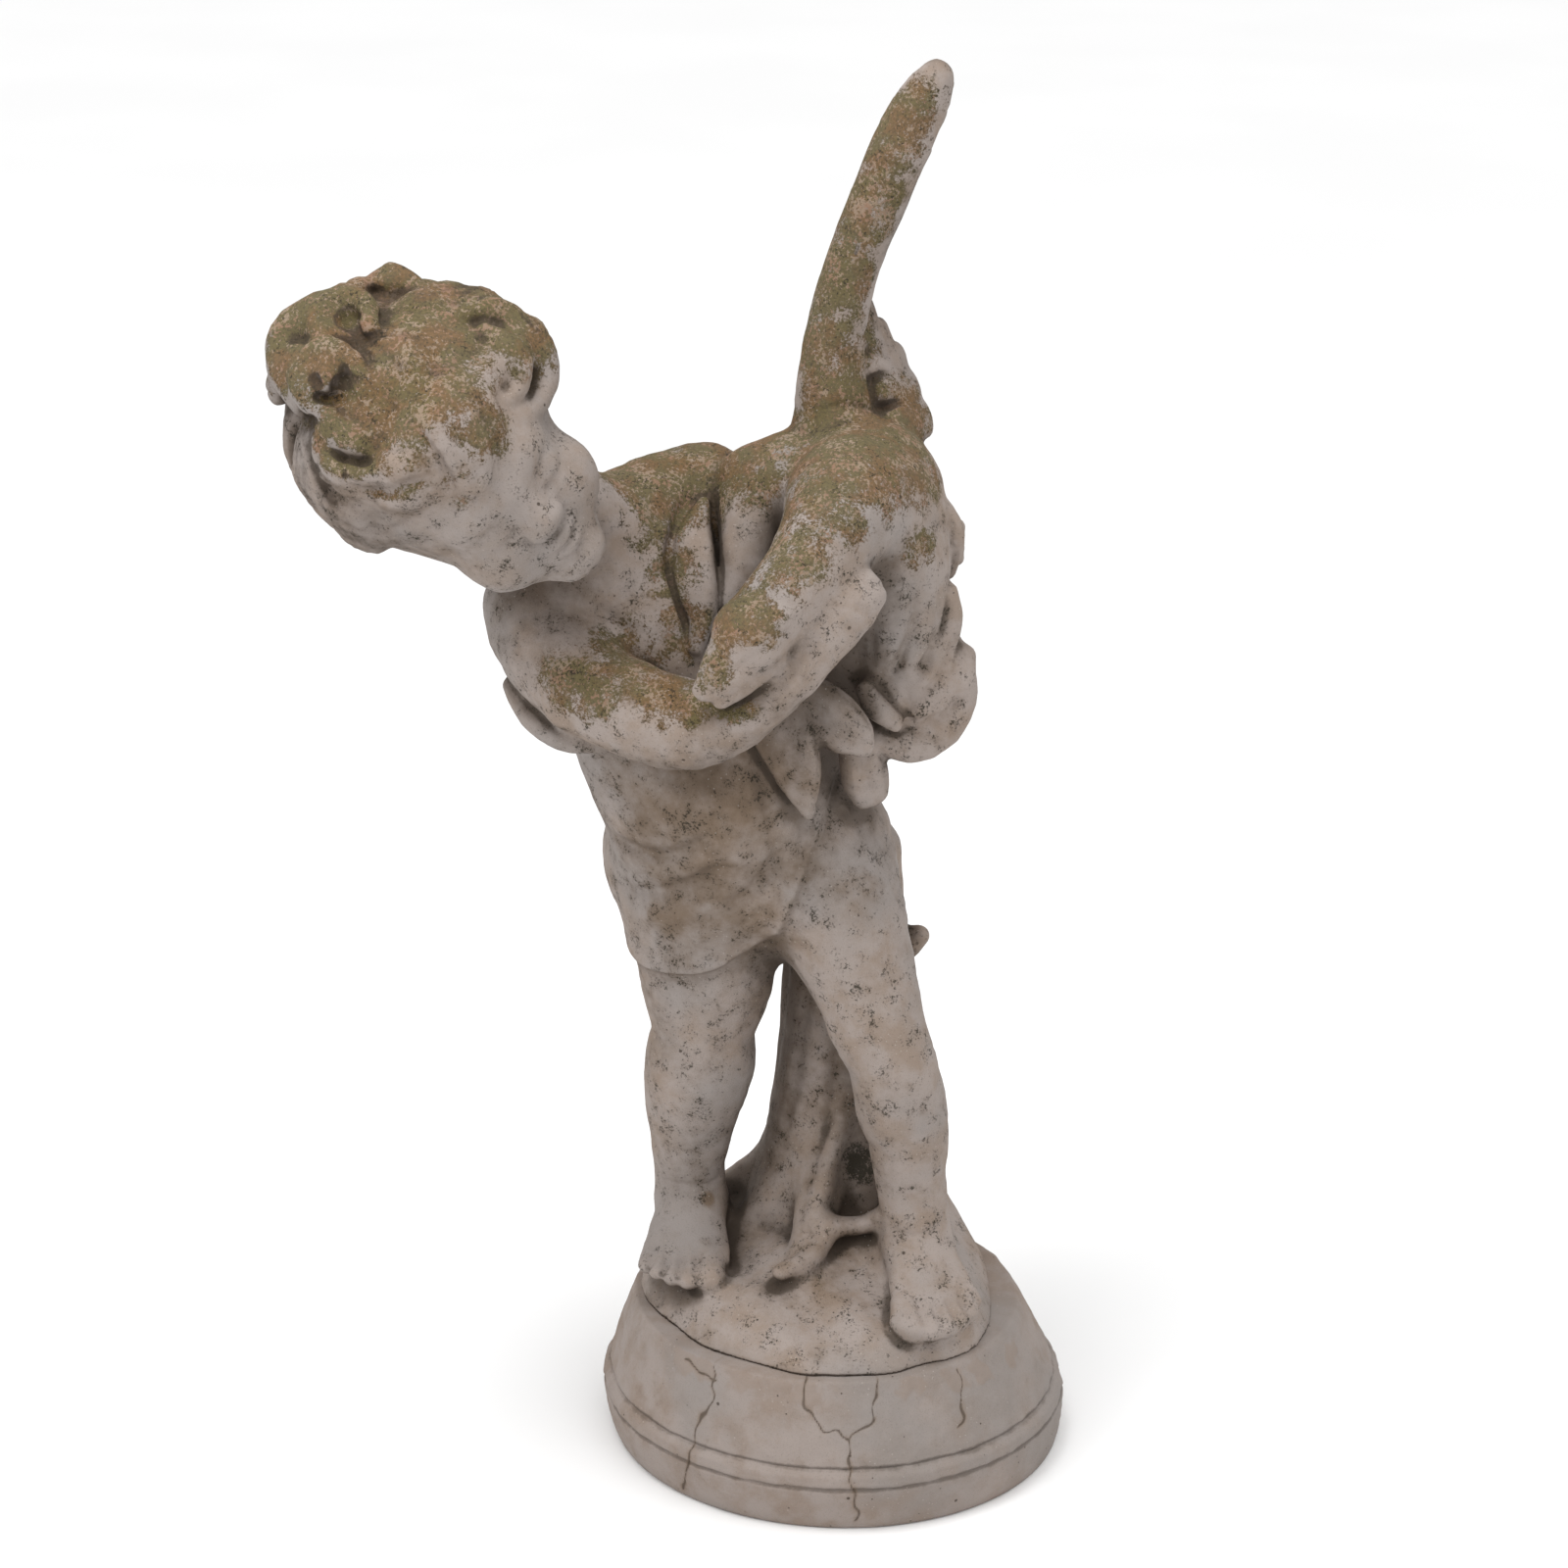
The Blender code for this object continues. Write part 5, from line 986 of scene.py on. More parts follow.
@dataclass
class Head:
    """The bowed head with its face. x is to the child's left, -y out of the face and z to the crown."""

    frame: Frame = field(default_factory=lambda: Frame((-273, -100, 654), (4, -48, 30.5)))
    eye_side: float = 25.5
    eye_height: float = -15
    mouth_height: float = -58

    def carve(self, clay: Clay) -> None:
        """Adds the skull, the cheeks, the features and the ears."""
        clay.frame = self.frame
        clay.ball((0, 8, 12), (72, 82, 78), 10)
        clay.ball((0, -36, 14), (58, 42, 42), 16)
        clay.ball((1, -27, -35), (53, 51, 53), 20)
        clay.ball((0, -34, -60), (42, 42, 33), 16)
        for side in (-1, 1):
            clay.ball((side * 31, -52, -43), (26, 25, 26), 14)
        clay.ball((68, 2, -20), (8, 15, 20), 5)
        clay.ball((0, -63, -83), (21, 19, 15), 16)
        middle = np.array(self.frame.place)
        clay.soften(tuple(middle - 120), tuple(middle + 120), 3.0)
        self.eyes(clay)
        self.nose(clay)
        self.mouth(clay)
        clay.frame = STATUE

    def eyes(self, clay: Clay) -> None:
        """Sunk sockets, lowered lids and soft brows."""
        x, z = self.eye_side, self.eye_height
        for side in (-1, 1):
            clay.ball((side * (x - 0.5), -91.5, z + 2), (15, 13, 9), 15, cut=True)
            clay.ball((side * x, -62.5, z - 1), (15, 14.5, 12), 6)
            brow = ((11, -73, 14, 3), (25, -73, 19, 3.5), (38, -64, 16, 2.5))
            clay.limb([(side * a, b, z + c, r) for a, b, c, r in brow], 18)
            lash = ((-13, 5, -3.5), (-6.5, 1, -7), (2, 0, -8.5), (9.5, 3, -7), (15, 8, -3.5))
            clay.stroke([(side * (x + a), -76 + b, z + c) for a, b, c in lash], 1.6, 2.4)
            clay.stroke([(side * (x + a), -75 + b, z + c + 4) for a, b, c in lash], 3.2, -1.3)
            clay.stroke([(side * (x + a), -74 + b, z + c - 6) for a, b, c in lash], 3.6, -0.8)
            fold = ((-11, 5, 6), (-4, 1, 9.5), (4, 0, 9.5), (12, 5, 5.5))
            clay.stroke([(side * (x + a), -74 + b, z + c) for a, b, c in fold], 2.4, 1.1)

    def nose(self, clay: Clay) -> None:
        """A short soft nose with its wings and nostrils."""
        clay.limb(((0, -67, 0, 9), (0, -73.5, -15, 8.6), (0, -80, -27, 8.6), (0, -83, -33, 8.6)), 15)
        for side in (-1, 1):
            clay.ball((side * 8, -79.5, -35.5), (6.5, 7, 6), 6)
            clay.dent((side * 4.4, -86, -41), 2.4, 2.0)
            wing = ((side * 14, -77, -31), (side * 15, -76, -36), (side * 11.5, -78, -40.5))
            clay.stroke(wing, 2.0, 1.2)
        clay.stroke(((0, -82, -43), (0, -82, -48)), 2.4, 1.0)

    def mouth(self, clay: Clay) -> None:
        """Full closed lips with dimpled corners, and the hollow under them."""
        z = self.mouth_height
        for side in (-1, 1):
            rows = ((side * 14, -75, z + 2.8, 2.8), (side * 5, -80.5, z + 5.2, 4.0), (0, -80.8, z + 4.4, 3.8))
            clay.limb(rows, 5)
            clay.dent((side * 18, -75, z + 1), 3.4, 1.4)
        clay.limb(((-10, -75.5, z - 3.8, 3.4), (0, -79.6, z - 5.4, 4.6), (10, -75.5, z - 3.8, 3.4)), 5)
        line = (
            (-17, -76, z + 1.6), (-8, -83, z - 0.2), (0, -85, z - 0.8), (8, -83, z - 0.2), (17, -76, z + 1.6)
        )
        clay.stroke(line, 1.8, 3.2)
        clay.stroke(((-9, -78, z - 13), (0, -80, z - 14), (9, -78, z - 13)), 4.5, 1.3)


@dataclass
class Hair:
    """Thick soft hair: flat locks swept over the head, a roll at the temple and curls behind the crown."""

    frame: Frame = field(default_factory=lambda: Head().frame)
    middle: Point = (8, 16, 22)
    radii: Point = (84, 82, 78)
    # Each lock: its half width, how far it stands out, and its turns and lifts from root to end
    locks: tuple = (
        (19, 6, ((8, 50), (-2, 30), (-11, 10), (-18, -4))),
        (12, 9, ((22, 36), (14, 17), (4, 4), (-8, -4))),
        (17, 8, ((34, 20), (54, 8), (74, -2), (76, -16), (62, -18))),
        (16, 6, ((70, 42), (82, 22), (96, 4), (92, -14))),
        (15, 5, ((-59, 66), (-69, 53), (-67, 39), (-51, 30), (-30, 25), (-14, 23))),
        (16, 2, ((-112, 57), (-98, 44), (-88, 28), (-80, 12), (-68, 0), (-50, -6), (-34, -6))),
    )
    # Low waves over the crown, written as the locks are
    crown: tuple = (
        (24, -7, ((150, 84), (60, 80), (34, 62), (26, 44), (30, 28))),
        (24, -7, ((120, 80), (74, 70), (56, 54), (46, 36), (50, 22))),
        (24, -7, ((190, 86), (10, 82), (6, 64), (-2, 50), (2, 38))),
        (24, -6, ((-160, 84), (-50, 82), (-36, 66), (-30, 48), (-22, 34))),
        (22, -6, ((-120, 82), (-84, 72), (-80, 56), (-72, 44), (-64, 36))),
        (22, -6, ((116, 70), (92, 56), (78, 42), (80, 28), (90, 18))),
    )
    # Rings of locks round the back: lift of the roots, lift of the ends, first and last turn, and how many
    rings: tuple = (
        (66, 14, 92, 262, 8),
        (32, -22, 84, 276, 9),
        (0, -46, 108, 252, 7),
    )
    # Each curl: its turn, its lift, how far out, its radius, its half width and its first angle
    curls: tuple = (
        (150, 57, 13, 21, 10, 0.5),
        (-96, 76, 11, 19, 10, 2.0),
        (178, 66, 22, 16, 9, 4.0),
        (-146, 60, 16, 17, 9, 1.0),
        (122, 46, 12, 9, 8, 0.0),
        (-130, 74, 20, 12, 8, 5.0),
    )
    # Ridges and grooves over the front, in the statue's own frame: their way, half width and depth
    waves: tuple = (
        (((-283, -192, 712), (-271, -194, 694), (-260, -192, 674), (-255, -185, 650)), 9.0, -4.5),
        (((-244, -180, 700), (-240, -178, 682), (-241, -177, 664), (-250, -181, 650)), 7.0, -3.0),
        (((-358, -160, 691), (-355, -166, 674), (-342, -175, 664), (-326, -181, 662)), 8.0, -4.5),
        (((-322, -184, 668), (-304, -189, 668), (-286, -193, 676)), 7.0, -3.0),
        (((-340, -150, 634), (-318, -168, 640), (-298, -184, 648), (-280, -188, 652)), 8.0, -4.0),
        (
            (
                (-341, -168, 672), (-326, -178, 654), (-308, -188, 654), (-293, -193, 662),
                (-276, -193, 666),
            ),
            3.2, 5.0,
        ),
        (((-354, -165, 680), (-352, -167, 664), (-346, -160, 648), (-344, -149, 636)), 3.0, 4.0),
        (((-345, -152, 626), (-331, -154, 619), (-308, -162, 620), (-290, -178, 636)), 2.6, 3.4),
        (((-316, -180, 690), (-302, -186, 680), (-290, -192, 684)), 2.8, 2.6),
        (((-268, -194, 712), (-260, -192, 694), (-250, -188, 676), (-247, -184, 660)), 2.6, 3.0),
        (((-296, -188, 706), (-284, -194, 694), (-272, -196, 678), (-266, -190, 658)), 2.4, 2.4),
        (
            (
                (-248, -176, 706), (-239, -177, 692), (-236, -176, 676), (-239, -177, 660),
                (-252, -181, 645),
            ),
            1.9, 4.4,
        ),
        (((-290, -176, 700), (-277, -186, 688), (-268, -190, 672), (-264, -188, 659)), 2.6, 3.0),
        (
            (
                (-244, -108, 766), (-228, -112, 756), (-219, -116, 741), (-216, -122, 726),
                (-221, -132, 712),
            ),
            2.6, 3.6,
        ),
        (((-358, -157, 709), (-343, -161, 708), (-330, -166, 712)), 3.4, 4.6),
        (((-364, -150, 716), (-350, -160, 700), (-338, -166, 698)), 5.0, -3.0),
        (((-231, -102, 749), (-222, -104, 746), (-214, -105, 740)), 4.0, 4.0),
        (((-256, -163, 734), (-248, -154, 738), (-240, -146, 740)), 3.2, 2.4),
        (((-312, -148, 749), (-286, -160, 746), (-262, -143, 736)), 3.4, 2.0),
        (((-308, -116, 767), (-282, -126, 764), (-256, -138, 754)), 3.4, 1.8),
        (((-300, -96, 772), (-272, -104, 770), (-246, -118, 760)), 3.2, 1.4),
        (((-304, -168, 728), (-284, -176, 722), (-262, -172, 722), (-246, -166, 724)), 3.2, 2.0),
    )
    # Rolls in the statue's own frame: at the temple, over the brow, and those of the topknot
    rolls: tuple = (
        (
            (-262, -110, 754, 6), (-247, -106, 755, 9), (-233, -103, 748, 11), (-220, -104, 738, 12),
            (-213, -107, 724, 12), (-212, -112, 709, 11), (-217, -126, 698, 10), (-227, -142, 693, 8.5),
            (-236, -152, 690, 6),
        ),
        (
            (-248, -118, 744, 6), (-234, -126, 738, 8), (-225, -130, 727, 8.5), (-225, -136, 714, 7.5),
            (-231, -146, 706, 5),
        ),
        (
            (-290, -152, 716, 7), (-273, -166, 706, 10.5), (-260, -173, 692, 12), (-253, -175, 677, 12),
            (-251, -174, 663, 10), (-256, -173, 653, 7),
        ),
        (
            (-350, -132, 738, 6), (-357, -118, 748, 8), (-351, -106, 757, 9), (-338, -104, 760, 9),
            (-326, -114, 757, 8.5), (-321, -130, 748, 7),
        ),
        (
            (-322, -158, 712, 6), (-327, -150, 724, 8), (-337, -142, 732, 8.5), (-351, -140, 735, 8.5),
            (-362, -141, 727, 8), (-366, -148, 714, 7), (-358, -156, 702, 6.5), (-346, -158, 700, 5.5),
        ),
        (
            (-358, -100, 756, 8), (-374, -104, 744, 10), (-381, -112, 728, 11), (-376, -128, 712, 10),
            (-364, -142, 698, 7.5),
        ),
        ((-312, -80, 762, 8), (-303, -78, 764, 9.5), (-294, -84, 760, 7)),
        ((-348, -146, 700, 9), (-340, -157, 688, 13), (-326, -163, 682, 13), (-310, -167, 680, 9)),
        ((-318, -118, 742, 7), (-306, -136, 738, 10), (-292, -150, 730, 10), (-282, -162, 716, 7)),
    )
    hollows: tuple = (
        ((-337, -122, 752), 7.5),
        ((-340, -157, 717), 5.5),
        ((-354, -156, 719), 4.5),
        ((-354, -160, 697), 4.5),
        ((-369, -126, 738), 4.5),
    )
    strand_width: float = 2.0
    strand_depth: float = 1.5

    def point(self, turn: float, lift: float, out: float = 0.0) -> np.ndarray:
        """A point of the hair's surface.

        Args:
            turn: Degrees from the face to the child's left.
            lift: Degrees up to the crown.
            out: How far it stands out from the smooth surface.

        Returns:
            The point in the head's frame.
        """
        a, b = math.radians(turn), math.radians(lift)
        way = np.array((math.sin(a) * math.cos(b), -math.cos(a) * math.cos(b), math.sin(b)))
        return np.array(self.middle) + way * (np.array(self.radii) + out)

    def all_locks(self) -> list[tuple[float, float, Stations]]:
        """The locks of the front and those of the rings, lowest ring first."""
        out = []
        for row, (top, foot, first, last, count) in enumerate(reversed(self.rings)):
            for i in range(count):
                turn = first + (last - first) * i / (count - 1)
                sway = 9 if (i + row) % 2 else -7
                ways = ((0, 0.0), (sway, 0.35), (sway * 0.3, 0.7), (-sway, 0.9), (-sway * 2, 1.0))
                way = tuple((turn + aside, top + (foot - top) * t) for aside, t in ways)
                out.append((20 - 2 * row, -1 + 2.5 * row, way))
        return out + list(self.crown) + list(self.locks)

    def carve(self, clay: Clay) -> None:
        """Adds the mass of hair, its locks and the curls."""
        clay.frame = self.frame
        clay.ball(self.middle, self.radii, 4)
        clay.ball((0, -48, 50), (52, 30, 30), 10)
        for width, out, way in self.all_locks():
            rows = []
            for i, (turn, lift) in enumerate(way):
                t = i / (len(way) - 1)
                wide = width * (0.62 + 0.42 * math.sin(math.pi * min(1, t + 0.12)) - 0.16 * t)
                sunk = 9 * max(0, 1 - 3 * t)
                rows.append((*self.point(turn, lift, out - sunk), wide, 0.52 * wide + 1.5))
            clay.limb(rows, 4, self.across(way))
        clay.ball(tuple(self.point(178, 68)), (44, 42, 30), 8)
        for turn, lift, out, radius, thick, start in self.curls:
            self.curl(clay, self.point(turn, lift, out), radius, thick, start)
        clay.frame = STATUE
        for rows in self.rolls:
            clay.limb(rows, 4)
        for place, radius in self.hollows:
            clay.ball(tuple(clay.snap(np.array([place]))[0]), (radius, radius, radius), 4, cut=True)

    def across(self, way: Sequence[Point]) -> tuple[np.ndarray, np.ndarray]:
        """The directions along the head that a lock's width takes at its two ends."""
        rows = np.array([self.point(turn, lift) for turn, lift in way])
        run = np.gradient(rows, axis=0)
        side = np.cross(run, rows - np.array(self.middle))
        return unit_vector(side[0]), unit_vector(side[-1])

    def curl(self, clay: Clay, middle: np.ndarray, radius: float, thick: float, start: float) -> None:
        """A lock coiled once and a half round the way out of the head.

        Args:
            clay: The block of clay.
            middle: The coil's middle.
            radius: The coil's radius.
            thick: The lock's half width.
            start: The angle that the coil starts at.
        """
        axis = unit_vector(middle - np.array(self.middle))
        first = unit_vector(np.cross(axis, (0.2, 1, 0.3)))
        second = np.cross(axis, first)
        rows = []
        for i in range(10):
            t = i / 9
            a = start + 2.8 * math.pi * t
            r = radius * (1 - 0.6 * t)
            place = middle + first * math.cos(a) * r + second * math.sin(a) * r + axis * 7 * t
            rows.append((*place, thick * (1 - 0.3 * t)))
        clay.limb(rows, 3, steps=3)

    def crease(self, clay: Clay) -> None:
        """Combs strands along every lock, and draws the waves of the front."""
        clay.frame = self.frame
        for width, out, way in self.all_locks():
            for share in (-0.62, -0.2, 0.2, 0.62):
                self.strand(clay, way, out + width * 0.5, share * width)
        clay.frame = STATUE
        for way, width, depth in self.waves:
            clay.stroke(way, width, depth)

    def strand(self, clay: Clay, way: Sequence[Point], out: float, aside: float) -> None:
        """One fine groove beside a lock's middle line.

        Args:
            clay: The block of clay.
            way: The lock's turns and lifts.
            out: How far the lock's top stands out.
            aside: How far the groove is from its middle line.
        """
        middle = np.array([self.point(turn, lift, out) for turn, lift in way])
        run = np.gradient(middle, axis=0)
        away = middle - np.array(self.middle)
        side = np.cross(run, away)
        side /= np.linalg.norm(side, axis=1)[:, None]
        narrow = np.linspace(1, 0.45, len(way))[:, None]
        clay.stroke(middle + side * aside * narrow, self.strand_width, self.strand_depth)


@dataclass
class Ground:
    """The rock mound under the feet and the tree stump behind the legs."""

    radius: float
    shift: tuple[float, float]
    stump: Stations = (
        (-12, 44, 20, 66),
        (-10, 46, 80, 51),
        (-6, 50, 160, 44),
        (-2, 54, 240, 44),
        (0, 60, 315, 38),
    )
    roots: Stations = (
        (-70, 10, -18),
        (-30, -60, 14),
        (34, -20, 40),
        (70, 60, 30),
        (-20, 110, 10),
        (-90, 70, 0),
    )
    stub: Stations = ((16, 56, 234, 20), (40, 56, 248, 13), (52, 54, 256, 8))
    root_edge: Stations = ((0, 4, 132), (-8, -8, 105), (-18, -38, 70), (11, -36, 66), (26, -40, 74))
    root_tail: Stations = ((-10, -36, 66), (-14, -48, 56), (-27, -64, 50), (-44, -74, 46))

    def carve(self, clay: Clay) -> None:
        """Adds the stump, its roots and the mound."""
        clay.limb(self.stump, 8)
        for x, y, lift in self.roots:
            start = (-4 + 0.3 * x, 46 + 0.3 * (y - 46), 90 + lift, 14)
            knee = (0.7 * x, 46 + 0.7 * (y - 46), 58, 15)
            clay.limb((start, knee, (x, y, 40, 10)), 14)
        clay.limb(self.stub, 6)
        self.mound(clay)

    def mound(self, clay: Clay) -> None:
        """A low dome of rock as wide as the plinth's top, with nothing below or outside it."""
        place, (x, y, z) = clay.window(np.array((-170, -170, -20)), np.array((170, 170, 110)))
        x, y = x - self.shift[0], y - self.shift[1]
        across = np.sqrt(x * x + y * y)
        wall = across - self.radius
        lumps = 5 * np.sin(x * 0.045 + 1) * np.sin(y * 0.05 + 2) + 3 * np.sin(x * 0.09 + y * 0.07)
        dome = (z - 52 - lumps + across**2 / 560 - 0.06 * x - 0.1 * y) * 0.9
        dome = np.maximum(dome, (x - 78) * 0.78 + (z - 56) * 0.62)
        soft = 26
        near = np.maximum(soft - np.abs(wall - dome), 0)
        clay.add(place, np.maximum(wall, dome) + near * near / (4 * soft), 7)
        place, (x, y, z) = clay.window(np.array((-400, -400, -60)), np.array((400, 400, 30)))
        across = np.sqrt((x - self.shift[0]) ** 2 + (y - self.shift[1]) ** 2)
        clay.field[place] = np.maximum(clay.field[place], np.maximum(across - self.radius, -z))

    def crease(self, clay: Clay) -> None:
        """Cuts the stump's flutes, the torn root and the lumps of rock."""
        for k in range(9):
            a = math.radians(-150 + 40 * k)
            rows = []
            for z, r in ((90, 52), (140, 47), (190, 45), (240, 45), (285, 42)):
                twist = a + 0.002 * z
                rows.append((-6 + r * math.cos(twist), 50 + r * math.sin(twist), z))
            clay.stroke(rows, 5, 2.6)
        clay.limb([(*row, 7) for row in self.root_edge], 9)
        clay.limb([(*row, 6) for row in self.root_tail], 9)
        clay.dent((11, 0, 100), 12, 6)
        clay.stroke(((1, -36, 50), (29, -72, 38), (57, -107, 25)), 2.0, 1.4)
        clay.stroke(((30, -104, 34), (52, -118, 26), (78, -108, 24), (98, -86, 24)), 6, -3)


@dataclass(frozen=True)
class Patch:
    """A round patch of growth or stain: its middle, its radius and how strong it is."""

    place: Point
    radius: float
    strength: float = 1.0


def patches_at(patches: Iterable[Patch], places: np.ndarray) -> np.ndarray:
    """How strongly patches cover places, 0 to 1 and a little more.

    Args:
        patches: The patches, in pose units.
        places: Rows of places in pose units.

    Returns:
        One number for each place.
    """
    total = np.zeros(len(places))
    for patch in patches:
        far = np.linalg.norm(places - np.array(patch.place), axis=1)
        total = np.maximum(total, patch.strength * (1 - smooth_step(0.35, 1.2, far / patch.radius)))
    return total


MOSS = (
    Patch((-330, -90, 752), 74, 1.25),
    Patch((-290, -110, 762), 76, 1.25),
    Patch((-240, -90, 752), 66, 1.2),
    Patch((-300, -150, 720), 64, 1.2),
    Patch((-350, -130, 730), 56, 1.0),
    Patch((-330, -170, 684), 42, 0.95),
    Patch((-300, -186, 660), 30, 0.6),
    Patch((-246, -170, 690), 26, 0.75),
    Patch((-262, -184, 660), 22, 0.5),
    Patch((-150, 10, 620), 62, 1.0),
    Patch((-110, 20, 620), 50, 0.9),
    Patch((-140, -20, 596), 42, 0.75),
    Patch((-128, -38, 560), 30, 0.62),
    Patch((-118, -54, 522), 26, 0.7),
    Patch((-150, -90, 512), 42, 0.8),
    Patch((-185, -104, 492), 40, 0.72),
    Patch((-120, -120, 496), 34, 0.75),
    Patch((-82, -140, 496), 22, 0.45),
    Patch((-96, 10, 596), 40, 0.9),
    Patch((-60, 10, 620), 52, 1.0),
    Patch((0, -20, 650), 70, 1.1),
    Patch((20, 20, 640), 52, 0.9),
    Patch((-12, -60, 632), 52, 1.0),
    Patch((-26, -92, 612), 40, 0.85),
    Patch((-48, -124, 590), 34, 0.8),
    Patch((-76, -146, 560), 34, 0.85),
    Patch((-96, -156, 528), 22, 0.7),
    Patch((-22, 20, 700), 44, 0.85),
    Patch((-16, 20, 750), 44, 0.85),
    Patch((4, 22, 800), 44, 0.9),
    Patch((24, 24, 850), 46, 0.9),
    Patch((40, -60, 586), 22, 0.5),
)

STAINS = (
    Patch((-100, -60, 400), 84, 0.80),
    Patch((-95, -60, 330), 80, 0.72),
    Patch((-70, -76, 428), 34, 0.85),
    Patch((-84, -60, 304), 30, 0.7),
    Patch((7, -54, 337), 30, 0.35),
    Patch((-97, -13, 72), 7.5, 1.3),
    Patch((-38, -61, 46), 8, 0.9),
    Patch((-17, -74, 38), 10, 0.7),
    Patch((-6, -34, 54), 24, 0.8),
    Patch((-30, -64, 50), 40, 0.45),
    Patch((0, 46, 130), 80, 0.55),
    Patch((0, 50, 240), 60, 0.5),
    Patch((40, -50, 480), 50, 0.4),
)


# Where the painted shade is lifted and rain keeps the stone clean: the face, the chest, the hanging wing's rim
# and the mound's front
SHADE_LIFTED_AND_WASHED = (
    Patch(tuple(Head().frame.points([(0, -72, -34)])[0]), 84, 0.8),
    Patch((-160, -60, 470), 80, 0.4),
    Patch((50, -40, 450), 60, 0.55),
    Patch((50, -90, 30), 90, 0.5),
)


@dataclass
class Statue:
    """The child, the goose, the stump and the mound as one casting."""

    plinth_top: float
    mound_radius: float
    mound_shift: tuple[float, float]
    voxel: float = 1.6
    even: float = 1.45
    triangles: int = 194000
    low: Point = (-410, -215, -12)
    high: Point = (150, 175, 908)

    def clay(self) -> Clay:
        """Every form of the statue, from the big masses to the small ones."""
        clay = Clay(self.low, self.high, self.voxel)
        legs, trunk, arms, goose, hair = Legs(), Trunk(), Arms(), Goose(), Hair()
        ground = Ground(self.mound_radius, self.mound_shift)
        legs.carve(clay)
        trunk.carve(clay)
        Wrap().carve(clay)
        ground.carve(clay)
        arms.carve(clay)
        goose.carve(clay)
        Head().carve(clay)
        hair.carve(clay)
        clay.soften(self.low, self.high, 1.2)
        for form in (legs, trunk, ground, arms, goose, hair):
            form.crease(clay)
        clay.dent((-6, -36, 386), 3.2, 4.0)
        clay.dent((-309, -73, 776), 9, -4)
        return clay

    def build(self) -> bpy.types.Object:
        """The casting's mesh, with numbers at its vertices for dirt, painted shade, moss and stains.

        Returns:
            The finished object, at the origin.
        """
        clay = self.clay()
        points, quads = largest(*skin(clay.field))
        points = points * clay.voxel + clay.low
        LOG.info("clay skin has %d quads", len(quads))
        thing = bpy.data.objects.new("statue", mesh_of("statue", points, quads))
        bpy.context.scene.collection.objects.link(thing)
        make_active(thing)
        remesh = thing.modifiers.new("Even", "REMESH")
        remesh.mode = "VOXEL"
        remesh.voxel_size = self.even
        bpy.ops.object.modifier_apply(modifier=remesh.name)
        thing.data.calc_loop_triangles()
        thin = thing.modifiers.new("Thin", "DECIMATE")
        thin.ratio = self.triangles / len(thing.data.loop_triangles)
        bpy.ops.object.modifier_apply(modifier=thin.name)
        mesh = thing.data
        places, normals = places_of(mesh), normals_of(mesh)
        self.weather(mesh, clay, places, normals)
        lumps = 0.35 * Waves(3, 22).at(places) + 0.16 * Waves(5, 8).at(places)
        places += normals * lumps[:, None]
        places[places[:, 2] < 1.2, 2] = 0
        places = places * POSE_UNIT
        places[:, 2] += self.plinth_top
        place_vertices(mesh, places)
        mesh.shade_smooth()
        return thing

    def weather(self, mesh: bpy.types.Mesh, clay: Clay, places: np.ndarray, normals: np.ndarray) -> None:
        """Stores how sheltered, upward, mossy and stained the surface is, and its painted shade with grime.

        Args:
            mesh: The casting's mesh.
            clay: The clay it came from.
            places: Its vertices in pose units.
            normals: The directions out of it.
        """
        # near, wide and deep: how closed in each point is at 3.5, 13 and 38 millimetres out from the surface
        near = 1 - clay.sample(places + normals * 3.5) / 3.5
        wide = 1 - clay.sample(places + normals * 13) / 13
        deep = 1 - clay.sample(places + normals * 38) / 38
        # roof: how closed in a point is from above; it darkens what lies under overhangs, as painted shade and
        # as grime that rain does not reach
        roof = np.zeros(len(places))
        for lift in (14, 36, 80):
            above = places + normals * 5 + np.array((0, -0.25 * lift, lift))
            roof = np.maximum(roof, 1 - clay.sample(above) / (0.6 * lift))
        # under: painted shade on the surfaces that face down
        under = smooth_step(0.15, 0.95, -normals[:, 2])
        # The darkening mask: painted shade from being closed in, from overhangs and from facing down, with some
        # grime
        shade_and_grime = 0.32 * np.clip(roof, 0, 1) + 0.45 * np.clip(wide, 0, 1)
        shade_and_grime = shade_and_grime + 0.45 * np.clip(deep, 0, 1) + 0.36 * under
        # Less painted shade and less darkening of the fine hollows inside these patches
        shade_lifted_and_washed = patches_at(SHADE_LIFTED_AND_WASHED, places)
        shade_and_grime, near = shade_and_grime * (1 - shade_lifted_and_washed), near * (1 - 0.5 * shade_lifted_and_washed)
        store(mesh, "hollow", np.clip(near, -1, 1.5))
        store(mesh, "shelter", np.clip(wide, -1, 1.5))
        store(mesh, "shade_and_grime", np.clip(shade_and_grime, 0, 1.3))
        facing = smooth_step(-0.45, 0.5, normals[:, 2] - 0.25 * normals[:, 1])
        moss = patches_at(MOSS, places) * facing
        store(mesh, "moss", moss)
        store(mesh, "stain", patches_at(STAINS, places))
        tuft = Patch((13, -2, 100), 17)
        store(mesh, "tuft", patches_at((tuft,), places))


def unrolled(places: np.ndarray) -> np.ndarray:
    """Places on the plinth's side as millimetres round it and up it."""
    round_it = np.arctan2(places[:, 1], places[:, 0]) * 150
    return np.stack([round_it, places[:, 2]], 1)


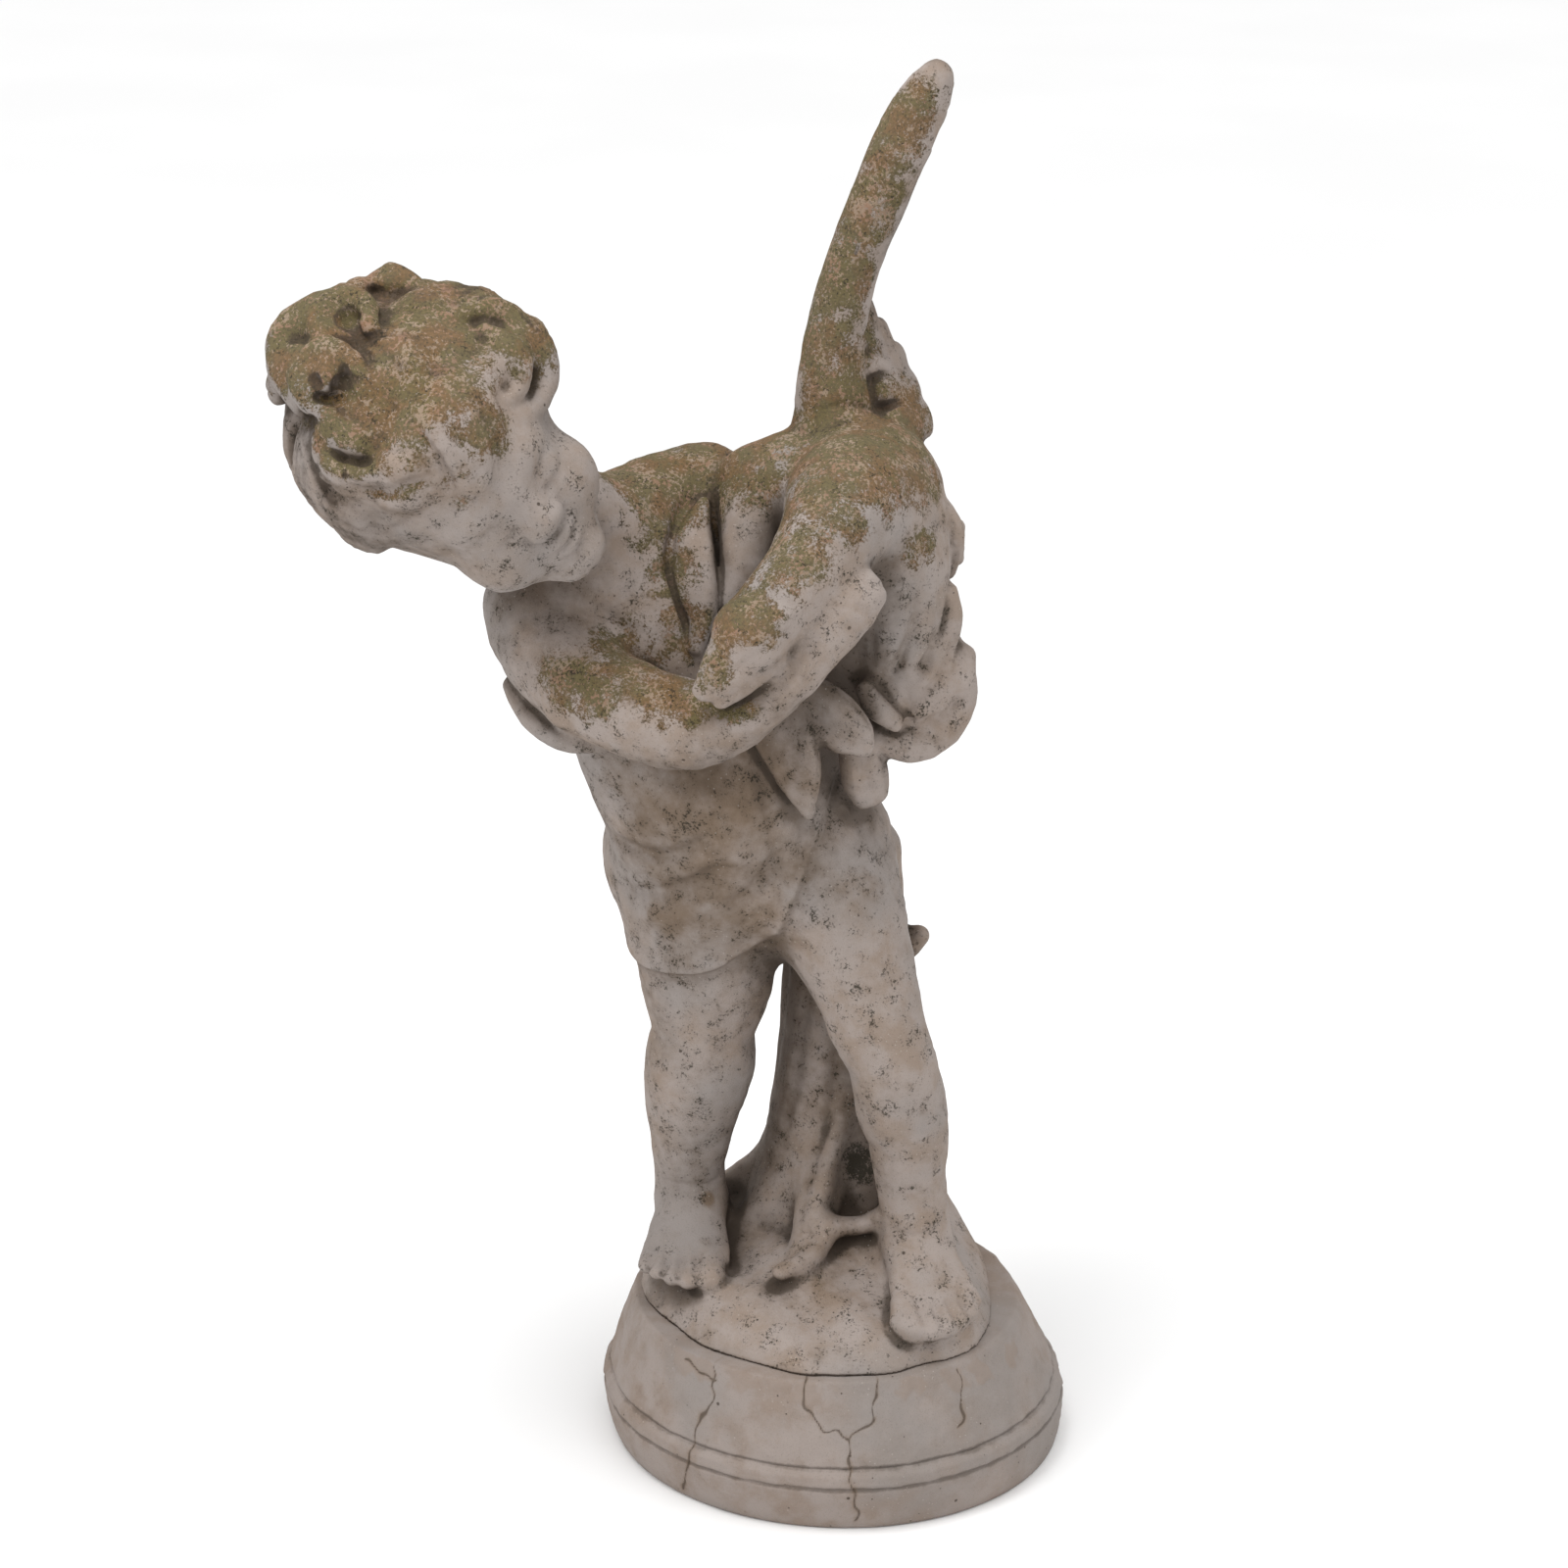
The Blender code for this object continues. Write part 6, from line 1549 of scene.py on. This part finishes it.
@dataclass
class Plinth:
    """The turned foot that the casting stands on, spun ring by ring from its profile."""

    height: float
    foot_radius: float = 0.166
    band_height: float = 0.0350
    band_bulge: float = 0.0035
    roll_height: float = 0.0145
    roll_radius: float = 0.1640
    groove_width: float = 0.0024
    groove_depth: float = 0.0018
    top_radius: float = 0.1400
    top_shift: tuple[float, float] = (-0.0095, -0.010)
    shoulder_bulge: float = 0.0010
    sides: int = 760
    spacing: float = 0.0014
    # Cracks and smears, x and y from the axis and z from the top, in millimetres
    cracks: tuple[Stations, ...] = (
        (
            (-84, -120, 2), (-90, -130, -13), (-91, -135, -27),
            (-103, -133, -51), (-105, -138, -68), (-109, -127, -102),
        ),
        ((-26, -149, 1), (-24, -155, -17), (-14, -161, -31), (-3, -162, -34), (8, -162, -39)),
        ((27, -146, -1), (25, -153, -17), (21, -157, -27), (8, -162, -39)),
        ((8, -162, -39), (7, -166, -60), (11, -171, -80), (12, -167, -101)),
        ((85, -118, -5), (88, -126, -26), (86, -134, -44)),
        ((-88, -130, -11), (-98, -120, -8), (-111, -109, -4)),
        ((-96, 118, 0), (-99, 124, -30), (-92, 138, -60), (-96, 140, -98)),
        ((60, 132, 0), (66, 134, -22), (58, 146, -48), (62, 152, -70)),
    )
    smears: tuple[Patch, ...] = (
        Patch((-110, -110, -4), 15),
        Patch((-96, -124, -3), 13),
        Patch((-68, -138, -3), 15),
        Patch((-46, -147, -4), 12),
        Patch((-24, -151, -5), 15),
        Patch((50, -141, -6), 13),
        Patch((84, -124, -10), 13),
        Patch((102, -107, -13), 12),
        Patch((123, -74, -14), 12),
    )

    def profile(self) -> list[tuple[float, float]]:
        """The outline as radius and height from the ground up, at its own corners."""
        band, roll = self.band_height, self.band_height + self.roll_height
        wide, start = self.foot_radius + self.band_bulge, self.roll_radius
        groove, deep = self.groove_width / 2, self.groove_depth
        foot = self.foot_radius
        rows = [(foot - 0.004, 0.0), (foot - 0.001, 0.0012), (foot, 0.004), (foot + 0.0014, 0.010)]
        rows += [(wide - 0.0008, band * 0.55), (wide, band - 2.2 * groove)]
        rows += [(wide - 0.4 * deep, band - groove), (wide - deep, band), (wide - 0.4 * deep, band + groove)]
        rows += [(wide, band + 2.4 * groove), ((wide + start) / 2 + 0.0016, roll - groove - 0.0045)]
        rows += [(start + 0.0004, roll - 1.2 * groove), (start - deep, roll), (start - 0.0005, roll + groove)]
        foot = roll + groove
        for i in range(1, 13):
            t = i / 12
            straight = start + (self.top_radius + 0.0010 - start) * t
            bulge = self.shoulder_bulge * math.sin(math.pi * t)
            rows.append((straight + bulge, foot + (self.height - 0.0018 - foot) * t))
        rows += [(self.top_radius - 0.0002, self.height - 0.0006), (self.top_radius - 0.0018, self.height)]
        return rows

    def rings(self) -> list[tuple[float, float]]:
        """The outline with its corners joined at an even spacing."""
        rows = [self.profile()[0]]
        for low, high in zip(self.profile()[:-1], self.profile()[1:]):
            count = max(1, round(math.dist(low, high) / self.spacing))
            for i in range(1, count + 1):
                t = i / count
                rows.append((low[0] + (high[0] - low[0]) * t, low[1] + (high[1] - low[1]) * t))
        return rows

    def build(self) -> bpy.types.Object:
        """The plinth's mesh, with numbers at its vertices for cracks and mortar.

        Returns:
            The finished object, at the origin.
        """
        deselect_all()
        rings = self.rings()
        radius, level = rings[0]
        bpy.ops.mesh.primitive_circle_add(
            vertices=self.sides, radius=radius, fill_type="TRIFAN", location=(0, 0, 0), enter_editmode=True
        )
        thing = bpy.context.object
        thing.name = thing.data.name = "plinth_stone"
        bpy.ops.mesh.select_all(action="SELECT")
        bpy.ops.mesh.normals_make_consistent(inside=True)
        bpy.ops.mesh.region_to_loop()
        for wider, higher in rings[1:]:
            bpy.ops.mesh.extrude_edges_move(TRANSFORM_OT_translate={"value": (0, 0, higher - level)})
            grow = wider / radius
            bpy.ops.transform.resize(value=(grow, grow, 1), center_override=(0, 0, higher))
            radius, level = wider, higher
        bpy.ops.mesh.edge_face_add()
        bpy.ops.mesh.inset(thickness=radius * 0.3)
        bpy.ops.mesh.merge(type="CENTER")
        bpy.ops.mesh.select_all(action="SELECT")
        bpy.ops.mesh.normals_make_consistent(inside=False)
        bpy.ops.object.mode_set(mode="OBJECT")
        self.wear(thing.data)
        thing.data.shade_smooth()
        return thing

    def wear(self, mesh: bpy.types.Mesh) -> None:
        """Leans the rings, wears them and opens the cracks.

        Args:
            mesh: The plain turned mesh.
        """
        places, normals = places_of(mesh), normals_of(mesh)
        lean = places[:, 2] / self.height
        places[:, 0] += self.top_shift[0] * lean
        places[:, 1] += self.top_shift[1] * lean
        at = places * 1000
        at[:, 2] -= self.height * 1000
        side = smooth_step(0.3, 0.8, np.linalg.norm(normals[:, :2], axis=1))
        crack = np.zeros(len(places))
        wander = np.stack([Waves(seed, 14).at(at) for seed in (21, 22, 23)], 1)
        for way in self.cracks:
            rows = unrolled(smooth_rows(way, 8))
            near = np.full(len(at), FAR)
            moved = unrolled(at + 1.6 * wander)
            for a, b in zip(rows[:-1], rows[1:]):
                run = b - a
                share = np.clip((moved - a) @ run / (run @ run), 0, 1)
                near = np.minimum(near, np.linalg.norm(moved - a - share[:, None] * run, axis=1))
            crack = np.maximum(crack, np.clip(1 - near / 5, 0, 1))
        smear = patches_at(self.smears, at + 3 * wander) * side
        lumps = 0.5 * Waves(7, 60).at(at) + 0.35 * Waves(8, 18).at(at) + 0.12 * Waves(9, 6).at(at)
        lumps = lumps * smooth_step(0.0, 8.0, at[:, 2] + self.height * 1000)
        drop = (lumps - 0.5 * smooth_step(0.7, 1.0, crack) + 0.9 * smear) * 0.001 * side
        places += normals * drop[:, None]
        inside = places[:, 2] > self.height - 1e-6
        places[inside, 2] = self.height
        place_vertices(mesh, places)
        store(mesh, "crack", crack)
        store(mesh, "smear", smear)
        groove = np.zeros(len(at))
        for level in (self.band_height, self.band_height + self.roll_height):
            groove = np.maximum(groove, 1 - smooth_step(0.8, 3.4, np.abs(places[:, 2] - level) * 1000))
        store(mesh, "hollow", groove * side)


Link = object


class Value:
    """A socket of a shader, on which the operators add Math nodes."""

    def __init__(self, graph: "Graph", socket: bpy.types.NodeSocket) -> None:
        """Wraps a socket of the graph."""
        self.graph, self.socket = graph, socket

    def math(self, operation: str, *values: Link) -> "Value":
        """A Math node's result on values."""
        return self.graph.node("ShaderNodeMath", {"operation": operation}, dict(enumerate(values)))

    def __add__(self, other: Link) -> "Value":
        """Adds."""
        return self.math("ADD", self, other)

    def __radd__(self, other: Link) -> "Value":
        """Adds, from the right."""
        return self.math("ADD", other, self)

    def __sub__(self, other: Link) -> "Value":
        """Takes away."""
        return self.math("SUBTRACT", self, other)

    def __rsub__(self, other: Link) -> "Value":
        """Takes away, from the right."""
        return self.math("SUBTRACT", other, self)

    def __mul__(self, other: Link) -> "Value":
        """Multiplies."""
        return self.math("MULTIPLY", self, other)

    def __rmul__(self, other: Link) -> "Value":
        """Multiplies, from the right."""
        return self.math("MULTIPLY", other, self)

    def higher(self, other: Link) -> "Value":
        """The higher of two values."""
        return self.math("MAXIMUM", self, other)

    def between(self, low: float, high: float) -> "Value":
        """0 at low and below, 1 at high and above, smooth between."""
        settings = {"interpolation_type": "SMOOTHSTEP"}
        values = {"Value": self, "From Min": low, "From Max": high}
        return self.graph.node("ShaderNodeMapRange", settings, values)


class Graph:
    """The nodes of one material."""

    def __init__(self, material: bpy.types.Material) -> None:
        """Clears the material's nodes."""
        material.use_nodes = True
        self.tree = material.node_tree
        self.tree.nodes.clear()
        self.place = self.node("ShaderNodeTexCoord", {}, {}, "Object")

    def node(self, kind: str, settings: dict, values: dict, output: str | int = 0) -> Value:
        """Adds a node.

        Args:
            kind: The node's type.
            settings: Its properties, set first.
            values: Values or links of its sockets, by name or number.
            output: The output wanted.

        Returns:
            That output.
        """
        made = self.tree.nodes.new(kind)
        for name, setting in settings.items():
            setattr(made, name, setting)
        for name, value in values.items():
            socket = made.inputs[name]
            if isinstance(value, Value):
                self.tree.links.new(value.socket, socket)
            else:
                socket.default_value = value
        return Value(self, made.outputs[output])

    def finish(self, shader: Value) -> None:
        """Leads the shader to the material's output."""
        out = self.tree.nodes.new("ShaderNodeOutputMaterial")
        self.tree.links.new(shader.socket, out.inputs["Surface"])

    def attribute(self, name: str) -> Value:
        """A number kept at the vertices."""
        return self.node("ShaderNodeAttribute", {"attribute_name": name}, {}, "Fac")

    def noise(self, size: float, detail: float = 3, rough: float = 0.55, bend: float = 0) -> Value:
        """Noise whose lumps are about size metres across."""
        values = {"Vector": self.place, "Scale": 1 / size, "Detail": detail}
        values |= {"Roughness": rough, "Distortion": bend}
        return self.node("ShaderNodeTexNoise", {}, values, "Fac")

    def cells(self, size: float, spread: float = 1) -> Value:
        """Distance to the nearest of scattered points about size metres apart, in cells."""
        values = {"Vector": self.place, "Scale": 1 / size, "Randomness": spread}
        return self.node("ShaderNodeTexVoronoi", {}, values, "Distance")

    def mix(self, amount: Link, below: Link, above: Link) -> Value:
        """A colour between two colours."""
        made = self.tree.nodes.new("ShaderNodeMix")
        made.data_type = "RGBA"
        for index, value in ((0, amount), (6, below), (7, above)):
            if isinstance(value, Value):
                self.tree.links.new(value.socket, made.inputs[index])
            elif index == 0:
                made.inputs[index].default_value = value
            else:
                made.inputs[index].default_value = (*value, 1)
        return Value(self, made.outputs[2])


class Weather(Enum):
    """How much of the garden has settled on a surface."""

    OVERGROWN = "overgrown"
    DUSTY = "dusty"


@dataclass(frozen=True)
class StoneFinish:
    """Cast stone left outdoors: pale where rain runs, mossy where it rests, dark where dirt lodges, with
    painted shade in hollows, under overhangs and on undersides.
    """

    name: str
    weather: Weather
    pale: tuple[float, float, float] = (0.345, 0.292, 0.262)
    warm: tuple[float, float, float] = (0.292, 0.228, 0.184)
    cool: tuple[float, float, float] = (0.278, 0.252, 0.238)
    dirt: tuple[float, float, float] = (0.055, 0.040, 0.029)
    # The darker colour of the painted shade and the damp grime
    shade_and_damp: tuple[float, float, float] = (0.100, 0.072, 0.052)
    olive: tuple[float, float, float] = (0.122, 0.098, 0.036)
    rust: tuple[float, float, float] = (0.165, 0.092, 0.034)
    humus: tuple[float, float, float] = (0.058, 0.044, 0.020)
    cream: tuple[float, float, float] = (0.340, 0.255, 0.190)
    coral: tuple[float, float, float] = (0.300, 0.180, 0.125)
    ochre: tuple[float, float, float] = (0.185, 0.126, 0.080)
    chalk: tuple[float, float, float] = (0.520, 0.480, 0.440)

    def dress(self, thing: bpy.types.Object) -> None:
        """Gives the stone to a piece.

        Args:
            thing: The piece.
        """
        material = bpy.data.materials.new(self.name)
        graph = Graph(material)
        grain = graph.noise(0.0011, 4, 0.75)
        patchy = graph.noise(0.030, 5, 0.62)
        broad = graph.noise(0.13, 4, 0.55)
        colour = graph.mix(patchy.between(0.38, 0.66), self.pale, self.warm)
        colour = graph.mix(broad.between(0.44, 0.64) * 0.7, colour, self.cool)
        colour = graph.mix(grain.between(0.52, 0.74) * 0.32, colour, self.dirt)
        if self.weather is Weather.OVERGROWN:
            colour, moss = self.growth(graph, colour)
            cracked = 0
        else:
            moss = 0
            colour, cracked = self.dust(graph, colour)
        pits = self.pits(graph)
        colour = graph.mix(pits * 0.85, colour, self.dirt)
        speck = (1 - graph.cells(0.0040).between(0.08, 0.17)) * graph.noise(0.03, 3).between(0.52, 0.62)
        colour = graph.mix(speck * 0.35, colour, self.chalk)
        crumbs = graph.noise(0.0021, 3, 0.65)
        height = grain * 0.30 + graph.noise(0.006, 4, 0.6) * 0.45 + moss * crumbs * 1.1
        height = height - pits * 1.2 - cracked * 1.5
        pitted = {"Height": height, "Strength": 0.55, "Distance": 0.0012}
        bump = graph.node("ShaderNodeBump", {}, pitted, "Normal")
        rough = graph.noise(0.03, 2) * 0.1 + 0.80 + moss * 0.08
        values = {"Base Color": colour, "Roughness": rough, "Normal": bump, "Specular IOR Level": 0.22}
        shader = graph.node("ShaderNodeBsdfPrincipled", {}, values, "BSDF")
        graph.finish(shader)
        thing.data.materials.clear()
        thing.data.materials.append(material)

    def pits(self, graph: Graph) -> Value:
        """Small holes left by air in the casting."""
        small = (1 - graph.cells(0.0085).between(0.050, 0.095)) * graph.noise(0.03, 2).between(0.48, 0.58)
        big = (1 - graph.cells(0.026).between(0.034, 0.060)) * graph.noise(0.06, 2).between(0.44, 0.56)
        return small.higher(big)

    def growth(self, graph: Graph, colour: Value) -> tuple[Value, Value]:
        """Dirt, stains and moss as the statue has them, with painted shade in its hollows, under overhangs and
        on undersides.

        Args:
            graph: The material's nodes.
            colour: The clean stone.

        Returns:
            The colour, and how much moss there is.
        """
        blotch = graph.noise(0.012, 5, 0.60)
        fine = graph.noise(0.0019, 4, 0.75)
        cloud = graph.noise(0.034, 4, 0.55)
        hollow = graph.attribute("hollow")
        shelter = graph.attribute("shelter")
        tan = (graph.attribute("stain") * 1.1 + (cloud - 0.5) * 2.2 + (blotch - 0.5) * 1.0).between(0.0, 1.25)
        colour = graph.mix(tan * 0.80, colour, self.ochre)
        # Painted shade with grime: the stored mask darkens the stone towards the damp shade colour
        shade_and_grime = graph.attribute("shade_and_grime") * 1.15 + (blotch - 0.5) * 0.9 + (cloud - 0.5) * 0.7
        shade_and_grime = shade_and_grime.between(0.08, 1.05)
        colour = graph.mix(shade_and_grime * 0.74, colour, self.shade_and_damp)
        moss = graph.attribute("moss")
        cover = moss * (hollow * 0.9 + 1.8) - 0.62 + (blotch - 0.5) * 3.4 + (cloud - 0.5) * 2.2
        cover = (cover + (fine - 0.5) * 3.8).between(-0.10, 0.35) * moss.between(0.02, 0.34)
        tone = graph.noise(0.026, 5, 0.62)
        green = graph.mix(tone.between(0.44, 0.60), self.olive, self.rust)
        green = graph.mix(fine.between(0.44, 0.60) * 0.62, green, self.humus)
        flake = graph.noise(0.0024, 3, 0.65)
        bare = graph.noise(0.018, 4, 0.6)
        colour = graph.mix(cover * 0.88, colour, green)
        crust = (flake + (bare - 0.5) * 0.7).between(0.55, 0.59) * cover
        scale = graph.mix(graph.noise(0.014, 3, 0.6).between(0.44, 0.60), self.cream, self.coral)
        colour = graph.mix(crust * 0.70, colour, scale)
        # Lodged dirt with painted shade: darkest in fine hollows and closed-in places, as dirt and as crease
        # shade
        lodged_dirt_and_shade = hollow * 2.2 + shelter * 0.40 + (blotch - 0.5) * 0.40 + (fine - 0.5) * 0.40
        lodged_dirt_and_shade = lodged_dirt_and_shade.between(0.42, 0.95)
        colour = graph.mix(lodged_dirt_and_shade * 0.80, colour, self.dirt)
        tuft = (graph.attribute("tuft") * 1.2 + (blotch - 0.5) * 3.0 + (fine - 0.5) * 4.0).between(0.35, 0.9)
        colour = graph.mix(tuft * 0.88, colour, (0.030, 0.026, 0.017))
        return colour, cover.higher(tuft)

    def dust(self, graph: Graph, colour: Value) -> tuple[Value, Value]:
        """Cracks, mortar smears and dust as the plinth has them.

        Args:
            graph: The material's nodes.
            colour: The clean stone.

        Returns:
            The colour, and how far the cracks are open.
        """
        blotch = graph.noise(0.015, 5, 0.65)
        crack = (graph.attribute("crack") + (blotch - 0.5) * 0.12).between(0.80, 0.96)
        smear = (graph.attribute("smear") + (blotch - 0.5) * 1.6).between(0.2, 0.8)
        groove = (graph.attribute("hollow") + (blotch - 0.5) * 2.4).between(0.25, 1.05)
        colour = graph.mix(smear * 0.55, colour, self.warm)
        colour = graph.mix(groove * 0.42, colour, self.dirt)
        stain = (graph.attribute("crack") + (blotch - 0.5) * 1.3).between(0.55, 1.1)
        colour = graph.mix(stain * 0.45, colour, self.ochre)
        colour = graph.mix(crack * 0.70, colour, self.dirt)
        return colour, crack * 0.6


@dataclass
class Studio:
    """A plain pale floor, soft light and the camera at the photograph's angle."""

    floor_radius: float = 14.0
    lens: float = 94.5
    eye: Point = (-0.0486, -2.7152, 1.5130)
    pitch: float = 20.44
    roll: float = 1.204

    def build(self) -> None:
        """Makes the floor, the lights, the world and the camera."""
        self.floor()
        self.lights()
        self.camera()
        scene = bpy.context.scene
        scene.view_settings.view_transform = "Standard"

    def floor(self) -> None:
        """A wide pale disc under the plinth."""
        deselect_all()
        bpy.ops.mesh.primitive_circle_add(vertices=96, radius=self.floor_radius, fill_type="NGON")
        disc = bpy.context.object
        disc.name = disc.data.name = "floor"
        material = bpy.data.materials.new("pale_floor")
        graph = Graph(material)
        tone = graph.mix(graph.noise(0.6, 2).between(0.3, 0.7), (0.93, 0.93, 0.93), (0.95, 0.95, 0.95))
        values = {"Base Color": tone, "Roughness": 0.9, "Specular IOR Level": 0.1}
        shader = graph.node("ShaderNodeBsdfPrincipled", {}, values, "BSDF")
        graph.finish(shader)
        disc.data.materials.append(material)

    def lights(self) -> None:
        """A white sky, its glow from above, and soft lamps overhead and at the front left."""
        world = bpy.data.worlds.new("studio")
        bpy.context.scene.world = world
        world.use_nodes = True
        back = world.node_tree.nodes["Background"]
        back.inputs["Color"].default_value = (1, 1, 1, 1)
        back.inputs["Strength"].default_value = 0.74
        glow = bpy.data.lights.new("glow", "SUN")
        glow.energy, glow.angle = 1.0, math.radians(60)
        above = bpy.data.objects.new("glow", glow)
        bpy.context.scene.collection.objects.link(above)
        above.rotation_euler = (math.radians(16), math.radians(5), 0)
        for name, place, size, power in (
            ("overhead", (-0.6, -0.5, 2.9), 0.9, 20),
            ("front_left", (-1.9, -1.5, 2.2), 0.9, 12),
        ):
            lamp = bpy.data.lights.new(name, "AREA")
            lamp.shape, lamp.size, lamp.energy = "DISK", size, power
            thing = bpy.data.objects.new(name, lamp)
            bpy.context.scene.collection.objects.link(thing)
            thing.location = place
            aim = np.array((0, 0, 0.5)) - np.array(place)
            pitch = math.acos(-aim[2] / float(np.linalg.norm(aim)))
            thing.rotation_euler = (pitch, 0, math.atan2(aim[1], aim[0]) - math.pi / 2)

    def camera(self) -> None:
        """The camera, fitted to the photograph's outline."""
        lens = bpy.data.cameras.new("camera")
        lens.sensor_width, lens.sensor_fit, lens.lens = 36.0, "HORIZONTAL", self.lens
        thing = bpy.data.objects.new("camera", lens)
        bpy.context.scene.collection.objects.link(thing)
        pitch, roll = math.radians(self.pitch), math.radians(self.roll)
        forward = np.array((0, math.cos(pitch), -math.sin(pitch)))
        right = np.array((1.0, 0.0, 0.0))
        up = np.cross(right, forward)
        side = right * math.cos(roll) + up * math.sin(roll)
        top = up * math.cos(roll) - right * math.sin(roll)
        turned = Matrix([(*side, 0), (*top, 0), (*-forward, 0), (0, 0, 0, 1)]).transposed()
        turned.translation = self.eye
        thing.matrix_world = turned
        bpy.context.scene.camera = thing


def main() -> None:
    """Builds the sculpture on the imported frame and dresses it."""
    logging.basicConfig(level=logging.INFO, format="%(message)s")
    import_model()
    _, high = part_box("plinth")
    bottom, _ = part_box("child_with_goose")
    plinth = Plinth(height=float(high.z))
    foot = plinth.build()
    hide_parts("plinth")
    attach(foot, "root")
    pale, warm, cool = (0.312, 0.264, 0.237), (0.262, 0.205, 0.168), (0.258, 0.232, 0.216)
    StoneFinish("plinth_stone_finish", Weather.DUSTY, pale, warm, cool).dress(foot)
    LOG.info("plinth_stone: %d faces", len(foot.data.polygons))
    radius = plinth.top_radius * MILLIMETRES - MOUND_INSET
    shift = (plinth.top_shift[0] * MILLIMETRES, plinth.top_shift[1] * MILLIMETRES)
    figure = Statue(float(bottom.z), radius, shift).build()
    figure.name = figure.data.name = "statue_stone"
    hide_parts("child_with_goose")
    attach(figure, "root")
    StoneFinish("figure_stone_finish", Weather.OVERGROWN).dress(figure)
    LOG.info("statue_stone: %d faces", len(figure.data.polygons))
    Studio().build()


if __name__ == "__main__":
    main()
